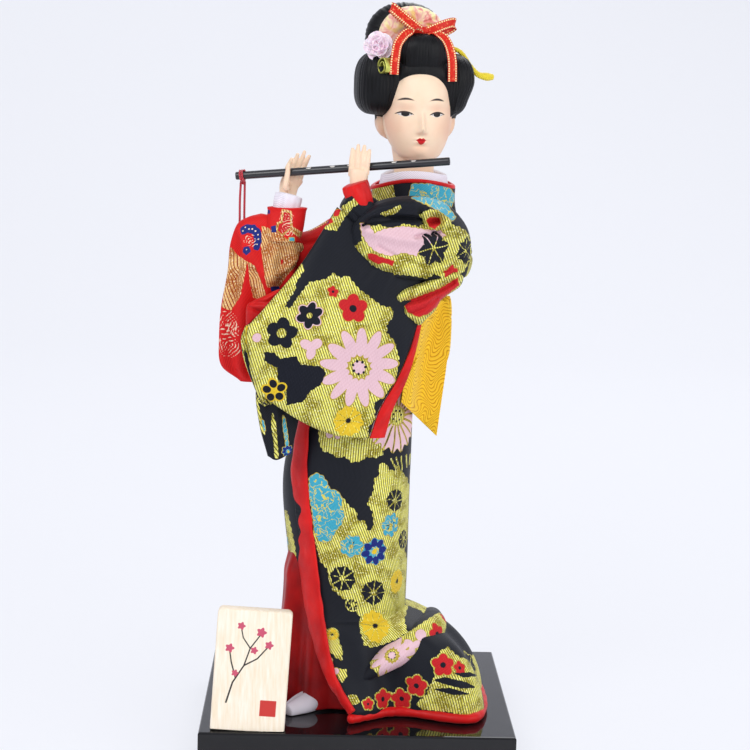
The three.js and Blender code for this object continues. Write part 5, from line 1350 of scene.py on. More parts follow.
KNOT_TOP = 181.85
for name, sign, distance in (("left", 1, tail_distance), ("right", -1, tail_distance + 2.7)):
    side, z, s, t = slab_of((-0.5, 16), (-0.5, 14), KNOT_TOP - 2, (KNOT_TOP - 42, KNOT_TOP - 55), (52, 104))
    lie = distance + 0.4 + 0.45 * np.sin(s * 7 + t * 3) * smooth(0.25, 0.6, t)
    front, back = behind(sign * side, lie + 1.5, z) * MM, behind(sign * side, lie, z) * MM
    if name == "left":
        x, y = along(TAIL_LEFT_EDGE, t[:, 0])[:, None], along(TAIL_RIGHT_EDGE, t[:, 0])[:, None]
        spot = x + (y - x) * s[..., None]
        flat = seen_at(spot[..., 0], spot[..., 1], 0.0)
        x0, y0, w, d = body_at(np.minimum(flat[..., 2], KNOT_TOP))
        over = np.clip((flat[..., 0] - x0) / (w + 4.5), 0, 1)
        hip = y0 - (d + 4.5) * np.sqrt(1 - over ** 2)
        off_fold = s - 0.64 + 0.85 * t
        fold = 0.7 * smooth(0.02, -0.02, off_fold) + 0.9 * np.exp(-(off_fold / 0.022) ** 2) * smooth(0.85,
            0.6, t)
        lie = 4.5 - (4.5 - hip) * smooth(1.0, 0.8, over) + 0.3 * np.sin(s * 7 + t * 3) * smooth(0.25, 0.6,
            t) + fold
        front, back = (seen_at(spot[..., 0], spot[..., 1], lie - 1.5 * k) * MM for k in (1, 0))
    points, faces, parts = shell(front, back)
    uv = np.stack([side * MM, z * MM], axis=-1).reshape(-1, 2)
    tail = piece(f"obi_tail_{name}_cloth", points, faces, "doll", [obi_cloth],
                 [f"obi_tail_{name}"], uv=np.concatenate([uv, uv]))

s, t = np.meshgrid(np.linspace(-1, 1, 110), np.linspace(-1, 1, 96))
pinch = 1 - 0.1 * np.exp(-(s / 0.22) ** 2)
side = 12.6 * s * (1 - 0.04 * t ** 2) - 2.4
z = KNOT_TOP - 13.5 + 13.5 * t * pinch
round_off = (1 - np.abs(s) ** 5) ** 0.5 * (1 - np.abs(t) ** 5) ** 0.5
crease = 0.9 * np.exp(-((np.abs(s) - 0.3 - 0.12 * np.sin(4 * t))
                        / 0.06) ** 2) + 0.6 * np.exp(-((t - 0.35 * s) / 0.05) ** 2)
knot_distance = tail_distance + 5.4
front = behind(side, knot_distance + 4 + 3.8 * round_off - crease * round_off, z) * MM
back = behind(side, knot_distance + 4 - 3.6 * round_off, z) * MM
points, faces, parts = shell(front, back)
uv = np.stack([side * MM, z * MM], axis=-1).reshape(-1, 2)
bow = piece("obi_bow", points, faces, "doll", [obi_cloth], ["obi_knot"],
            uv=np.concatenate([uv, uv]))


# Left sleeve: brocade bunched round the bent elbow, over the forearm, and hanging in a long bag below it.
# The bag is two layers of cloth sewn round its edge. Its inner edge is bound with a strip of red satin.

FRONTWARD = np.array((0.12, -0.99, 0)) / np.hypot(0.12, 0.99)


def spline_sheet(rows, across, down):
    """A surface through rows of points: a spline along each row, then splines from row to row.
    Millimetres.
    """
    rows = np.asarray(rows, dtype=float)
    wide = along(np.swapaxes(rows, 0, 1), across)
    return along(np.swapaxes(wide, 0, 1), down)


def rim_distance(grid):
    """Distance of each grid point from the sheet's edge, in millimetres, along its rows and columns."""
    over = np.concatenate([np.zeros((len(grid), 1)),
                           np.cumsum(np.linalg.norm(np.diff(grid, axis=1), axis=2), axis=1)], axis=1)
    down = np.concatenate([np.zeros((1, grid.shape[1])),
                           np.cumsum(np.linalg.norm(np.diff(grid, axis=0), axis=2), axis=0)])
    return np.min([over, over[:, -1:] - over, down, down[-1:] - down], axis=0)


def bag_sides(grid, half, out, waves):
    """Front and back of a flat bag: a middle sheet moved out by half its thickness, which rounds off at
    the rim.
    """
    rim = rim_distance(grid)
    fat = (half - 0.5) * np.sqrt(1 - (1 - np.clip(rim / 5.0, 0, 1)) ** 2) + 0.5
    front = grid + out * (fat + waves * np.clip(rim / 6.0, 0, 1))[..., None]
    back = grid - out * (fat * 0.9)[..., None]
    return front * MM, back * MM


def creased(grid, grooves):
    """Rings of a roll with folds pressed in along it. A groove is (angle at start, angle at end, width,
    depth mm).
    """
    centre = grid.mean(axis=1, keepdims=True)
    away = grid - centre
    length = np.maximum(np.linalg.norm(away, axis=2, keepdims=True), 1e-9)
    t = np.linspace(0, 1, grid.shape[0])[:, None]
    angle = circle(grid.shape[1])[None]
    push = np.zeros(grid.shape[:2])
    for start, end, width, depth in grooves:
        gap = np.angle(np.exp(1j * (angle - (start + (end - start) * t))))
        push -= depth * np.exp(-(gap / width) ** 2) * np.sin(pi * np.clip(t * 1.05, 0, 1)) ** 0.5
    push = np.maximum(push * MM, -0.45 * length[..., 0])
    return grid + away / length * push[..., None]


LEFT_SLEEVE = [
    [(-13, -27.5, 220), (-3, -27, 213), (8, -26.5, 206), (21, -23, 197)],
    [(-27, -30.5, 197), (-12, -30, 194), (5, -28.5, 189), (21, -22, 182)],
    [(-40, -33.5, 181), (-20, -32.5, 176), (1, -30, 171), (17.5, -24, 167)],
    [(-46.5, -35, 172), (-26, -33.5, 163), (-5, -31, 157), (12, -25.5, 153)],
    [(-44.5, -34.5, 158), (-26, -33, 149), (-6.5, -31, 143.5), (5.4, -27, 141)],
    [(-42, -34, 147.5), (-26, -32.5, 137), (-12, -31, 131), (1.6, -28, 129.5)],
]
middle = spline_sheet(LEFT_SLEEVE, 164, 190)
s, t = np.meshgrid(np.linspace(0, 1, 164), np.linspace(0, 1, 190))
waves = (1.3 * np.sin(3.2 * s * (1 + 0.7 * t) + 0.6) * smooth(0.1, 0.6, t)
         + 0.8 * np.sin(7.5 * (s - 0.45 * t) + 1.2) * smooth(0.05, 0.4, t)
         + 0.9 * np.exp(-((s - 0.78 + 0.5 * t) / 0.05) ** 2) * smooth(0.75, 0.2, t)
         - 0.9 * np.exp(-((s - 0.62 + 0.55 * t) / 0.045) ** 2) * smooth(0.6, 0.1, t))
front, back = bag_sides(middle, 2.25, FRONTWARD, waves)
facing_out = turned_to(normals(front), FRONTWARD)

SLEEVE_CLOUD = ("gold", 0.55, [
    (505, 430), (525, 470), (475, 545), (470, 590), (405, 690), (445, 710), (490, 640), (560, 550),
    (660, 530), (700, 495), (740, 525), (785, 510), (850, 590), (985, 690), (1045, 700), (1050, 745),
    (1010, 800), (1015, 850), (1060, 900), (1085, 1000), (1060, 1110), (1010, 1200), (935, 1245),
    (945, 1350), (905, 1400), (900, 1520), (720, 1480), (580, 1430), (430, 1400), (340, 1300),
    (250, 1200), (200, 1080), (190, 900), (190, 790), (300, 690), (420, 550),
])
SLEEVE_GAP = ("dark", 0.3, [
    (295, 960), (350, 965), (385, 1000), (480, 985), (505, 1035), (620, 1045), (655, 1080), (625, 1150),
    (560, 1190), (520, 1250), (425, 1270), (425, 1190), (375, 1120), (370, 1050), (330, 1030),
    (295, 1010),
])
SLEEVE_FIGURES = figures_on(CLOSE, [
    ("chrysanthemum", 855, 1050, 16.4, 0.1), ("red", 700, 600, 2.4, 0.2), ("red", 817, 700, 5.9, 0.3),
    ("outlined", 560, 740, 5.6, 0.3), ("night", 395, 850, 6.2, 0.2), ("spray", 565, 930, 5.0, 0.5),
    ("disc", 253, 875, 1.9, 0.0), ("gilded", 350, 1185, 5.2, 0.5), ("yellow", 785, 1370, 6.4, 0.2),
])
# The trim of gold, red and blue figures along the edge by the left cuff, and the patches of the elbow's
# folds.
TRIM = patches_on(WIDE, [
    ("gold", 0.4, [(590, 205), (650, 180), (700, 130), (770, 85), (840, 55), (850, 80), (750, 130),
                   (705, 185),
                        (670, 245), (615, 240)]),
    ("red", 0.2, [(596, 190), (640, 183), (655, 205), (620, 222), (596, 215)]),
    ("blue", 0.1, [(610, 195), (628, 190), (632, 212), (612, 214)]),
    ("red", 0.2, [(655, 150), (690, 140), (680, 175), (655, 180)]),
])
SLEEVE_PATCHES = patches_on(CLOSE, [SLEEVE_CLOUD, SLEEVE_GAP]) + TRIM
bag = figured_sheet(front, back, facing_out, SLEEVE_FIGURES, SLEEVE_PATCHES)
bag_back = figured(back, -facing_out, scatter=[
    ("cloud", (-20, -28, 160), 15, 0.4), ("chrysanthemum", (-24, -28, 152), 11, 0.1),
    ("red", (-4, -27, 172), 6, 0.3), ("cloud", (0, -26, 176), 12, 0.2),
    ("cloud", (-12, -28, 150), 13, 1.2), ("cloud", (4, -26, 192), 10, 0.9),
    ("night", (-34, -30, 168), 5.5, 0.2), ("yellow", (-30, -30, 144), 5.5, 0.1),
    ("leaf", (-8, -27, 146), 6, 0.2), ("blue", (-10, -27, 188), 5, 0.3)])
bag = (*bag[:4], place_in_picture(bag[0]))
for key, values in bag_back.items():
    bag[3][key][front.shape[0] * front.shape[1]:] = values
bag_parts = np.zeros(len(bag[2]))

FOREARM = [(-8.6, -26.6, 223.6, 5.2, 5.6), (-3, -26, 219, 6.4, 6.2), (2, -25.5, 215, 7.2, 6.5),
           (14, -24, 208, 8.4, 6), (20, -21, 204, 7, 5)]
forearm = creased(sweep(FOREARM, (0, 0, 1), rows=80, columns=100, cap=0.25), [
    (0.4, 1.2, 0.1, 1.3), (2.3, 1.9, 0.12, 1.0), (-1.0, -0.4, 0.12, 1.2), (4.1, 3.4, 0.1, 0.9)])


def puffed(outline, middle, depth, swell, reach, creases=(), rings=90, columns=240, thick=5.0):
    """A soft swelling of cloth whose outline and creases are measured in the picture, as rings about its
    middle.

    The rings run out over its front and back behind it. The front rises towards the camera from `depth`
    by swell * sqrt(1 - (1 - d / reach)^2), where d is the distance inside the outline. A crease
    (corners, width, height) adds height * exp(-(gap / width)^2). Millimetres, and picture pixels for
    the places.
    """
    rim = along([*outline, outline[0]], columns + 1)[:-1]
    share = np.sin(np.linspace(0.02, pi / 2, rings))
    spot = np.array(middle) + share[:, None, None] * (rim - np.array(middle))
    x, y = spot[..., 0], spot[..., 1]
    inside, _ = polygon(x * PIXEL, y * PIXEL, rim * PIXEL)
    inside = np.maximum(inside, 0)
    rise = swell * np.sqrt(1 - (1 - np.clip(inside / reach, 0, 1)) ** 2)
    for corners, width, height in creases:
        gap = distance_to(x * PIXEL, y * PIXEL, np.array(corners) * PIXEL)
        rise = rise + height * np.exp(-(gap / width) ** 2) * np.clip(inside / 1.2, 0, 1)
    base = np.interp(x, *np.array(depth, dtype=float).T)
    front = seen_at(x, y, base - rise)
    back = seen_at(x, y, base + 0.4 + thick * np.sqrt(np.maximum(1 - share[:, None] ** 2, 0)))
    return np.concatenate([front, back[::-1][1::3]]) * MM


def creases_on(view, rows):
    """Creases (corners, width, height) whose corners are measured on an enlarged view."""
    return [(crop(corners, view), width, height) for corners, width, height in rows]


def figured_puff(grid, front_rows, figures=(), patches=(), scatter=()):
    """One puff with its pattern: points, faces, parts, layers and cloth places."""
    points, faces = closed_tube(grid)
    n = ring_normals(grid)
    n = n if (n[:front_rows] @ FRONTWARD).mean() > 0 else -n
    layers = figured(grid, n, figures, patches, scatter)
    layers = {key: with_poles(values) for key, values in layers.items()}
    return points, faces, np.zeros(len(faces)), layers, place_in_picture(points)


CURL_OUTLINE = crop([(955, 565), (1000, 530), (1090, 500), (1180, 468), (1250, 440), (1290, 470),
                     (1275, 520), (1220, 560), (1180, 590), (1150, 640), (1110, 680), (1075, 712),
                     (1040, 690), (1002, 662), (990, 625), (962, 595)], WIDE)
curl = puffed(CURL_OUTLINE, crop([(1110, 575)], WIDE)[0], [(395, -25.5), (430, -23), (470, -13)], 5.0, 4.0,
              creases=creases_on(WIDE, [
    ([(1005, 600), (1080, 580), (1180, 535), (1240, 500)], 1.3, -3.0),
    ([(1030, 660), (1100, 630), (1160, 580)], 0.9, -1.2),
    ([(970, 570), (1050, 530), (1160, 490), (1260, 455)], 1.2, 1.0),
]), rings=60, columns=180)
CURL_PATCHES = [
    ("gold", 0.4, CURL_OUTLINE),
    ("red", 0.25, crop([(998, 600), (1080, 568), (1180, 530), (1262, 478), (1270, 515), (1200, 570),
                        (1160, 620), (1120, 655), (1070, 672), (1015, 645)], WIDE)),
]
CURL_FIGURES = figures_on(WIDE, [("spray", 1100, 630, 3.0, 0.2)])
GUSSET = crop([(222, 715), (262, 703), (275, 800), (268, 900), (300, 1020), (335, 1095), (300, 1085),
               (255, 990), (215, 880), (200, 780)], WIDE)
gusset = puffed(GUSSET, crop([(242, 860)], WIDE)[0], [(235, -31), (270, -32)], 1.2, 1.5, rings=50,
                columns=160, thick=2.0)
GUSSET_PATCHES = [("gold", 0.2, GUSSET), *patches_on(WIDE,
                                                     [("yellow", 0.1,
                                                       [(225, 720), (258, 712), (262, 800), (240, 830),
                                                        (222, 790)]),
                  ("dark", 0.1, [(215, 830), (232, 850), (245, 930), (268, 1010), (245, 965),
                                 (222, 890)])])]
made = bodies_of(
    (*bag[:2], bag_parts, *bag[3:]),
    figured_roll(forearm, (), TRIM),
    figured_puff(curl, 60, CURL_FIGURES, CURL_PATCHES),
    figured_puff(gusset, 50, (), GUSSET_PATCHES),
)
left_sleeve = woven("brocade_left_sleeve", "left_sleeve", made, [black_brocade])

# The cloth bunched round the elbow lies in deep rounded folds that turn about the arm.

ELBOW = [
    (-2, -25.5, 208.5, 2, 2.5), (8, -24, 206, 7, 5), (20, -19, 202, 10.5, 8), (29, -10, 199.5, 13, 12),
    (31.5, 1, 202, 10, 9.5),
]
elbow = creased(sweep(ELBOW, (0, 0, 1), rows=130, columns=160, cap=0.5), [
    (0.9, 0.5, 0.09, 2.4), (2.0, 2.4, 0.1, 2.0), (-0.2, -0.8, 0.1, 1.8), (3.0, 3.5, 0.1, 1.6),
    (-1.6, -1.9, 0.12, 1.6), (1.45, 1.5, 0.07, 1.2), (0.3, 0.1, 0.08, 1.2),
])
# The same cloth passes over the puffed fold in front of the elbow and the roll behind it.
PUFF_OUTLINE = crop([
    (728, 300), (745, 225), (800, 150), (870, 105), (960, 82), (1060, 78), (1150, 92), (1220, 125),
    (1275, 180), (1312, 240), (1328, 310), (1320, 375), (1290, 440), (1240, 492), (1180, 505),
    (1100, 492), (1000, 488), (900, 468), (820, 420), (760, 365),
], WIDE)
PUFF_CREASES = creases_on(WIDE, [
    ([(800, 222), (860, 196), (960, 186), (1075, 190)], 1.1, -3.6),
    ([(735, 235), (800, 175), (880, 135), (980, 118), (1080, 118), (1180, 150), (1262, 240)], 2.3, 2.2),
    ([(1082, 165), (1095, 225), (1150, 262), (1222, 232)], 0.8, -2.4),
    ([(1088, 178), (1130, 152), (1190, 160), (1218, 195), (1190, 235)], 1.2, 2.6),
    ([(1125, 205), (1165, 195)], 1.2, -3.6),
    ([(755, 345), (820, 402), (900, 445), (1010, 468)], 0.9, -1.2),
    ([(1060, 278), (1150, 262), (1262, 272)], 0.8, -1.6),
    ([(1100, 430), (1180, 405), (1292, 345)], 0.9, -1.4),
    ([(1100, 478), (1200, 445), (1290, 400)], 0.8, -1.8),
    ([(820, 250), (950, 285), (1060, 300)], 2.4, 1.5),
    ([(880, 330), (1000, 400), (1080, 420)], 1.0, -0.9),
])
puff = puffed(PUFF_OUTLINE, crop([(1020, 300)], WIDE)[0],
              [(348, -26.5), (375, -28), (415, -26.5), (445, -20), (472, -9)],
              6.0, 8.0, PUFF_CREASES, rings=120, columns=300, thick=8.0)
elbow_patches = patches_on(WIDE, [
    ("gold", 0.5, [
        (745, 338), (795, 300), (800, 240), (880, 222), (935, 245), (1000, 218), (1075, 232), (1100, 215),
        (1080, 170), (1120, 148), (1190, 148), (1225, 178), (1232, 222), (1270, 232), (1305, 255),
        (1332, 310), (1325, 375), (1295, 440), (1240, 492), (1190, 478), (1150, 455), (1112, 480),
        (1050, 468), (1000, 462), (930, 458), (880, 432), (820, 402),
    ]),
    ("pink", 0.35, [
        (785, 210), (830, 225), (855, 262), (905, 240), (1000, 228), (1085, 240), (1180, 250), (1205, 272),
        (1150, 300), (1085, 330), (1060, 372), (1000, 355), (930, 372), (860, 350), (825, 318), (795, 268),
    ]),
    ("red", 0.25, [(820, 362), (850, 360), (880, 375), (950, 396), (945, 422), (905, 405), (870, 412),
                   (828, 388)]),
    ("red", 0.15, [(1108, 195), (1130, 180), (1172, 184), (1182, 212), (1150, 242), (1122, 228)]),
    ("gold", 0.3, [(884, 165), (930, 148), (978, 124), (984, 138), (955, 165), (905, 176)]),
    ("sky", 0.3, [(1035, 86), (1120, 78), (1200, 108), (1252, 180), (1240, 200), (1170, 148), (1090, 112)]),
])
elbow_figures = figures_on(WIDE, [
    ("leaf", 1145, 335, 7.4, 0.2), ("leaf", 1300, 345, 5.8, 0.4), ("red", 1225, 470, 3.6, 0.3),
])
elbow_scatter = [
    ("cloud", (42, -6, 196), 9, 0.2), ("chrysanthemum", (40, 2, 200), 7, 0.3),
    ("red", (40, -8, 208), 4, 0.2), ("blue", (30, 8, 206), 4.5, 0.2), ("night", (34, 6, 194), 4.5, 0.2),
    ("yellow", (20, -12, 208), 4, 0.2),
]
made = bodies_of(
    figured_roll(elbow, elbow_figures, elbow_patches, elbow_scatter),
    figured_puff(puff, 130, elbow_figures, elbow_patches),
)
bunch = woven("brocade_elbow_folds", "left_sleeve_fold", made, [black_brocade])

run = np.array((0.94, 0.33, 0))
strip_rows = [[np.array(row[-1]) + run * reach * f for f in (0.08, 0.52, 1)] for row, reach in
              zip(LEFT_SLEEVE[1:], (1.4, 2.6, 4.6, 6.0, 6.8))]
strip = spline_sheet(strip_rows, 30, 170)
s, t = np.meshgrid(np.linspace(0, 1, 30), np.linspace(0, 1, 170))
pucker = 0.35 * np.sin(24 * t + 3 * s) * np.sin(pi * s) + 0.5 * np.sin(pi * s)
front, back = (strip + FRONTWARD * (0.7 + pucker)[..., None]) * MM, (strip - FRONTWARD * 0.7) * MM
points, faces, parts = shell(front, back)
lining_strip = piece("red_sleeve_lining", points, faces, "doll", [satin],
                     ["left_sleeve_lining"])

# Hanging sleeve: the black brocade sleeve that the doll's right arm has slipped out of. It is tucked behind
# the sash and hangs in flat upright folds.

HANGING = [
    [(-31, -22, 176), (-21, -15, 177), (-11, -7.5, 178)],
    [(-39, -25.5, 160), (-29, -22.5, 161), (-17.5, -15.5, 162)],
    [(-43, -26.5, 148), (-34, -26, 148), (-24.5, -22.5, 148)],
    [(-41.5, -27, 134), (-34.5, -26.5, 133.5), (-26.5, -24, 134)],
    [(-38, -26.5, 121), (-34.5, -26.2, 119.5), (-29, -24.8, 122)],
]
hang_out = np.array((0.25, -0.97, 0)) / np.hypot(0.25, 0.97)
middle = spline_sheet(HANGING, 70, 150)
s, t = np.meshgrid(np.linspace(0, 1, 70), np.linspace(0, 1, 150))
waves = 0.9 * np.sin(15 * s + 1.5 * t) * (1 - 0.5 * smooth(0.8, 1, t)) * smooth(0.15, 0.5, t)
front, back = bag_sides(middle, 1.5, hang_out, waves)
away = turned_to(normals(front), hang_out)
hang_patches = patches_on(WIDE, [
    ("sky", 0.2, [(405, 1150), (418, 1170), (430, 1250), (436, 1330), (426, 1330), (416, 1270),
                  (405, 1200)]),
    ("gold", 0.25, [(262, 1010), (280, 1080), (300, 1160), (318, 1250), (300, 1230), (278, 1150),
                    (258, 1060)]),
    ("gold", 0.25, [(355, 1140), (372, 1200), (380, 1300), (385, 1362), (368, 1362), (362, 1280),
                    (350, 1200)]),
    ("sky", 0.15, [(300, 1170), (312, 1180), (322, 1230), (312, 1232)]),
])
hang_figures = figures_on(CLOSE, [("leaf", 300, 1230, 3.0, 0.3)]) + figures_on(WIDE,
    [("blue", 432, 1330, 2.6, 0.3)])
sheet_of = figured_sheet(front, back, away, hang_figures, hang_patches)
behind_it = figured(back, -away, scatter=[("cloud", (-34, -24, 150), 9, 0.2),
                                          ("red", (-32, -22, 140), 4.5, 0.2),
                                          ("chrysanthemum", (-28, -20, 160), 7, 0.2),
                                          ("night", (-34, -24, 128), 4, 0.1)])
for key, values in behind_it.items():
    sheet_of[3][key][front.shape[0] * front.shape[1]:] = values
made = (*sheet_of[:2], np.zeros(len(sheet_of[2])), *sheet_of[3:])
loose = woven("brocade_hanging_sleeve", "hanging_sleeve", made, [black_brocade])

# Right sleeve: copper and red brocade of the second kimono, a flat bag that hangs from the raised forearm.
# Lamé swags, a blue hooked flower and scrolls of pale gold are woven on the red.

# The gold's fourth colour is the lamé's painted glint.
copper_brocade = brocade_finish("red and copper brocade", ("#c01014", "#e2221e"),
                                ("#9a3418", "#f0c078", "#c07c3c", "#ffe8b8"),
                                floss={**FIGURE_COLOURS, "yellow": ("#e8b890", "#fff0d8")})

RIGHT_BAG = [
    (-46, -13, 148.5, 4, 2), (-45.5, -13.2, 155, 11.8, 3), (-43.5, -14, 166, 14.8, 4.2),
    (-42.5, -15, 179, 15.2, 5), (-41, -16.5, 193, 14.2, 5.6), (-39.8, -18, 203, 14.3, 5.6),
    (-39.5, -18.5, 209.5, 12.2, 5.2), (-38.8, -18.7, 213, 8.6, 4.2), (-38.2, -18.8, 215.2, 4.5, 2.6),
]


def level_rings(stations, rows, columns, waves=None, tilt=0.0):
    """Level ellipses stacked on a spline through (x, y, z, half width, half depth), with waves on their
    outline.

    The last ones slope up to the doll's left by `tilt`.
    """
    line = along(stations, rows)
    angle = circle(columns)[None]
    t = np.linspace(0, 1, rows)[:, None]
    more = waves(angle, t) if waves else 0 * angle * t
    aside = (line[:, 3:4] + more) * np.cos(angle)
    return MM * np.stack([line[:, :1] + aside, line[:, 1:2] + (line[:, 4:5] + more) * np.sin(angle),
                          line[:, 2:3] + tilt * aside * smooth(0.45, 0.75, t)], axis=-1)


def sleeve_waves(angle, t):
    """Swags below the cuff and upright folds along the bag, in millimetres."""
    upright = 0.9 * np.sin(9 * angle + 3.3 * t) * smooth(0.75, 0.56, t) * smooth(0, 0.11, t)
    swag = 1.2 * np.exp(-((t - 0.6 + 0.12 * np.cos(2 * (angle - 4.9))) / 0.026) ** 2) * smooth(0, 1,
        -np.sin(angle))
    return upright + swag


bag = level_rings(RIGHT_BAG, 150, 210, sleeve_waves, tilt=-0.2)
right_patches = patches_on(WIDE, [
    ("gold", 0.2, [(305, 225), (340, 245), (390, 280), (440, 300), (500, 312), (560, 265), (610, 232),
                   (560, 310), (490, 400),
                        (440, 450), (385, 525), (330, 525), (318, 470), (308, 400), (300, 320)]),
    ("gold", 0.2, [(150, 330), (185, 370), (232, 402), (215, 480), (196, 570), (150, 640), (108, 622),
                   (122, 520),
                        (135, 420)]),
    ("gold", 0.2, [(236, 402), (268, 420), (300, 500), (322, 560), (300, 590), (262, 575), (245, 500)]),
    ("blue", 0.2, [(196, 238), (225, 218), (268, 220), (298, 250), (302, 300), (285, 345), (262, 338),
                   (268, 295),
                        (258, 262), (232, 258), (205, 268)]),
    ("blue", 0.15, [(212, 330), (240, 325), (248, 352), (226, 368), (212, 355)]),
    ("blue", 0.15, [(345, 525), (385, 520), (392, 540), (352, 545)]),
    *[("yellow", 0.0, [(x - 4, y - 4), (x + 4, y - 4), (x + 4, y + 4), (x - 4, y + 4)]) for x, y in (
        (222, 232), (240, 240), (256, 240), (272, 250), (284, 268), (286, 290), (280, 315), (228, 342),
        (210, 250))],
])
right_figures = figures_on(WIDE, [
    ("scroll", 125, 695, 5.0, 0.2), ("scroll", 138, 810, 5.2, 0.8), ("scroll", 245, 300, 2.6, 0.8),
    ("scroll", 170, 730, 3.0, 0.3),
])
right_scatter = [
    ("cloud", (-40, -9, 190), 10, 0.3), ("cloud", (-46, -10, 168), 9, 0.4),
    ("blue", (-34, -10, 180), 5, 0.2), ("chrysanthemum", (-44, -10, 182), 7, 0.3),
    ("blue", (-52, -12, 196), 4, 0.2), ("petal", (-40, -10, 162), 4, 0.2),
    ("cloud", (-32, -14, 170), 8, 0.2),
]
UPPER_ARM = [(-36, -16.5, 199, 8, 5.5), (-21, -11.5, 201.5, 8.5, 6.5), (-7, -5, 208, 9.5, 8),
             (4, 0, 211, 9, 8)]
upper = creased(sweep(UPPER_ARM, (0, 0, 1), rows=90, columns=120, cap=0.3), [
    (0.8, 1.3, 0.12, 1.4), (2.2, 2.6, 0.12, 1.2), (-0.6, -1.0, 0.12, 1.3)])
# The bag's mouth is turned out along its inner edge and shows its red satin side.
MOUTH = crop([(224, 716), (228, 620), (260, 592), (320, 565), (385, 535), (410, 545), (380, 610),
              (310, 680), (260, 712)], WIDE)
mouth = puffed(MOUTH, crop([(290, 640)], WIDE)[0], [(240, -24), (285, -27)], 3.0, 3.0,
               creases=creases_on(WIDE, [
    ([(235, 620), (300, 650), (300, 690)], 0.8, -1.2), ([(250, 600), (330, 600), (390, 560)], 0.9, -1.0),
]), rings=50, columns=160)
mouth_body = figured_puff(mouth, 50)
made = bodies_of(
    (*mouth_body[:2], np.ones(len(mouth_body[1])), *mouth_body[3:]),
    figured_roll(bag, right_figures, right_patches, right_scatter),
    figured_roll(upper, (), (), [("cloud", (-20, -8, 208), 7, 0.2), ("cloud", (-10, 2, 210), 7, 0.2),
                                 ("blue", (-22, -6, 200), 3, 0)]),
)
right_sleeve = woven("copper_right_sleeve", "right_sleeve", made, [copper_brocade, satin])

# Cuffs: the red sleeve's turned-back end with a block figure outlined in gold, over a cuff of white cotton.
# The left wrist has a plain red satin one. All are sewn tubes drawn over the wrists.

RIGHT_CUFF = [(-34.0, -20.2, 206, 6.9, 6.6), (-33.5, -20, 211, 7.4, 6.5), (-32.4, -18.8, 218.8, 7.4, 6.4)]
cuff = level_rings(RIGHT_CUFF, 70, 130, lambda a,
                   t: 0.25 * np.sin(5 * a + 3 * t) + 0.35 * np.exp(-((t - 1) / 0.06) ** 2))
cuff_patches = patches_on(CLOSE, [
    ("gold", 0.0, [(395, 110), (455, 125), (460, 215), (525, 255), (500, 285), (440, 240), (400, 280),
                   (355, 245), (365, 190), (385, 185)]),
    ("red", 0.0, [(405, 125), (445, 135), (448, 222), (500, 258), (495, 268), (440, 228), (398, 265),
                  (368, 240), (376, 198), (396, 192)]),
    ("blue", 0.1, [(290, 118), (325, 118), (325, 140), (295, 140)]),
    ("blue", 0.1, [(330, 215), (360, 210), (362, 250), (335, 250)]),
    ("sky", 0.1, [(435, 280), (470, 280), (470, 302), (440, 302)]),
]) + patches_on(WIDE, [
    ("gold", 0.2, [(290, 212), (340, 240), (390, 270), (439, 296), (500, 314), (500, 350), (290, 350)]),
])
cuff_figures = figures_on(CLOSE, [("scroll", 420, 165, 3.0, 0.3), ("scroll", 430, 235, 2.6, 0.9)])
cuff_scatter = [("cloud", (-34, -13, 212), 4, 0.2), ("blue", (-28, -15, 208), 2.4, 0)]
made = figured_roll(cuff, cuff_figures, cuff_patches, cuff_scatter)
right_cuff = woven("red_right_cuff", "right_cuff", made, [copper_brocade])

RIGHT_WRIST, LEFT_WRIST = np.array((-32.5, -17.5, 220.5)), np.array((-5.2, -27.4, 225.5))
for name, wrist, run, radius, height, material, slot, node in (
        ("white_cotton_cuff", RIGHT_WRIST, (-1, -0.5, -4.5), 5.3, 4.2, cotton, "white_cotton",
         "under_cuff_right"),
        ("red_satin_cuff", LEFT_WRIST, (1.6, 0.3, -4.5), 5.2, 5.0, satin, "red_satin", "under_cuff_left")):
    run = np.array(run, dtype=float)
    down = run / np.linalg.norm(run)
    start, end = wrist + run, wrist + 0.3 * run - down * height
    stations = [(*(start + (end - start) * f), radius * w, radius * w)
                for f, w in ((0, 0.92), (0.4, 1), (0.8, 1.02), (1, 0.97))]
    tube = sweep(stations, (0, 1, 0), rows=50, columns=96, cap=0.16)
    angle = circle(96)[None]
    t = np.linspace(0, 1, len(tube))[:, None]
    centre = tube.mean(axis=1, keepdims=True)
    tube = centre + (tube - centre) * (1 + 0.035 * np.sin(6 * angle + 4 * t)
                                       + 0.02 * np.sin(11 * angle))[..., None]
    points, faces = closed_tube(tube)
    ring = piece(name, points, faces, "doll", [material], [node])


# Hands: small moulded hands with tapered fingers, painted like the face, pushed over the ends of the arm
# wires. The right hand holds the flute from behind, and the left one from in front.

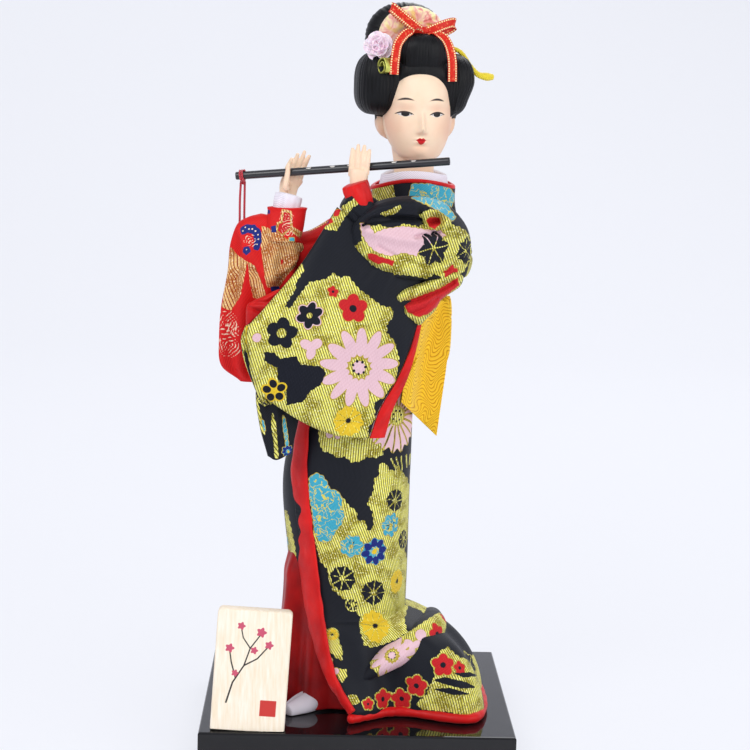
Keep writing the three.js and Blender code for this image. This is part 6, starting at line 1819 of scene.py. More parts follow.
skin, tree, shader = finish("painted moulded skin", Roughness=0.42, Specular_IOR_Level=0.3,
                            Subsurface_Weight=0.12,
                            Coat_Weight=0.06, Coat_Roughness=0.3)
shader.inputs["Subsurface Radius"].default_value = (1.0, 0.45, 0.3)
shader.inputs["Subsurface Scale"].default_value = 0.002
place = add(tree, "TexCoord").outputs
mottle = add(tree, "TexNoise", Vector=place["Object"], Scale=0.22 / MM, Detail=3.0)
pore = add(tree, "TexNoise", Vector=place["Object"], Scale=1.6 / MM, Detail=1.0)
flesh = add(tree, "ValToRGB", ramp=("#efd0b0", "#f8dfc2"), Fac=mottle)
# This attribute warms the skin: painted blush on the cheeks and lids, and painted shade on the sides of the
# face.
blush_and_shade = add(tree, "Attribute", {"attribute_name": "blush_and_shade"})
warm = add(tree, "Mix", {"data_type": "RGBA"}, i0=blush_and_shade.outputs["Fac"], i6=flesh, i7=colour("#e2a486"))
latest = warm.outputs[2]
for key, code in (("white", "#e4dcd6"), ("iris", "#100c0b"), ("lash", "#1e1412"), ("lips", "#c8141c"),
                  ("brow", "#2c2220")):
    inside = add(tree, "Attribute", {"attribute_name": key})
    soft = 0.14 if key == "brow" else 0.06
    edge = add(tree, "MapRange", i0=inside.outputs["Fac"], i1=-soft, i2=soft)
    painted = add(tree, "Mix", {"data_type": "RGBA"}, i0=edge, i6=latest, i7=colour(code))
    latest = painted.outputs[2]
bump = add(tree, "Bump", Height=pore, Strength=0.08, Distance=0.0001)
plug(shader, Base_Color=latest, Normal=bump)

FINGER_CLEAR = FLUTE_RADIUS + 1.15 + FIT_GAP
SKIN_KEYS = ("blush_and_shade", "white", "iris", "lash", "lips", "brow")


def bare_skin(count, flush):
    """Values for unpainted skin: none of the painted features, and an even flush."""
    return {key: np.full(count, flush if key == "blush_and_shade" else OUTSIDE) for key in SKIN_KEYS}


def beside_flute(distance, y, z):
    """A point beside the flute, in millimetres: along it from its left end, then ahead or behind, and up."""
    return FLUTE_LEFT + flute_axis * distance + np.array((0, y, z))


def moulded(limbs, side, voxel, rounds):
    """One smooth skin over several limbs. Each limb is a list of (point, half width, half depth).

    The limbs are closed tubes, fused by a voxel remesh and relaxed. Returns points in metres and faces.
    """
    tubes = [sweep([(*point, width, depth) for point, width, depth in limb], side, rows=22, columns=20,
                   cap=0.95)
             for limb in limbs]
    points, faces = together(*map(closed_tube, tubes))
    mesh = bpy.data.meshes.new("limbs")
    mesh.from_pydata(points.tolist(), [], faces)
    holder = bpy.data.objects.new("limbs", mesh)
    bpy.context.scene.collection.objects.link(holder)
    fuse = holder.modifiers.new("fuse", "REMESH")
    fuse.mode, fuse.voxel_size = "VOXEL", voxel * MM
    relax = holder.modifiers.new("relax", "SMOOTH")
    relax.factor, relax.iterations = 0.5, rounds
    bpy.context.view_layer.update()
    done = bpy.data.meshes.new_from_object(holder.evaluated_get(bpy.context.evaluated_depsgraph_get()))
    where = np.empty(len(done.vertices) * 3)
    done.vertices.foreach_get("co", where)
    skin_faces = [tuple(polygon.vertices) for polygon in done.polygons]
    bpy.data.objects.remove(holder)
    bpy.data.meshes.remove(mesh)
    bpy.data.meshes.remove(done)
    return outward(where.reshape(-1, 3), skin_faces)


def finger(root, knuckle, tip, size):
    """A tapered finger that bends at its knuckle."""
    root, knuckle, tip = (np.array(p, dtype=float) for p in (root, knuckle, tip))
    return [(root, size * 1.1, size * 1.1), ((root + knuckle) / 2, size, size),
            (knuckle, size * 1.02, size * 1.02),
            ((knuckle + tip) / 2, size * 0.88, size * 0.88), (tip, size * 0.7, size * 0.62)]


RIGHT_GRIP, LEFT_GRIP = 20.5, 48.5


def back_of(x, z, gap=0.0):
    """A point just behind the flute, beside the right hand's grip."""
    return beside_flute(RIGHT_GRIP + x, FINGER_CLEAR + gap, z)


def front_of(x, z, gap=0.0):
    """A point just before the flute, beside the left hand's grip."""
    return beside_flute(LEFT_GRIP + x, -FINGER_CLEAR - gap, z)


palm = back_of(0.6, -5.5, 1.2)
limbs = [[(RIGHT_WRIST - (0.4, 0.2, 3.0), 2.7, 2.7), (RIGHT_WRIST, 2.9, 2.5), (palm, 3.8, 2.2),
          (back_of(2.4, -2.4, 1.6), 4.1, 1.9)]]
for x, (tip_x, tip_z), lift in zip((-1.2, 0.9, 3.0, 5.0), ((1.4, 5.0), (3.8, 6.6), (6.5, 7.4), (8.4, 5.6)),
                                   (0.4, 0.7, 1.0, 1.3)):
    limbs.append(finger(back_of(x, -2.8, 0.8), back_of(x + (tip_x - x) * 0.42, 1.6, lift + 0.7),
                        back_of(tip_x, tip_z, lift), 1.05))
over = beside_flute(RIGHT_GRIP - 0.6, -FINGER_CLEAR, -5)
over_tip = beside_flute(RIGHT_GRIP + 0.4, -FINGER_CLEAR, 3.2)
limbs.append([(palm, 1.5, 1.5), (beside_flute(RIGHT_GRIP - 0.2, -1.0, -5.9), 1.35, 1.35),
              (over, 1.25, 1.25),
              ((over + over_tip) / 2 + (0.1, -0.2, 0), 1.1, 1.1), (over_tip, 0.85, 0.8)])
points, faces = moulded(limbs, (1, 0, 0), 0.3, 6)
piece("right_hand", points, faces, "doll", [skin], ["hand_right"],
      attributes=bare_skin(len(points), 0.12))

palm = front_of(-0.2, -4.6, 1.8)
limbs = [[(LEFT_WRIST - (-1.0, -0.2, 3.4), 2.7, 2.7), (LEFT_WRIST, 2.6, 2.5), (palm, 3.3, 2.1),
          (front_of(0.2, -1.6, 1.5), 3.5, 1.7)]]
for x, (tip_x, tip_z) in zip((-3, -1, 1, 3), ((-2.6, 7.4), (-0.4, 8.6), (2.0, 8.2), (4.0, 6.4))):
    limbs.append(finger(front_of(x, -2.2, 0.6), front_of(x + (tip_x - x) * 0.4, 2.4, 0.7),
                        front_of(tip_x, tip_z, 0), 1.08))
around = beside_flute(LEFT_GRIP + 2.6, FINGER_CLEAR, -4.2)
around_tip = beside_flute(LEFT_GRIP + 2.2, FINGER_CLEAR, 2.6)
limbs.append([(palm, 1.5, 1.5), (beside_flute(LEFT_GRIP + 1.8, 0, -5.3), 1.4, 1.4), (around, 1.3, 1.3),
              ((around + around_tip) / 2, 1.1, 1.1), (around_tip, 0.85, 0.8)])
points, faces = moulded(limbs, (1, 0, 0), 0.3, 6)
piece("left_hand", points, faces, "doll", [skin], ["hand_left"],
      attributes=bare_skin(len(points), 0.12))

# Head: one moulded shell with its neck, painted ivory. The brows, lids, irises and lips are brushed on.
# It turns on the neck peg, so everything on it rides on the head.

HEAD_PLACE, HEAD_TURN = np.array((17.4, -1.0, 238.0)), 0.17
SKULL = np.array([
    (-9.5, 0, 4.5, 4), (-7.3, 2.2, 8.4, 7.8), (-4.4, 7.5, 11.6, 12), (-2.3, 13, 13.5, 14.4),
    (-0.8, 20, 14.2, 16), (0, 27, 14.2, 16.4), (0, 33, 12.2, 14.4), (0, 37, 7.1, 8.8), (0, 39, 2, 2),
])
head_turn = np.array(Matrix.Rotation(HEAD_TURN, 3, "Z"))


def on_head(points):
    """Points of the head's own frame, in millimetres, as points of the model in metres."""
    return (np.asarray(points) @ head_turn.T + HEAD_PLACE) * MM


def bump_at(x, z, cx, cz, wide, tall):
    """A soft swelling: exp(-(dx / wide)^2 - (dz / tall)^2)."""
    return np.exp(-((x - cx) / wide) ** 2 - ((z - cz) / tall) ** 2)


# The face's middle line, and the heights of its features above the chin.
FACE_X, BROW_Z, EYE_Z, NOSE_Z, LIP_Z = -1.1, 23.6, 18.2, 12.4, 8.0
EYE_HALF, EYE_OUT, IRIS_OUT = 3.0, 6.2, 6.15

heights = 39 * (1 - np.cos(np.linspace(0.03, pi - 0.03, 225))) / 2
knots = along(SKULL, 600)
angle, z = np.meshgrid(circle(380), heights)
y0, w, d = (np.interp(z, knots[:, 1], knots[:, k]) for k in (0, 2, 3))
x, y = w * np.cos(angle), y0 + d * np.sin(angle)
ahead_share = smooth(0.1, 0.75, -np.sin(angle))
fx = x - FACE_X
relief = (2.6 * bump_at(fx, z, 0, NOSE_Z - 0.3, 1.35, 1.7) + 1.9 * bump_at(fx, z, 0, 15.2, 1.0, 3.4)
          + 0.55 * (bump_at(fx, z, 1.5, NOSE_Z - 1.2, 0.8, 0.9)
                    + bump_at(fx, z, -1.5, NOSE_Z - 1.2, 0.8, 0.9))
          - 0.7 * (bump_at(fx, z, EYE_OUT - 0.6, EYE_Z + 0.4, 3.6, 2.0)
                   + bump_at(fx, z, 0.6 - EYE_OUT, EYE_Z + 0.4, 3.6, 2.0))
          + 0.35 * (bump_at(fx, z, EYE_OUT - 0.5, EYE_Z, 2.6, 1.1)
                    + bump_at(fx, z, 0.5 - EYE_OUT, EYE_Z, 2.6, 1.1))
          + 0.5 * (bump_at(fx, z, 7, BROW_Z - 1, 4.2, 1.6) + bump_at(fx, z, -7, BROW_Z - 1, 4.2, 1.6))
          + 0.75 * bump_at(fx, z, 0, LIP_Z + 0.55, 1.9, 0.55)
          + 0.8 * bump_at(fx, z, 0, LIP_Z - 0.75, 1.6, 0.6)
          - 0.45 * bump_at(fx, z, 0, LIP_Z - 0.05, 2.0, 0.22)
          - 0.4 * bump_at(fx, z, 0, LIP_Z - 2.3, 2.4, 0.7)
          - 0.35 * bump_at(fx, z, 0, LIP_Z + 2.0, 0.6, 0.9) + 1.0 * bump_at(fx, z, 0, 3.2, 3.4, 2.0)
          + 0.5 * (bump_at(fx, z, 8, 11, 4, 4) + bump_at(fx, z, -8, 11, 4, 4)))
y = y - relief * ahead_share
face = on_head(np.stack([x, y, z], axis=-1))
front_side = np.where(np.sin(angle) < -0.2, 0.0, OUTSIDE)


def lens(dx, dz, half, tall, droop=0.0):
    """Distance inside an almond: half as tall as `tall` in the middle, pointed at `half` to each side."""
    u = dx / half
    rise = tall * (1 - u ** 2)
    return np.minimum(rise - (dz - droop * u), rise + 0.75 * (dz - droop * u)) * 0.8


eyes, iris, lash, brow = (np.full(x.shape, OUTSIDE) for _ in range(4))
for sign in (-1, 1):
    dx, dz = (fx - sign * EYE_OUT) * sign, z - EYE_Z
    almond = lens(dx, dz + 0.1, EYE_HALF, 0.78, 0.06)
    eyes = np.maximum(eyes, almond)
    iris = np.maximum(iris, np.minimum(1 - np.hypot((fx - sign * IRIS_OUT) / 1.5, (dz + 0.05) / 1.05),
                                       almond + 0.1))
    lid = np.abs(dz - (0.76 * (1 - (dx / EYE_HALF) ** 2) - 0.1 + 0.06 * dx))
    heavy = 0.34 * np.sqrt(np.clip(1 - ((dx - 0.2) / 3.5) ** 2, 0, 1))
    lash = np.maximum(lash, np.minimum(heavy - lid, 3.5 - np.abs(dx - 0.2)))
    lower = np.abs(dz + 0.66 * (1 - (dx / EYE_HALF) ** 2))
    lash = np.maximum(lash, np.minimum(0.1 - lower, 2.6 - np.abs(dx - 0.3)))
    bx = (fx - sign * 5.7) * sign
    arch = BROW_Z + 0.8 * (1 - ((bx - 0.4) / 3.4) ** 2) - 0.5
    thick = 0.42 * (1 - np.clip(np.abs(bx - 0.5) / 3.3, 0, 1) ** 2)
    brow = np.maximum(brow, np.minimum(thick - np.abs(z - arch), 3.3 - np.abs(bx)))
upper_lip = np.minimum(1.05 * (1 - (fx / 1.95) ** 2) - 0.4 * np.exp(-(fx / 0.4) ** 2) - (z - LIP_Z),
                       z - LIP_Z + 0.12)
lower_lip = np.minimum(1.65 * (1 - (fx / 1.7) ** 2) + (z - LIP_Z), LIP_Z - z + 0.12)
lips = np.maximum(upper_lip, lower_lip)
# Painted blush on the cheeks and the upper lids, painted shade on the sides of the face, and a warm tint
# under the nostrils and towards the chin.
blush_and_shade = (0.34 * (bump_at(fx, z, 9.5, 12.5, 5.0, 5.2) + bump_at(fx, z, -9.5, 12.5, 5.0, 5.2))
         + 0.30 * (bump_at(fx, z, 6.4, 20.4, 4.0, 1.8) + bump_at(fx, z, -6.4, 20.4, 4.0, 1.8))
         + 0.3 * (bump_at(fx, z, 1.3, NOSE_Z - 1.9, 0.9, 0.5)
                  + bump_at(fx, z, -1.3, NOSE_Z - 1.9, 0.9, 0.5))
         + 0.34 * smooth(8, 13, np.abs(fx)) + 0.22 * bump_at(fx, z, 0, 4.6, 5.0, 2.6)
         + 0.22 * smooth(9, 0, z))
skull_points, skull_faces = closed_tube(face)
around_face = {"blush_and_shade": blush_and_shade, "white": eyes, "iris": iris, "lash": lash, "lips": lips, "brow": brow}
head_values = {key: with_poles(np.where(front_side < 0, 0.1 if key == "blush_and_shade" else OUTSIDE, values).ravel())
               for key, values in around_face.items()}

NECK_STATIONS = [(0, 0, -13, 8.6, 8.6), (0, 0, -8, 8.2, 8.2), (0, 0.2, -3, 8.0, 8.0), (0, 0.4, 4, 9.0, 10),
                 (0, 0.5, 10, 10.2, 11.6)]
neck_grid = on_head(level_rings(NECK_STATIONS, 60, 90) / MM)
shells = [(skull_points, skull_faces), closed_tube(neck_grid)]
for sign in (-1, 1):
    a, b = np.meshgrid(circle(44), np.linspace(0.05, pi - 0.05, 40))
    ear_rim = 0.7 * np.exp(-((np.hypot(np.cos(b), np.sin(b) * np.sin(a)) - 0.72) / 0.16) ** 2)
    taper = 1 - 0.3 * smooth(0.3, -1, np.cos(b))
    tuck = 0.06 * np.maximum(1.0 - 6.3 * np.cos(b), 0) ** 2
    ear = np.stack([sign * (13.9 - tuck + (2.1 + ear_rim) * np.sin(b) * np.cos(a)),
                    1.0 + 3.5 * taper * np.sin(b) * np.sin(a), 14.0 + 6.3 * np.cos(b)], axis=-1)
    shells.append(closed_tube(on_head(ear)))
plain = [bare_skin(len(points), flush) for (points, _), flush in zip(shells[1:], (0.16, 0.35, 0.35))]
points, faces = together(*shells)
piece("painted_head", points, faces, "head", [skin], ["head"], attributes={
    key: np.concatenate([values, *(part[key] for part in plain)]) for key, values in head_values.items()})


# Hair: fine black rayon fibre, waxed and combed into rolls over padding, each roll bound and glued to the
# wig's cap. The comb leaves close parallel lines, and the wax gives a streaked grey shine across the tops
# of the rolls. Real fibres are 0.05 mm thick. The combed lines are drawn 0.35 mm apart.

hair, tree, shader = finish("waxed black rayon hair", Roughness=0.34, Specular_IOR_Level=0.2)
place = add(tree, "TexCoord").outputs
combed = add(tree, "Mapping", Vector=place["UV"], Scale=(1.0, 0.03, 1.0))
strands = add(tree, "TexNoise", Vector=combed, Scale=2.6 / MM, Detail=3.0, Roughness=0.7)
locks = add(tree, "TexNoise", Vector=combed, Scale=0.48 / MM, Detail=2.0)
black = add(tree, "ValToRGB", ramp=("#040405", "#131418"), places=(0.35, 0.75), Fac=strands)
gloss = add(tree, "MapRange", i0=strands, i1=0.3, i2=0.7, i3=0.28, i4=0.55)
both = add(tree, "Math", {"operation": "MULTIPLY_ADD"}, i0=locks, i1=1.4, i2=strands)
bump = add(tree, "Bump", Height=both, Strength=0.55, Distance=0.0003)
plug(shader, Base_Color=black, Roughness=gloss, Normal=bump)


def combed_roll(centre, halves, axis, power=2.0, rows=90, columns=240, seed=1, depth=0.16, shape=None):
    """A rounded bundle of combed hair with its poles on one axis (0 for x, 1 for y, 2 for z).

    It is the ball |x/a|^p + |y/b|^p + |z/c|^p = 1. Fine grooves run from pole to pole: sums of sines
    round the axis. Returns points in the head's millimetres, faces, and cloth places (round the axis,
    and along it).
    """
    a, b = np.meshgrid(circle(columns), np.linspace(0.02, pi - 0.02, rows))
    ball = [np.cos(b), np.sin(b) * np.cos(a), np.sin(b) * np.sin(a)]
    unit = np.stack([ball[(k - axis) % 3] for k in range(3)], axis=-1)
    unit = unit / (np.abs(unit) ** power).sum(axis=-1, keepdims=True) ** (1 / power)
    random = np.random.default_rng(seed)
    groove = np.zeros_like(a)
    for _ in range(7):
        groove += random.uniform(0.3, 1) * np.sin(random.integers(9, 60) * a + random.uniform(0, 6)
                                                  + random.uniform(-1, 1) * np.sin(2 * b))
    grow = 1 + depth * groove * np.sin(b) ** 0.6 / 4 / np.mean(halves)
    points = unit * np.array(halves) * grow[..., None]
    if shape is not None:
        points = shape(points)
    points = points + np.array(centre)
    p, f = closed_tube(on_head(points))
    uv = np.stack([a * np.mean(halves) * MM, b * np.mean(halves) * MM], axis=-1).reshape(-1, 2)
    return p, f, with_poles(uv)


def hair_piece(name, node, made, materials=None):
    """A bundle of hair as a piece that rides on the head."""
    points, faces, uv = made
    return piece(name, points, faces, "head", materials or [hair], [node], uv=uv)


# The cap follows the skull. It is thin at the hairline, an arch over the forehead, and dips under the skin
# inside it.
HAIRLINE = {"half": 11.9, "start": 16.0, "height": 16.5, "power": 2.4}

heights = np.linspace(4.0, 38.9, 210)
angle, z = np.meshgrid(circle(420), heights)
y0, w, d = (np.interp(z, knots[:, 1], knots[:, k]) for k in (0, 2, 3))
x, y = w * np.cos(angle), y0 + d * np.sin(angle)
across, up = np.abs(x + 0.9) / HAIRLINE["half"], np.maximum(z - HAIRLINE["start"], 0) / HAIRLINE["height"]
arch = ((across ** HAIRLINE["power"] + up ** HAIRLINE["power"]) ** (1 / HAIRLINE["power"])
        - 1) * HAIRLINE["half"]
in_front = smooth(-1, -4, y)
arch = arch * in_front + 6 * (1 - in_front)
edge_below = z - (16.5 - 10.5 * smooth(-5, 9, y))
from_edge = np.minimum(arch, edge_below)
full = 2.4 + 2.0 * smooth(28, 38, z)
lift = -0.7 + (full + 0.7) * smooth(-0.3, 3.4, from_edge) + 0.07 * np.sin(70 * angle
    + 3 * np.sin(0.3 * z)) * smooth(0.5, 3, from_edge)
skull_grid = np.stack([x, y, z], axis=-1)
n = turned_to(ring_normals(skull_grid), skull_grid * (1, 1, 0))
points, faces = closed_tube(on_head(skull_grid + n * lift[..., None]))
uv = np.stack([angle * 14 * MM, z * MM], axis=-1).reshape(-1, 2)
hair_piece("combed_wig_cap", "wig_cap", (points, faces, with_poles(uv)))

hair_piece("combed_back_hair", "back_hair", combed_roll((0, 15, 17), (12.6, 9.6, 12.2), 2, seed=5))


def side_shape(points):
    """Pulls the lower outer corner of a side roll down and flattens its bottom, as padding makes it hang."""
    points = points.copy()
    low = smooth(0, 1, -points[..., 2] / 12.5)
    points[..., 0] *= 1 + 0.06 * low
    points[..., 0] -= 2.3 * smooth(0, 4, points[..., 0]) * smooth(2, -7, points[..., 2])
    points[..., 2] = np.maximum(points[..., 2], -12.4 + 0.02 * points[..., 0] ** 2)
    return points


for sign, x in ((1, 12.8), (-1, -14.3)):
    hair_piece(f"combed_side_roll_{'left' if sign > 0 else 'right'}",
               f"side_bun_{'left' if sign > 0 else 'right'}",
               combed_roll((x, 1, 29.5), (10.1, 13.0, 12.6), 2, power=2.7, seed=7 + sign, shape=side_shape))


def front_shape(points):
    """Narrows the front roll towards its top and rolls its lower edge under."""
    points = points.copy()
    up = np.clip(points[..., 2] / 8.1, -1, 1)
    points[..., 0] *= 1 + 0.08 * smooth(0.2, -1, up) - 0.1 * smooth(0.3, 1, up)
    points[..., 1] *= 1 - 0.12 * smooth(0.0, -1, up)
    return points


hair_piece("combed_front_roll", "front_roll",
           combed_roll((0.2, -6.0, 41.2), (9.6, 9.0, 8.5), 2, power=2.7, rows=110, columns=250, seed=11,
                       shape=front_shape))
hair_piece("combed_top_bun", "top_bun",
           combed_roll((-3.5, 8, 47), (16.1, 9.6, 14.6), 1, power=2.2, seed=13))

# The cloth in the top bun: a puff of pink and gold figured silk, gathered at the ribbon's knot.

puff, tree, shader = finish("pink figured silk", Roughness=0.55, Sheen_Weight=0.3)
place = add(tree, "TexCoord").outputs
scrolls = add(tree, "TexVoronoi", {"feature": "SMOOTH_F1"}, Vector=place["Object"], Scale=0.33 / MM)
bloom = add(tree, "TexNoise", Vector=place["Object"], Scale=0.21 / MM, Detail=2.0, Distortion=1.2)
base = add(tree, "ValToRGB", ramp=("#e08078", "#f6eca8", "#f2c8b4"), places=(0.38, 0.62, 0.5), Fac=bloom)
veil = add(tree, "MapRange", i0=scrolls, i1=0.5, i2=0.62)
gold_line = add(tree, "Mix", {"data_type": "RGBA"}, i0=veil, i6=base, i7=colour("#e6c070"))
weft = add(tree, "TexWave", {"bands_direction": "Z"}, Vector=place["Object"], Scale=WAVE_TURN / FLOSS_SPACING)
bump = add(tree, "Bump", Height=weft, Strength=0.3, Distance=0.0001)
plug(shader, Base_Color=gold_line.outputs[2], Normal=bump)


def gathered(points):
    """Folds that fan out from the knot at the front of the puff."""
    points = points.copy()
    angle = np.arctan2(points[..., 2] - 6, points[..., 0] - 2)
    reach = np.hypot(points[..., 2] - 6, points[..., 0] - 2)
    points[..., 1] += -0.5 * np.cos(13 * angle) * smooth(1, 5, reach) * smooth(13, 7, reach)
    points[..., 1] += 1.6 * np.exp(-(reach / 3) ** 2)
    return points


puff_made = combed_roll((-1.9, 1, 47.5), (14, 5.2, 12.5), 1, rows=110, columns=200, depth=0.0,
                        shape=gathered)
hair_piece("figured_bun_puff", "bun_cloth", puff_made, [puff])

# Ribbon: red satin with a dotted gold thread along both edges, tied in a bow in front of the puff.
# Its two tails hang down beside the front roll.

ribbon, tree, shader = finish("red ribbon with gold edges", Roughness=0.4, Specular_IOR_Level=0.25,
                              Sheen_Weight=0.05)
place = add(tree, "TexCoord").outputs
split = add(tree, "SeparateXYZ", i0=place["UV"])
off_middle = add(tree, "Math", {"operation": "ABSOLUTE"}, i0=split)
edge_line = add(tree, "Math", {"operation": "COMPARE"}, i0=off_middle, i1=0.76, i2=0.15)
dash = add(tree, "Math", {"operation": "MODULO"}, i0=split.outputs[1], i1=0.95)
dotted = add(tree, "Math", {"operation": "LESS_THAN"}, i0=dash, i1=0.55)
gold_dots = add(tree, "Math", {"operation": "MULTIPLY"}, i0=edge_line, i1=dotted)
fine = add(tree, "TexNoise", Vector=place["Object"], Scale=1.1 / MM, Detail=2.0)
red = add(tree, "ValToRGB", ramp=("#b81608", "#e02c16"), Fac=fine)
speckle = add(tree, "MapRange", i0=fine, i1=0.6, i2=0.66, i3=0.0, i4=0.5)
flecked = add(tree, "Mix", {"data_type": "RGBA"}, i0=speckle, i6=red, i7=colour("#f0a060"))
trimmed = add(tree, "Mix", {"data_type": "RGBA"}, i0=gold_dots, i6=flecked.outputs[2], i7=colour("#f8e6a8"))
bump = add(tree, "Bump", Height=gold_dots, Strength=0.6, Distance=0.0002)
plug(shader, Base_Color=trimmed.outputs[2], Normal=bump)

RIBBON_HALF = 1.8


def ribbon_strip(path, side, half, thick=0.5, rows=90, fold=0.25):
    """A flat strip along a spline through points, wide along `side`, with edges that curl back a little."""
    line = along(path, rows)
    tangent = np.gradient(line, axis=0)
    tangent /= np.linalg.norm(tangent, axis=1, keepdims=True)
    across = np.cross(tangent, side)
    across /= np.linalg.norm(across, axis=1, keepdims=True)
    wide = np.cross(across, tangent)
    u = np.linspace(-1, 1, 25)
    lift = -fold * u ** 2
    grid = line[:, None] + wide[:, None] * (half * u)[None, :, None] + across[:, None] * lift[None, :, None]
    front, back = grid + across[:, None] * thick / 2, grid - across[:, None] * thick / 2
    points, faces, parts = shell(on_head(front), on_head(back))
    length = np.concatenate([[0], np.cumsum(np.linalg.norm(np.diff(line, axis=0), axis=1))])
    uv = np.stack([np.tile(u, rows), np.repeat(length, 25)], axis=-1)
    return points, faces, np.concatenate([uv, uv])


RIBBONS = {
    "ribbon_tail_right": [(-0.6, -9.6, 49.4), (-6.0, -10.4, 49.6), (-10.4, -12.4, 45.2),
                           (-12.0, -14.6, 39), (-12.2, -14.4, 33.0)],
    "ribbon_tail_left": [(1.2, -9.6, 49.2), (6.6, -10.6, 48.8), (9.6, -12.2, 45), (10.8, -14.0, 39),
                          (11.2, -14.0, 31.0)],
}
for name, path in RIBBONS.items():
    made = ribbon_strip(path, (1, 0, 0), RIBBON_HALF)
    tail = hair_piece(f"{name}_silk", name, made, [ribbon])

LOOPS = {
    "ribbon_loop_right": [(-0.6, -9.0, 49.8), (-4.2, -9.0, 52.4), (-8.2, -7.8, 55.6), (-11.6, -6.6, 58.4),
                           (-12.0, -5.2, 58.6), (-8.6, -5.6, 55.6), (-4.6, -6.2, 52.6), (-0.8, -6.8, 50.2)],
    "ribbon_loop_left": [(1.4, -9.0, 49.8), (5.0, -9.8, 51.4), (9.0, -9.2, 53.0), (12.4, -7.6, 53.8),
                          (12.9, -6.0, 52.6), (9.8, -6.0, 50.6), (6.0, -6.6, 49.4), (2.2, -7.0, 49.2)],
}
for name, path in LOOPS.items():
    made = ribbon_strip(path, (0.2, 0, 1), RIBBON_HALF + 0.1, thick=0.4, rows=120, fold=0.1)
    loop = hair_piece(f"{name}_silk", name, made, [ribbon])

knot_made = combed_roll((0.3, -8.8, 49.4), (2.3, 2.0, 2.0), 0, rows=50, columns=80, depth=0.9, seed=2)
knot_uv = np.stack([np.zeros(len(knot_made[2])), knot_made[2][:, 0] / MM], axis=-1)
hair_piece("ribbon_bow_knot", "ribbon_knot", (knot_made[0], knot_made[1], knot_uv),
                     [ribbon])

# Hair flower: a rosette of pale pink silk, its petals cut out, curled over a warm iron and sewn at the
# middle.

petal_silk, tree, shader = finish("pale pink silk petals", Roughness=0.6, Subsurface_Weight=0.1,
                                  Sheen_Weight=0.3)
shader.inputs["Subsurface Scale"].default_value = 0.001
place = add(tree, "TexCoord").outputs
tint = add(tree, "TexNoise", Vector=place["Object"], Scale=0.26 / MM, Detail=2.0)
pink = add(tree, "ValToRGB", ramp=("#fadcea", "#fff6fb"), places=(0.35, 0.65), Fac=tint)
weave = add(tree, "TexNoise", Vector=place["Object"], Scale=1.5 / MM, Detail=1.0)
bump = add(tree, "Bump", Height=weave, Strength=0.3, Distance=0.0001)
plug(shader, Base_Color=pink, Normal=bump)


def petal_shell(centre, out, up, reach, wide, cup, thick=0.28):
    """A cupped petal: a disc of polar coordinates, drawn out along `up`, with its rim raised along `out`."""
    a, r = np.meshgrid(np.linspace(0, 2 * pi, 40), np.linspace(0.03, 1, 16))
    side = np.cross(up, out)
    long = r * np.cos(a)
    body = (centre + up * (reach * (0.5 + 0.5 * long))[..., None] + side * (wide * r * np.sin(a))[..., None]
            + out * (cup * r ** 2 + 0.25 * r * np.sin(5 * a))[..., None])
    return shell(on_head(body), on_head(body - out * thick))


flower_middle = np.array((-17.2, -7.2, 43.6))
flower_out = np.array((-0.28, -0.93, 0.15))
flower_out /= np.linalg.norm(flower_out)
petals = []
for ring, (count, reach, wide, cup, lift) in enumerate(((5, 5.9, 3.4, 1.2, 0.0), (4, 4.2, 2.8, 2.0, 0.8),
                                                        (3, 2.5, 1.9, 2.2, 1.6))):
    for k in range(count):
        turned = 2 * pi * k / count + 0.5 * ring
        up = np.cross(flower_out, (0, 0, 1))
        up /= np.linalg.norm(up)
        other = np.cross(flower_out, up)
        direction = up * cos(turned) + other * sin(turned)
        petals.append(petal_shell(flower_middle + flower_out * lift, flower_out, direction, reach, wide,
                                  cup))
points, faces = together(*petals)
piece("silk_hair_flower", points, faces, "head", [petal_silk], ["hair_flower"])

# Gold curl: a strip of gilt paper rolled up on itself, glued under the flower.

gilt, tree, shader = finish("gilt paper foil", Metallic=0.75, Roughness=0.32)
place = add(tree, "TexCoord").outputs
crinkle = add(tree, "TexNoise", Vector=place["Object"], Scale=0.7 / MM, Detail=3.0)
leaf = add(tree, "ValToRGB", ramp=("#a8a838", "#e0e07c"), Fac=crinkle)
bump = add(tree, "Bump", Height=crinkle, Strength=0.3, Distance=0.0002)
plug(shader, Base_Color=leaf, Normal=bump)
turn, wide = np.meshgrid(np.linspace(0, 2 * pi * 1.6, 130), np.linspace(-2.7, 2.7, 16), indexing="ij")
curl_middle, curl_axis = np.array((-14.6, -11.6, 36.0)), np.array((-0.9, -0.43, 0.0))
curl_side = np.cross(curl_axis, (0, 0, 1))
curl_side /= np.linalg.norm(curl_side)
radius = 1.3 + 1.9 * turn / (2 * pi * 1.6) + 0.1 * np.sin(4 * turn)


def curl_at(radius):
    """Points of the rolled strip at distances from its axis, a little taller than wide."""
    return (curl_middle + curl_axis * wide[..., None] + curl_side * (radius * np.cos(turn))[..., None]
            + np.array((0, 0, 1.2)) * (radius * np.sin(turn))[..., None])


points, faces, parts = shell(on_head(curl_at(radius)), on_head(curl_at(radius - 0.35)))
piece("gilt_curl", points, faces, "head", [gilt], ["gold_curl"])

# Hair stick: a stem wrapped in yellow floss that ends in a small tassel, pushed in behind the left roll.

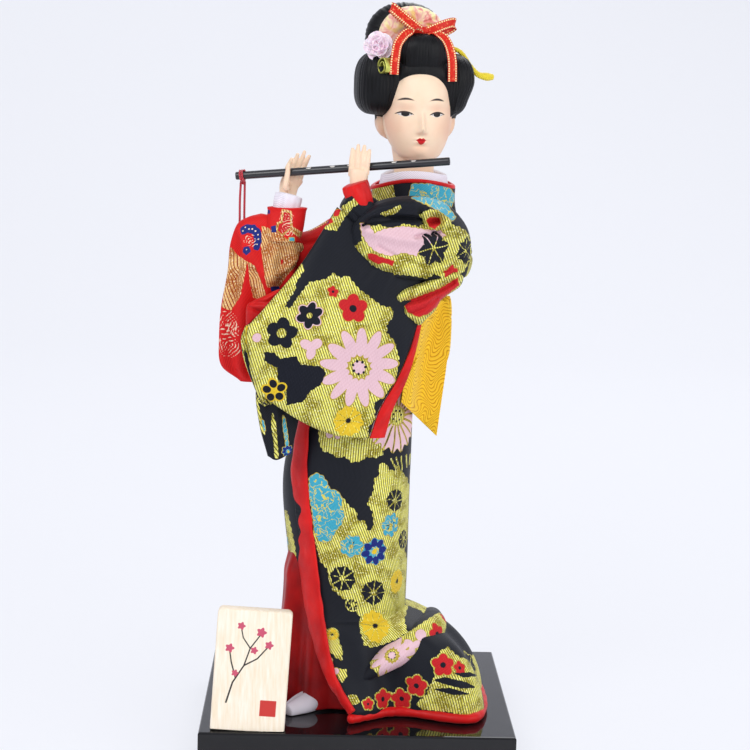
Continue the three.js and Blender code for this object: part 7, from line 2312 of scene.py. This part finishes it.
floss, tree, shader = finish("yellow silk floss", Roughness=0.6, Sheen_Weight=0.4)
place = add(tree, "TexCoord").outputs
wraps = add(tree, "TexWave", {"bands_direction": "DIAGONAL"}, Vector=place["Object"],
            Scale=BIAS_TURN / FLOSS_SPACING, Distortion=2.0)
yellow = add(tree, "ValToRGB", ramp=("#d8b400", "#fdee28"), Fac=wraps)
bump = add(tree, "Bump", Height=wraps, Strength=0.6, Distance=0.0002)
plug(shader, Base_Color=yellow, Normal=bump)
STICK = [(11, -2, 44.8, 0.9, 0.9), (17, -2, 42.6, 0.9, 0.9), (21, -1.9, 37.5, 1.0, 0.9),
         (24.5, -1.7, 34.2, 1.15, 0.9), (28, -1.5, 33.4, 1.5, 1.1), (30.6, -1.4, 33.3, 1.1, 0.8)]
grid = sweep(STICK, (0, 0, 1), rows=140, columns=36, cap=0.8) / MM
t = np.linspace(0, 1, len(grid))[:, None]
angle = circle(36)[None]
centre = grid.mean(axis=1, keepdims=True)
grid = centre + (grid - centre) * (1 + 0.09 * np.sin(9 * angle) * smooth(0.6, 0.85, t)
                                   + 0.05 * np.sin(120 * t) * smooth(0.75, 0.5, t))[..., None]
points, faces = closed_tube(on_head(grid))
piece("floss_hair_stick", points, faces, "head", [floss], ["hair_stick"])

# Flute: a black lacquered bamboo tube with pale-rimmed finger holes and an open end.
# It slides out of the hands, with the cord's knot tied round its left end.

lacquered, tree, shader = finish("black lacquered bamboo", Roughness=0.3, Coat_Weight=0.3,
                                 Coat_Roughness=0.15)
place = add(tree, "TexCoord").outputs
fibre = add(tree, "Mapping", Vector=place["UV"], Scale=(0.05, 1.0, 1.0))
streaks = add(tree, "TexNoise", Vector=fibre, Scale=1.5 / MM, Detail=3.0)
black = add(tree, "ValToRGB", ramp=("#0c0c0e", "#26262b"), Fac=streaks)
hole = add(tree, "Attribute", {"attribute_name": "hole"})
edge = add(tree, "MapRange", i0=hole.outputs["Fac"], i1=-0.05, i2=0.1)
rimmed = add(tree, "Mix", {"data_type": "RGBA"}, i0=edge, i6=black, i7=colour("#e8e4dc"))
bump = add(tree, "Bump", Height=streaks, Strength=0.2, Distance=0.0001)
plug(shader, Base_Color=rimmed.outputs[2], Normal=bump)

HOLES, HOLE_RADIUS, BORE = (29, 38.4, 45, 62.5, 70), 1.0, 0.8
length = float(np.linalg.norm(FLUTE_RIGHT - FLUTE_LEFT))
up_side = np.cross(flute_axis, (0, 1, 0))
up_side = -up_side / np.linalg.norm(up_side) if up_side[2] < 0 else up_side / np.linalg.norm(up_side)
ahead_side = np.cross(up_side, flute_axis)
if ahead_side[1] > 0:
    ahead_side = -ahead_side
t, angle = np.meshgrid(np.linspace(0, length, 420), circle(48), indexing="ij")
radius = FLUTE_RADIUS - 0.12 * smooth(0.35, 0, np.minimum(t, length - t)) + 0 * angle
inside = np.full(t.shape, OUTSIDE)
toward = 0.35
for spot in HOLES:
    off = np.hypot(t - spot, FLUTE_RADIUS * np.angle(np.exp(1j * (angle - toward))))
    inside = np.maximum(inside, HOLE_RADIUS - off)
radius = radius - 0.85 * smooth(-0.12, 0.3, inside)


def tube_point(t, angle, radius):
    """Points of the flute in metres: along it, then out from its axis at an angle from straight up."""
    return (FLUTE_LEFT + flute_axis * t[..., None] + up_side * (radius * np.cos(angle))[..., None]
            + ahead_side * (radius * np.sin(angle))[..., None]) * MM


outer = tube_point(t, angle, radius)
few = np.linspace(0, 419, 30).astype(int)
inner = tube_point(t[few], angle[few], BORE + 0 * t[few])
points, faces, parts = ring_shell(outer, inner)
uv = np.stack([t, angle * FLUTE_RADIUS], axis=-1).reshape(-1, 2) * MM
uv = np.concatenate([uv, np.zeros((len(points) - len(uv), 2))])
values = np.concatenate([inside.ravel(), np.full(len(points) - inside.size, OUTSIDE)])
piece("lacquered_flute", points, faces, "flute", [lacquered], ["flute"],
      attributes={"hole": values}, uv=uv)

turns = np.linspace(0, 2 * pi * 2.0, 120)
knot_axis_at = FLUTE_LEFT + flute_axis * KNOT_DISTANCE
reach = FLUTE_RADIUS + 0.42
coil = np.stack([knot_axis_at + flute_axis * (a / (2 * pi) - 1.0) * 0.85
                 + reach * (up_side * cos(a) + ahead_side * sin(a)) for a in turns])
lump = cord_top + np.array([(-0.5, 0.1, 1.0), (0.7, -0.3, 0.5), (0.5, 0.4, -0.2), (-0.6, 0.3, 0.1),
                            (-0.4, -0.3, 0.7), (0.6, 0.1, 1.0)])
knot_shells = [closed_tube(sweep([(*p, 0.42, 0.42) for p in coil], (0.3, 0.2, 0.9), rows=200, columns=16,
                                 cap=0.9)),
               closed_tube(sweep([(*p, 0.5, 0.5) for p in lump], (0.3, 0.2, 0.9), rows=70, columns=18,
                                 cap=0.9))]
points, faces = together(*knot_shells)
piece("flute_cord_tie", points, faces, "flute", [red_cord], ["flute_cord_knot"])
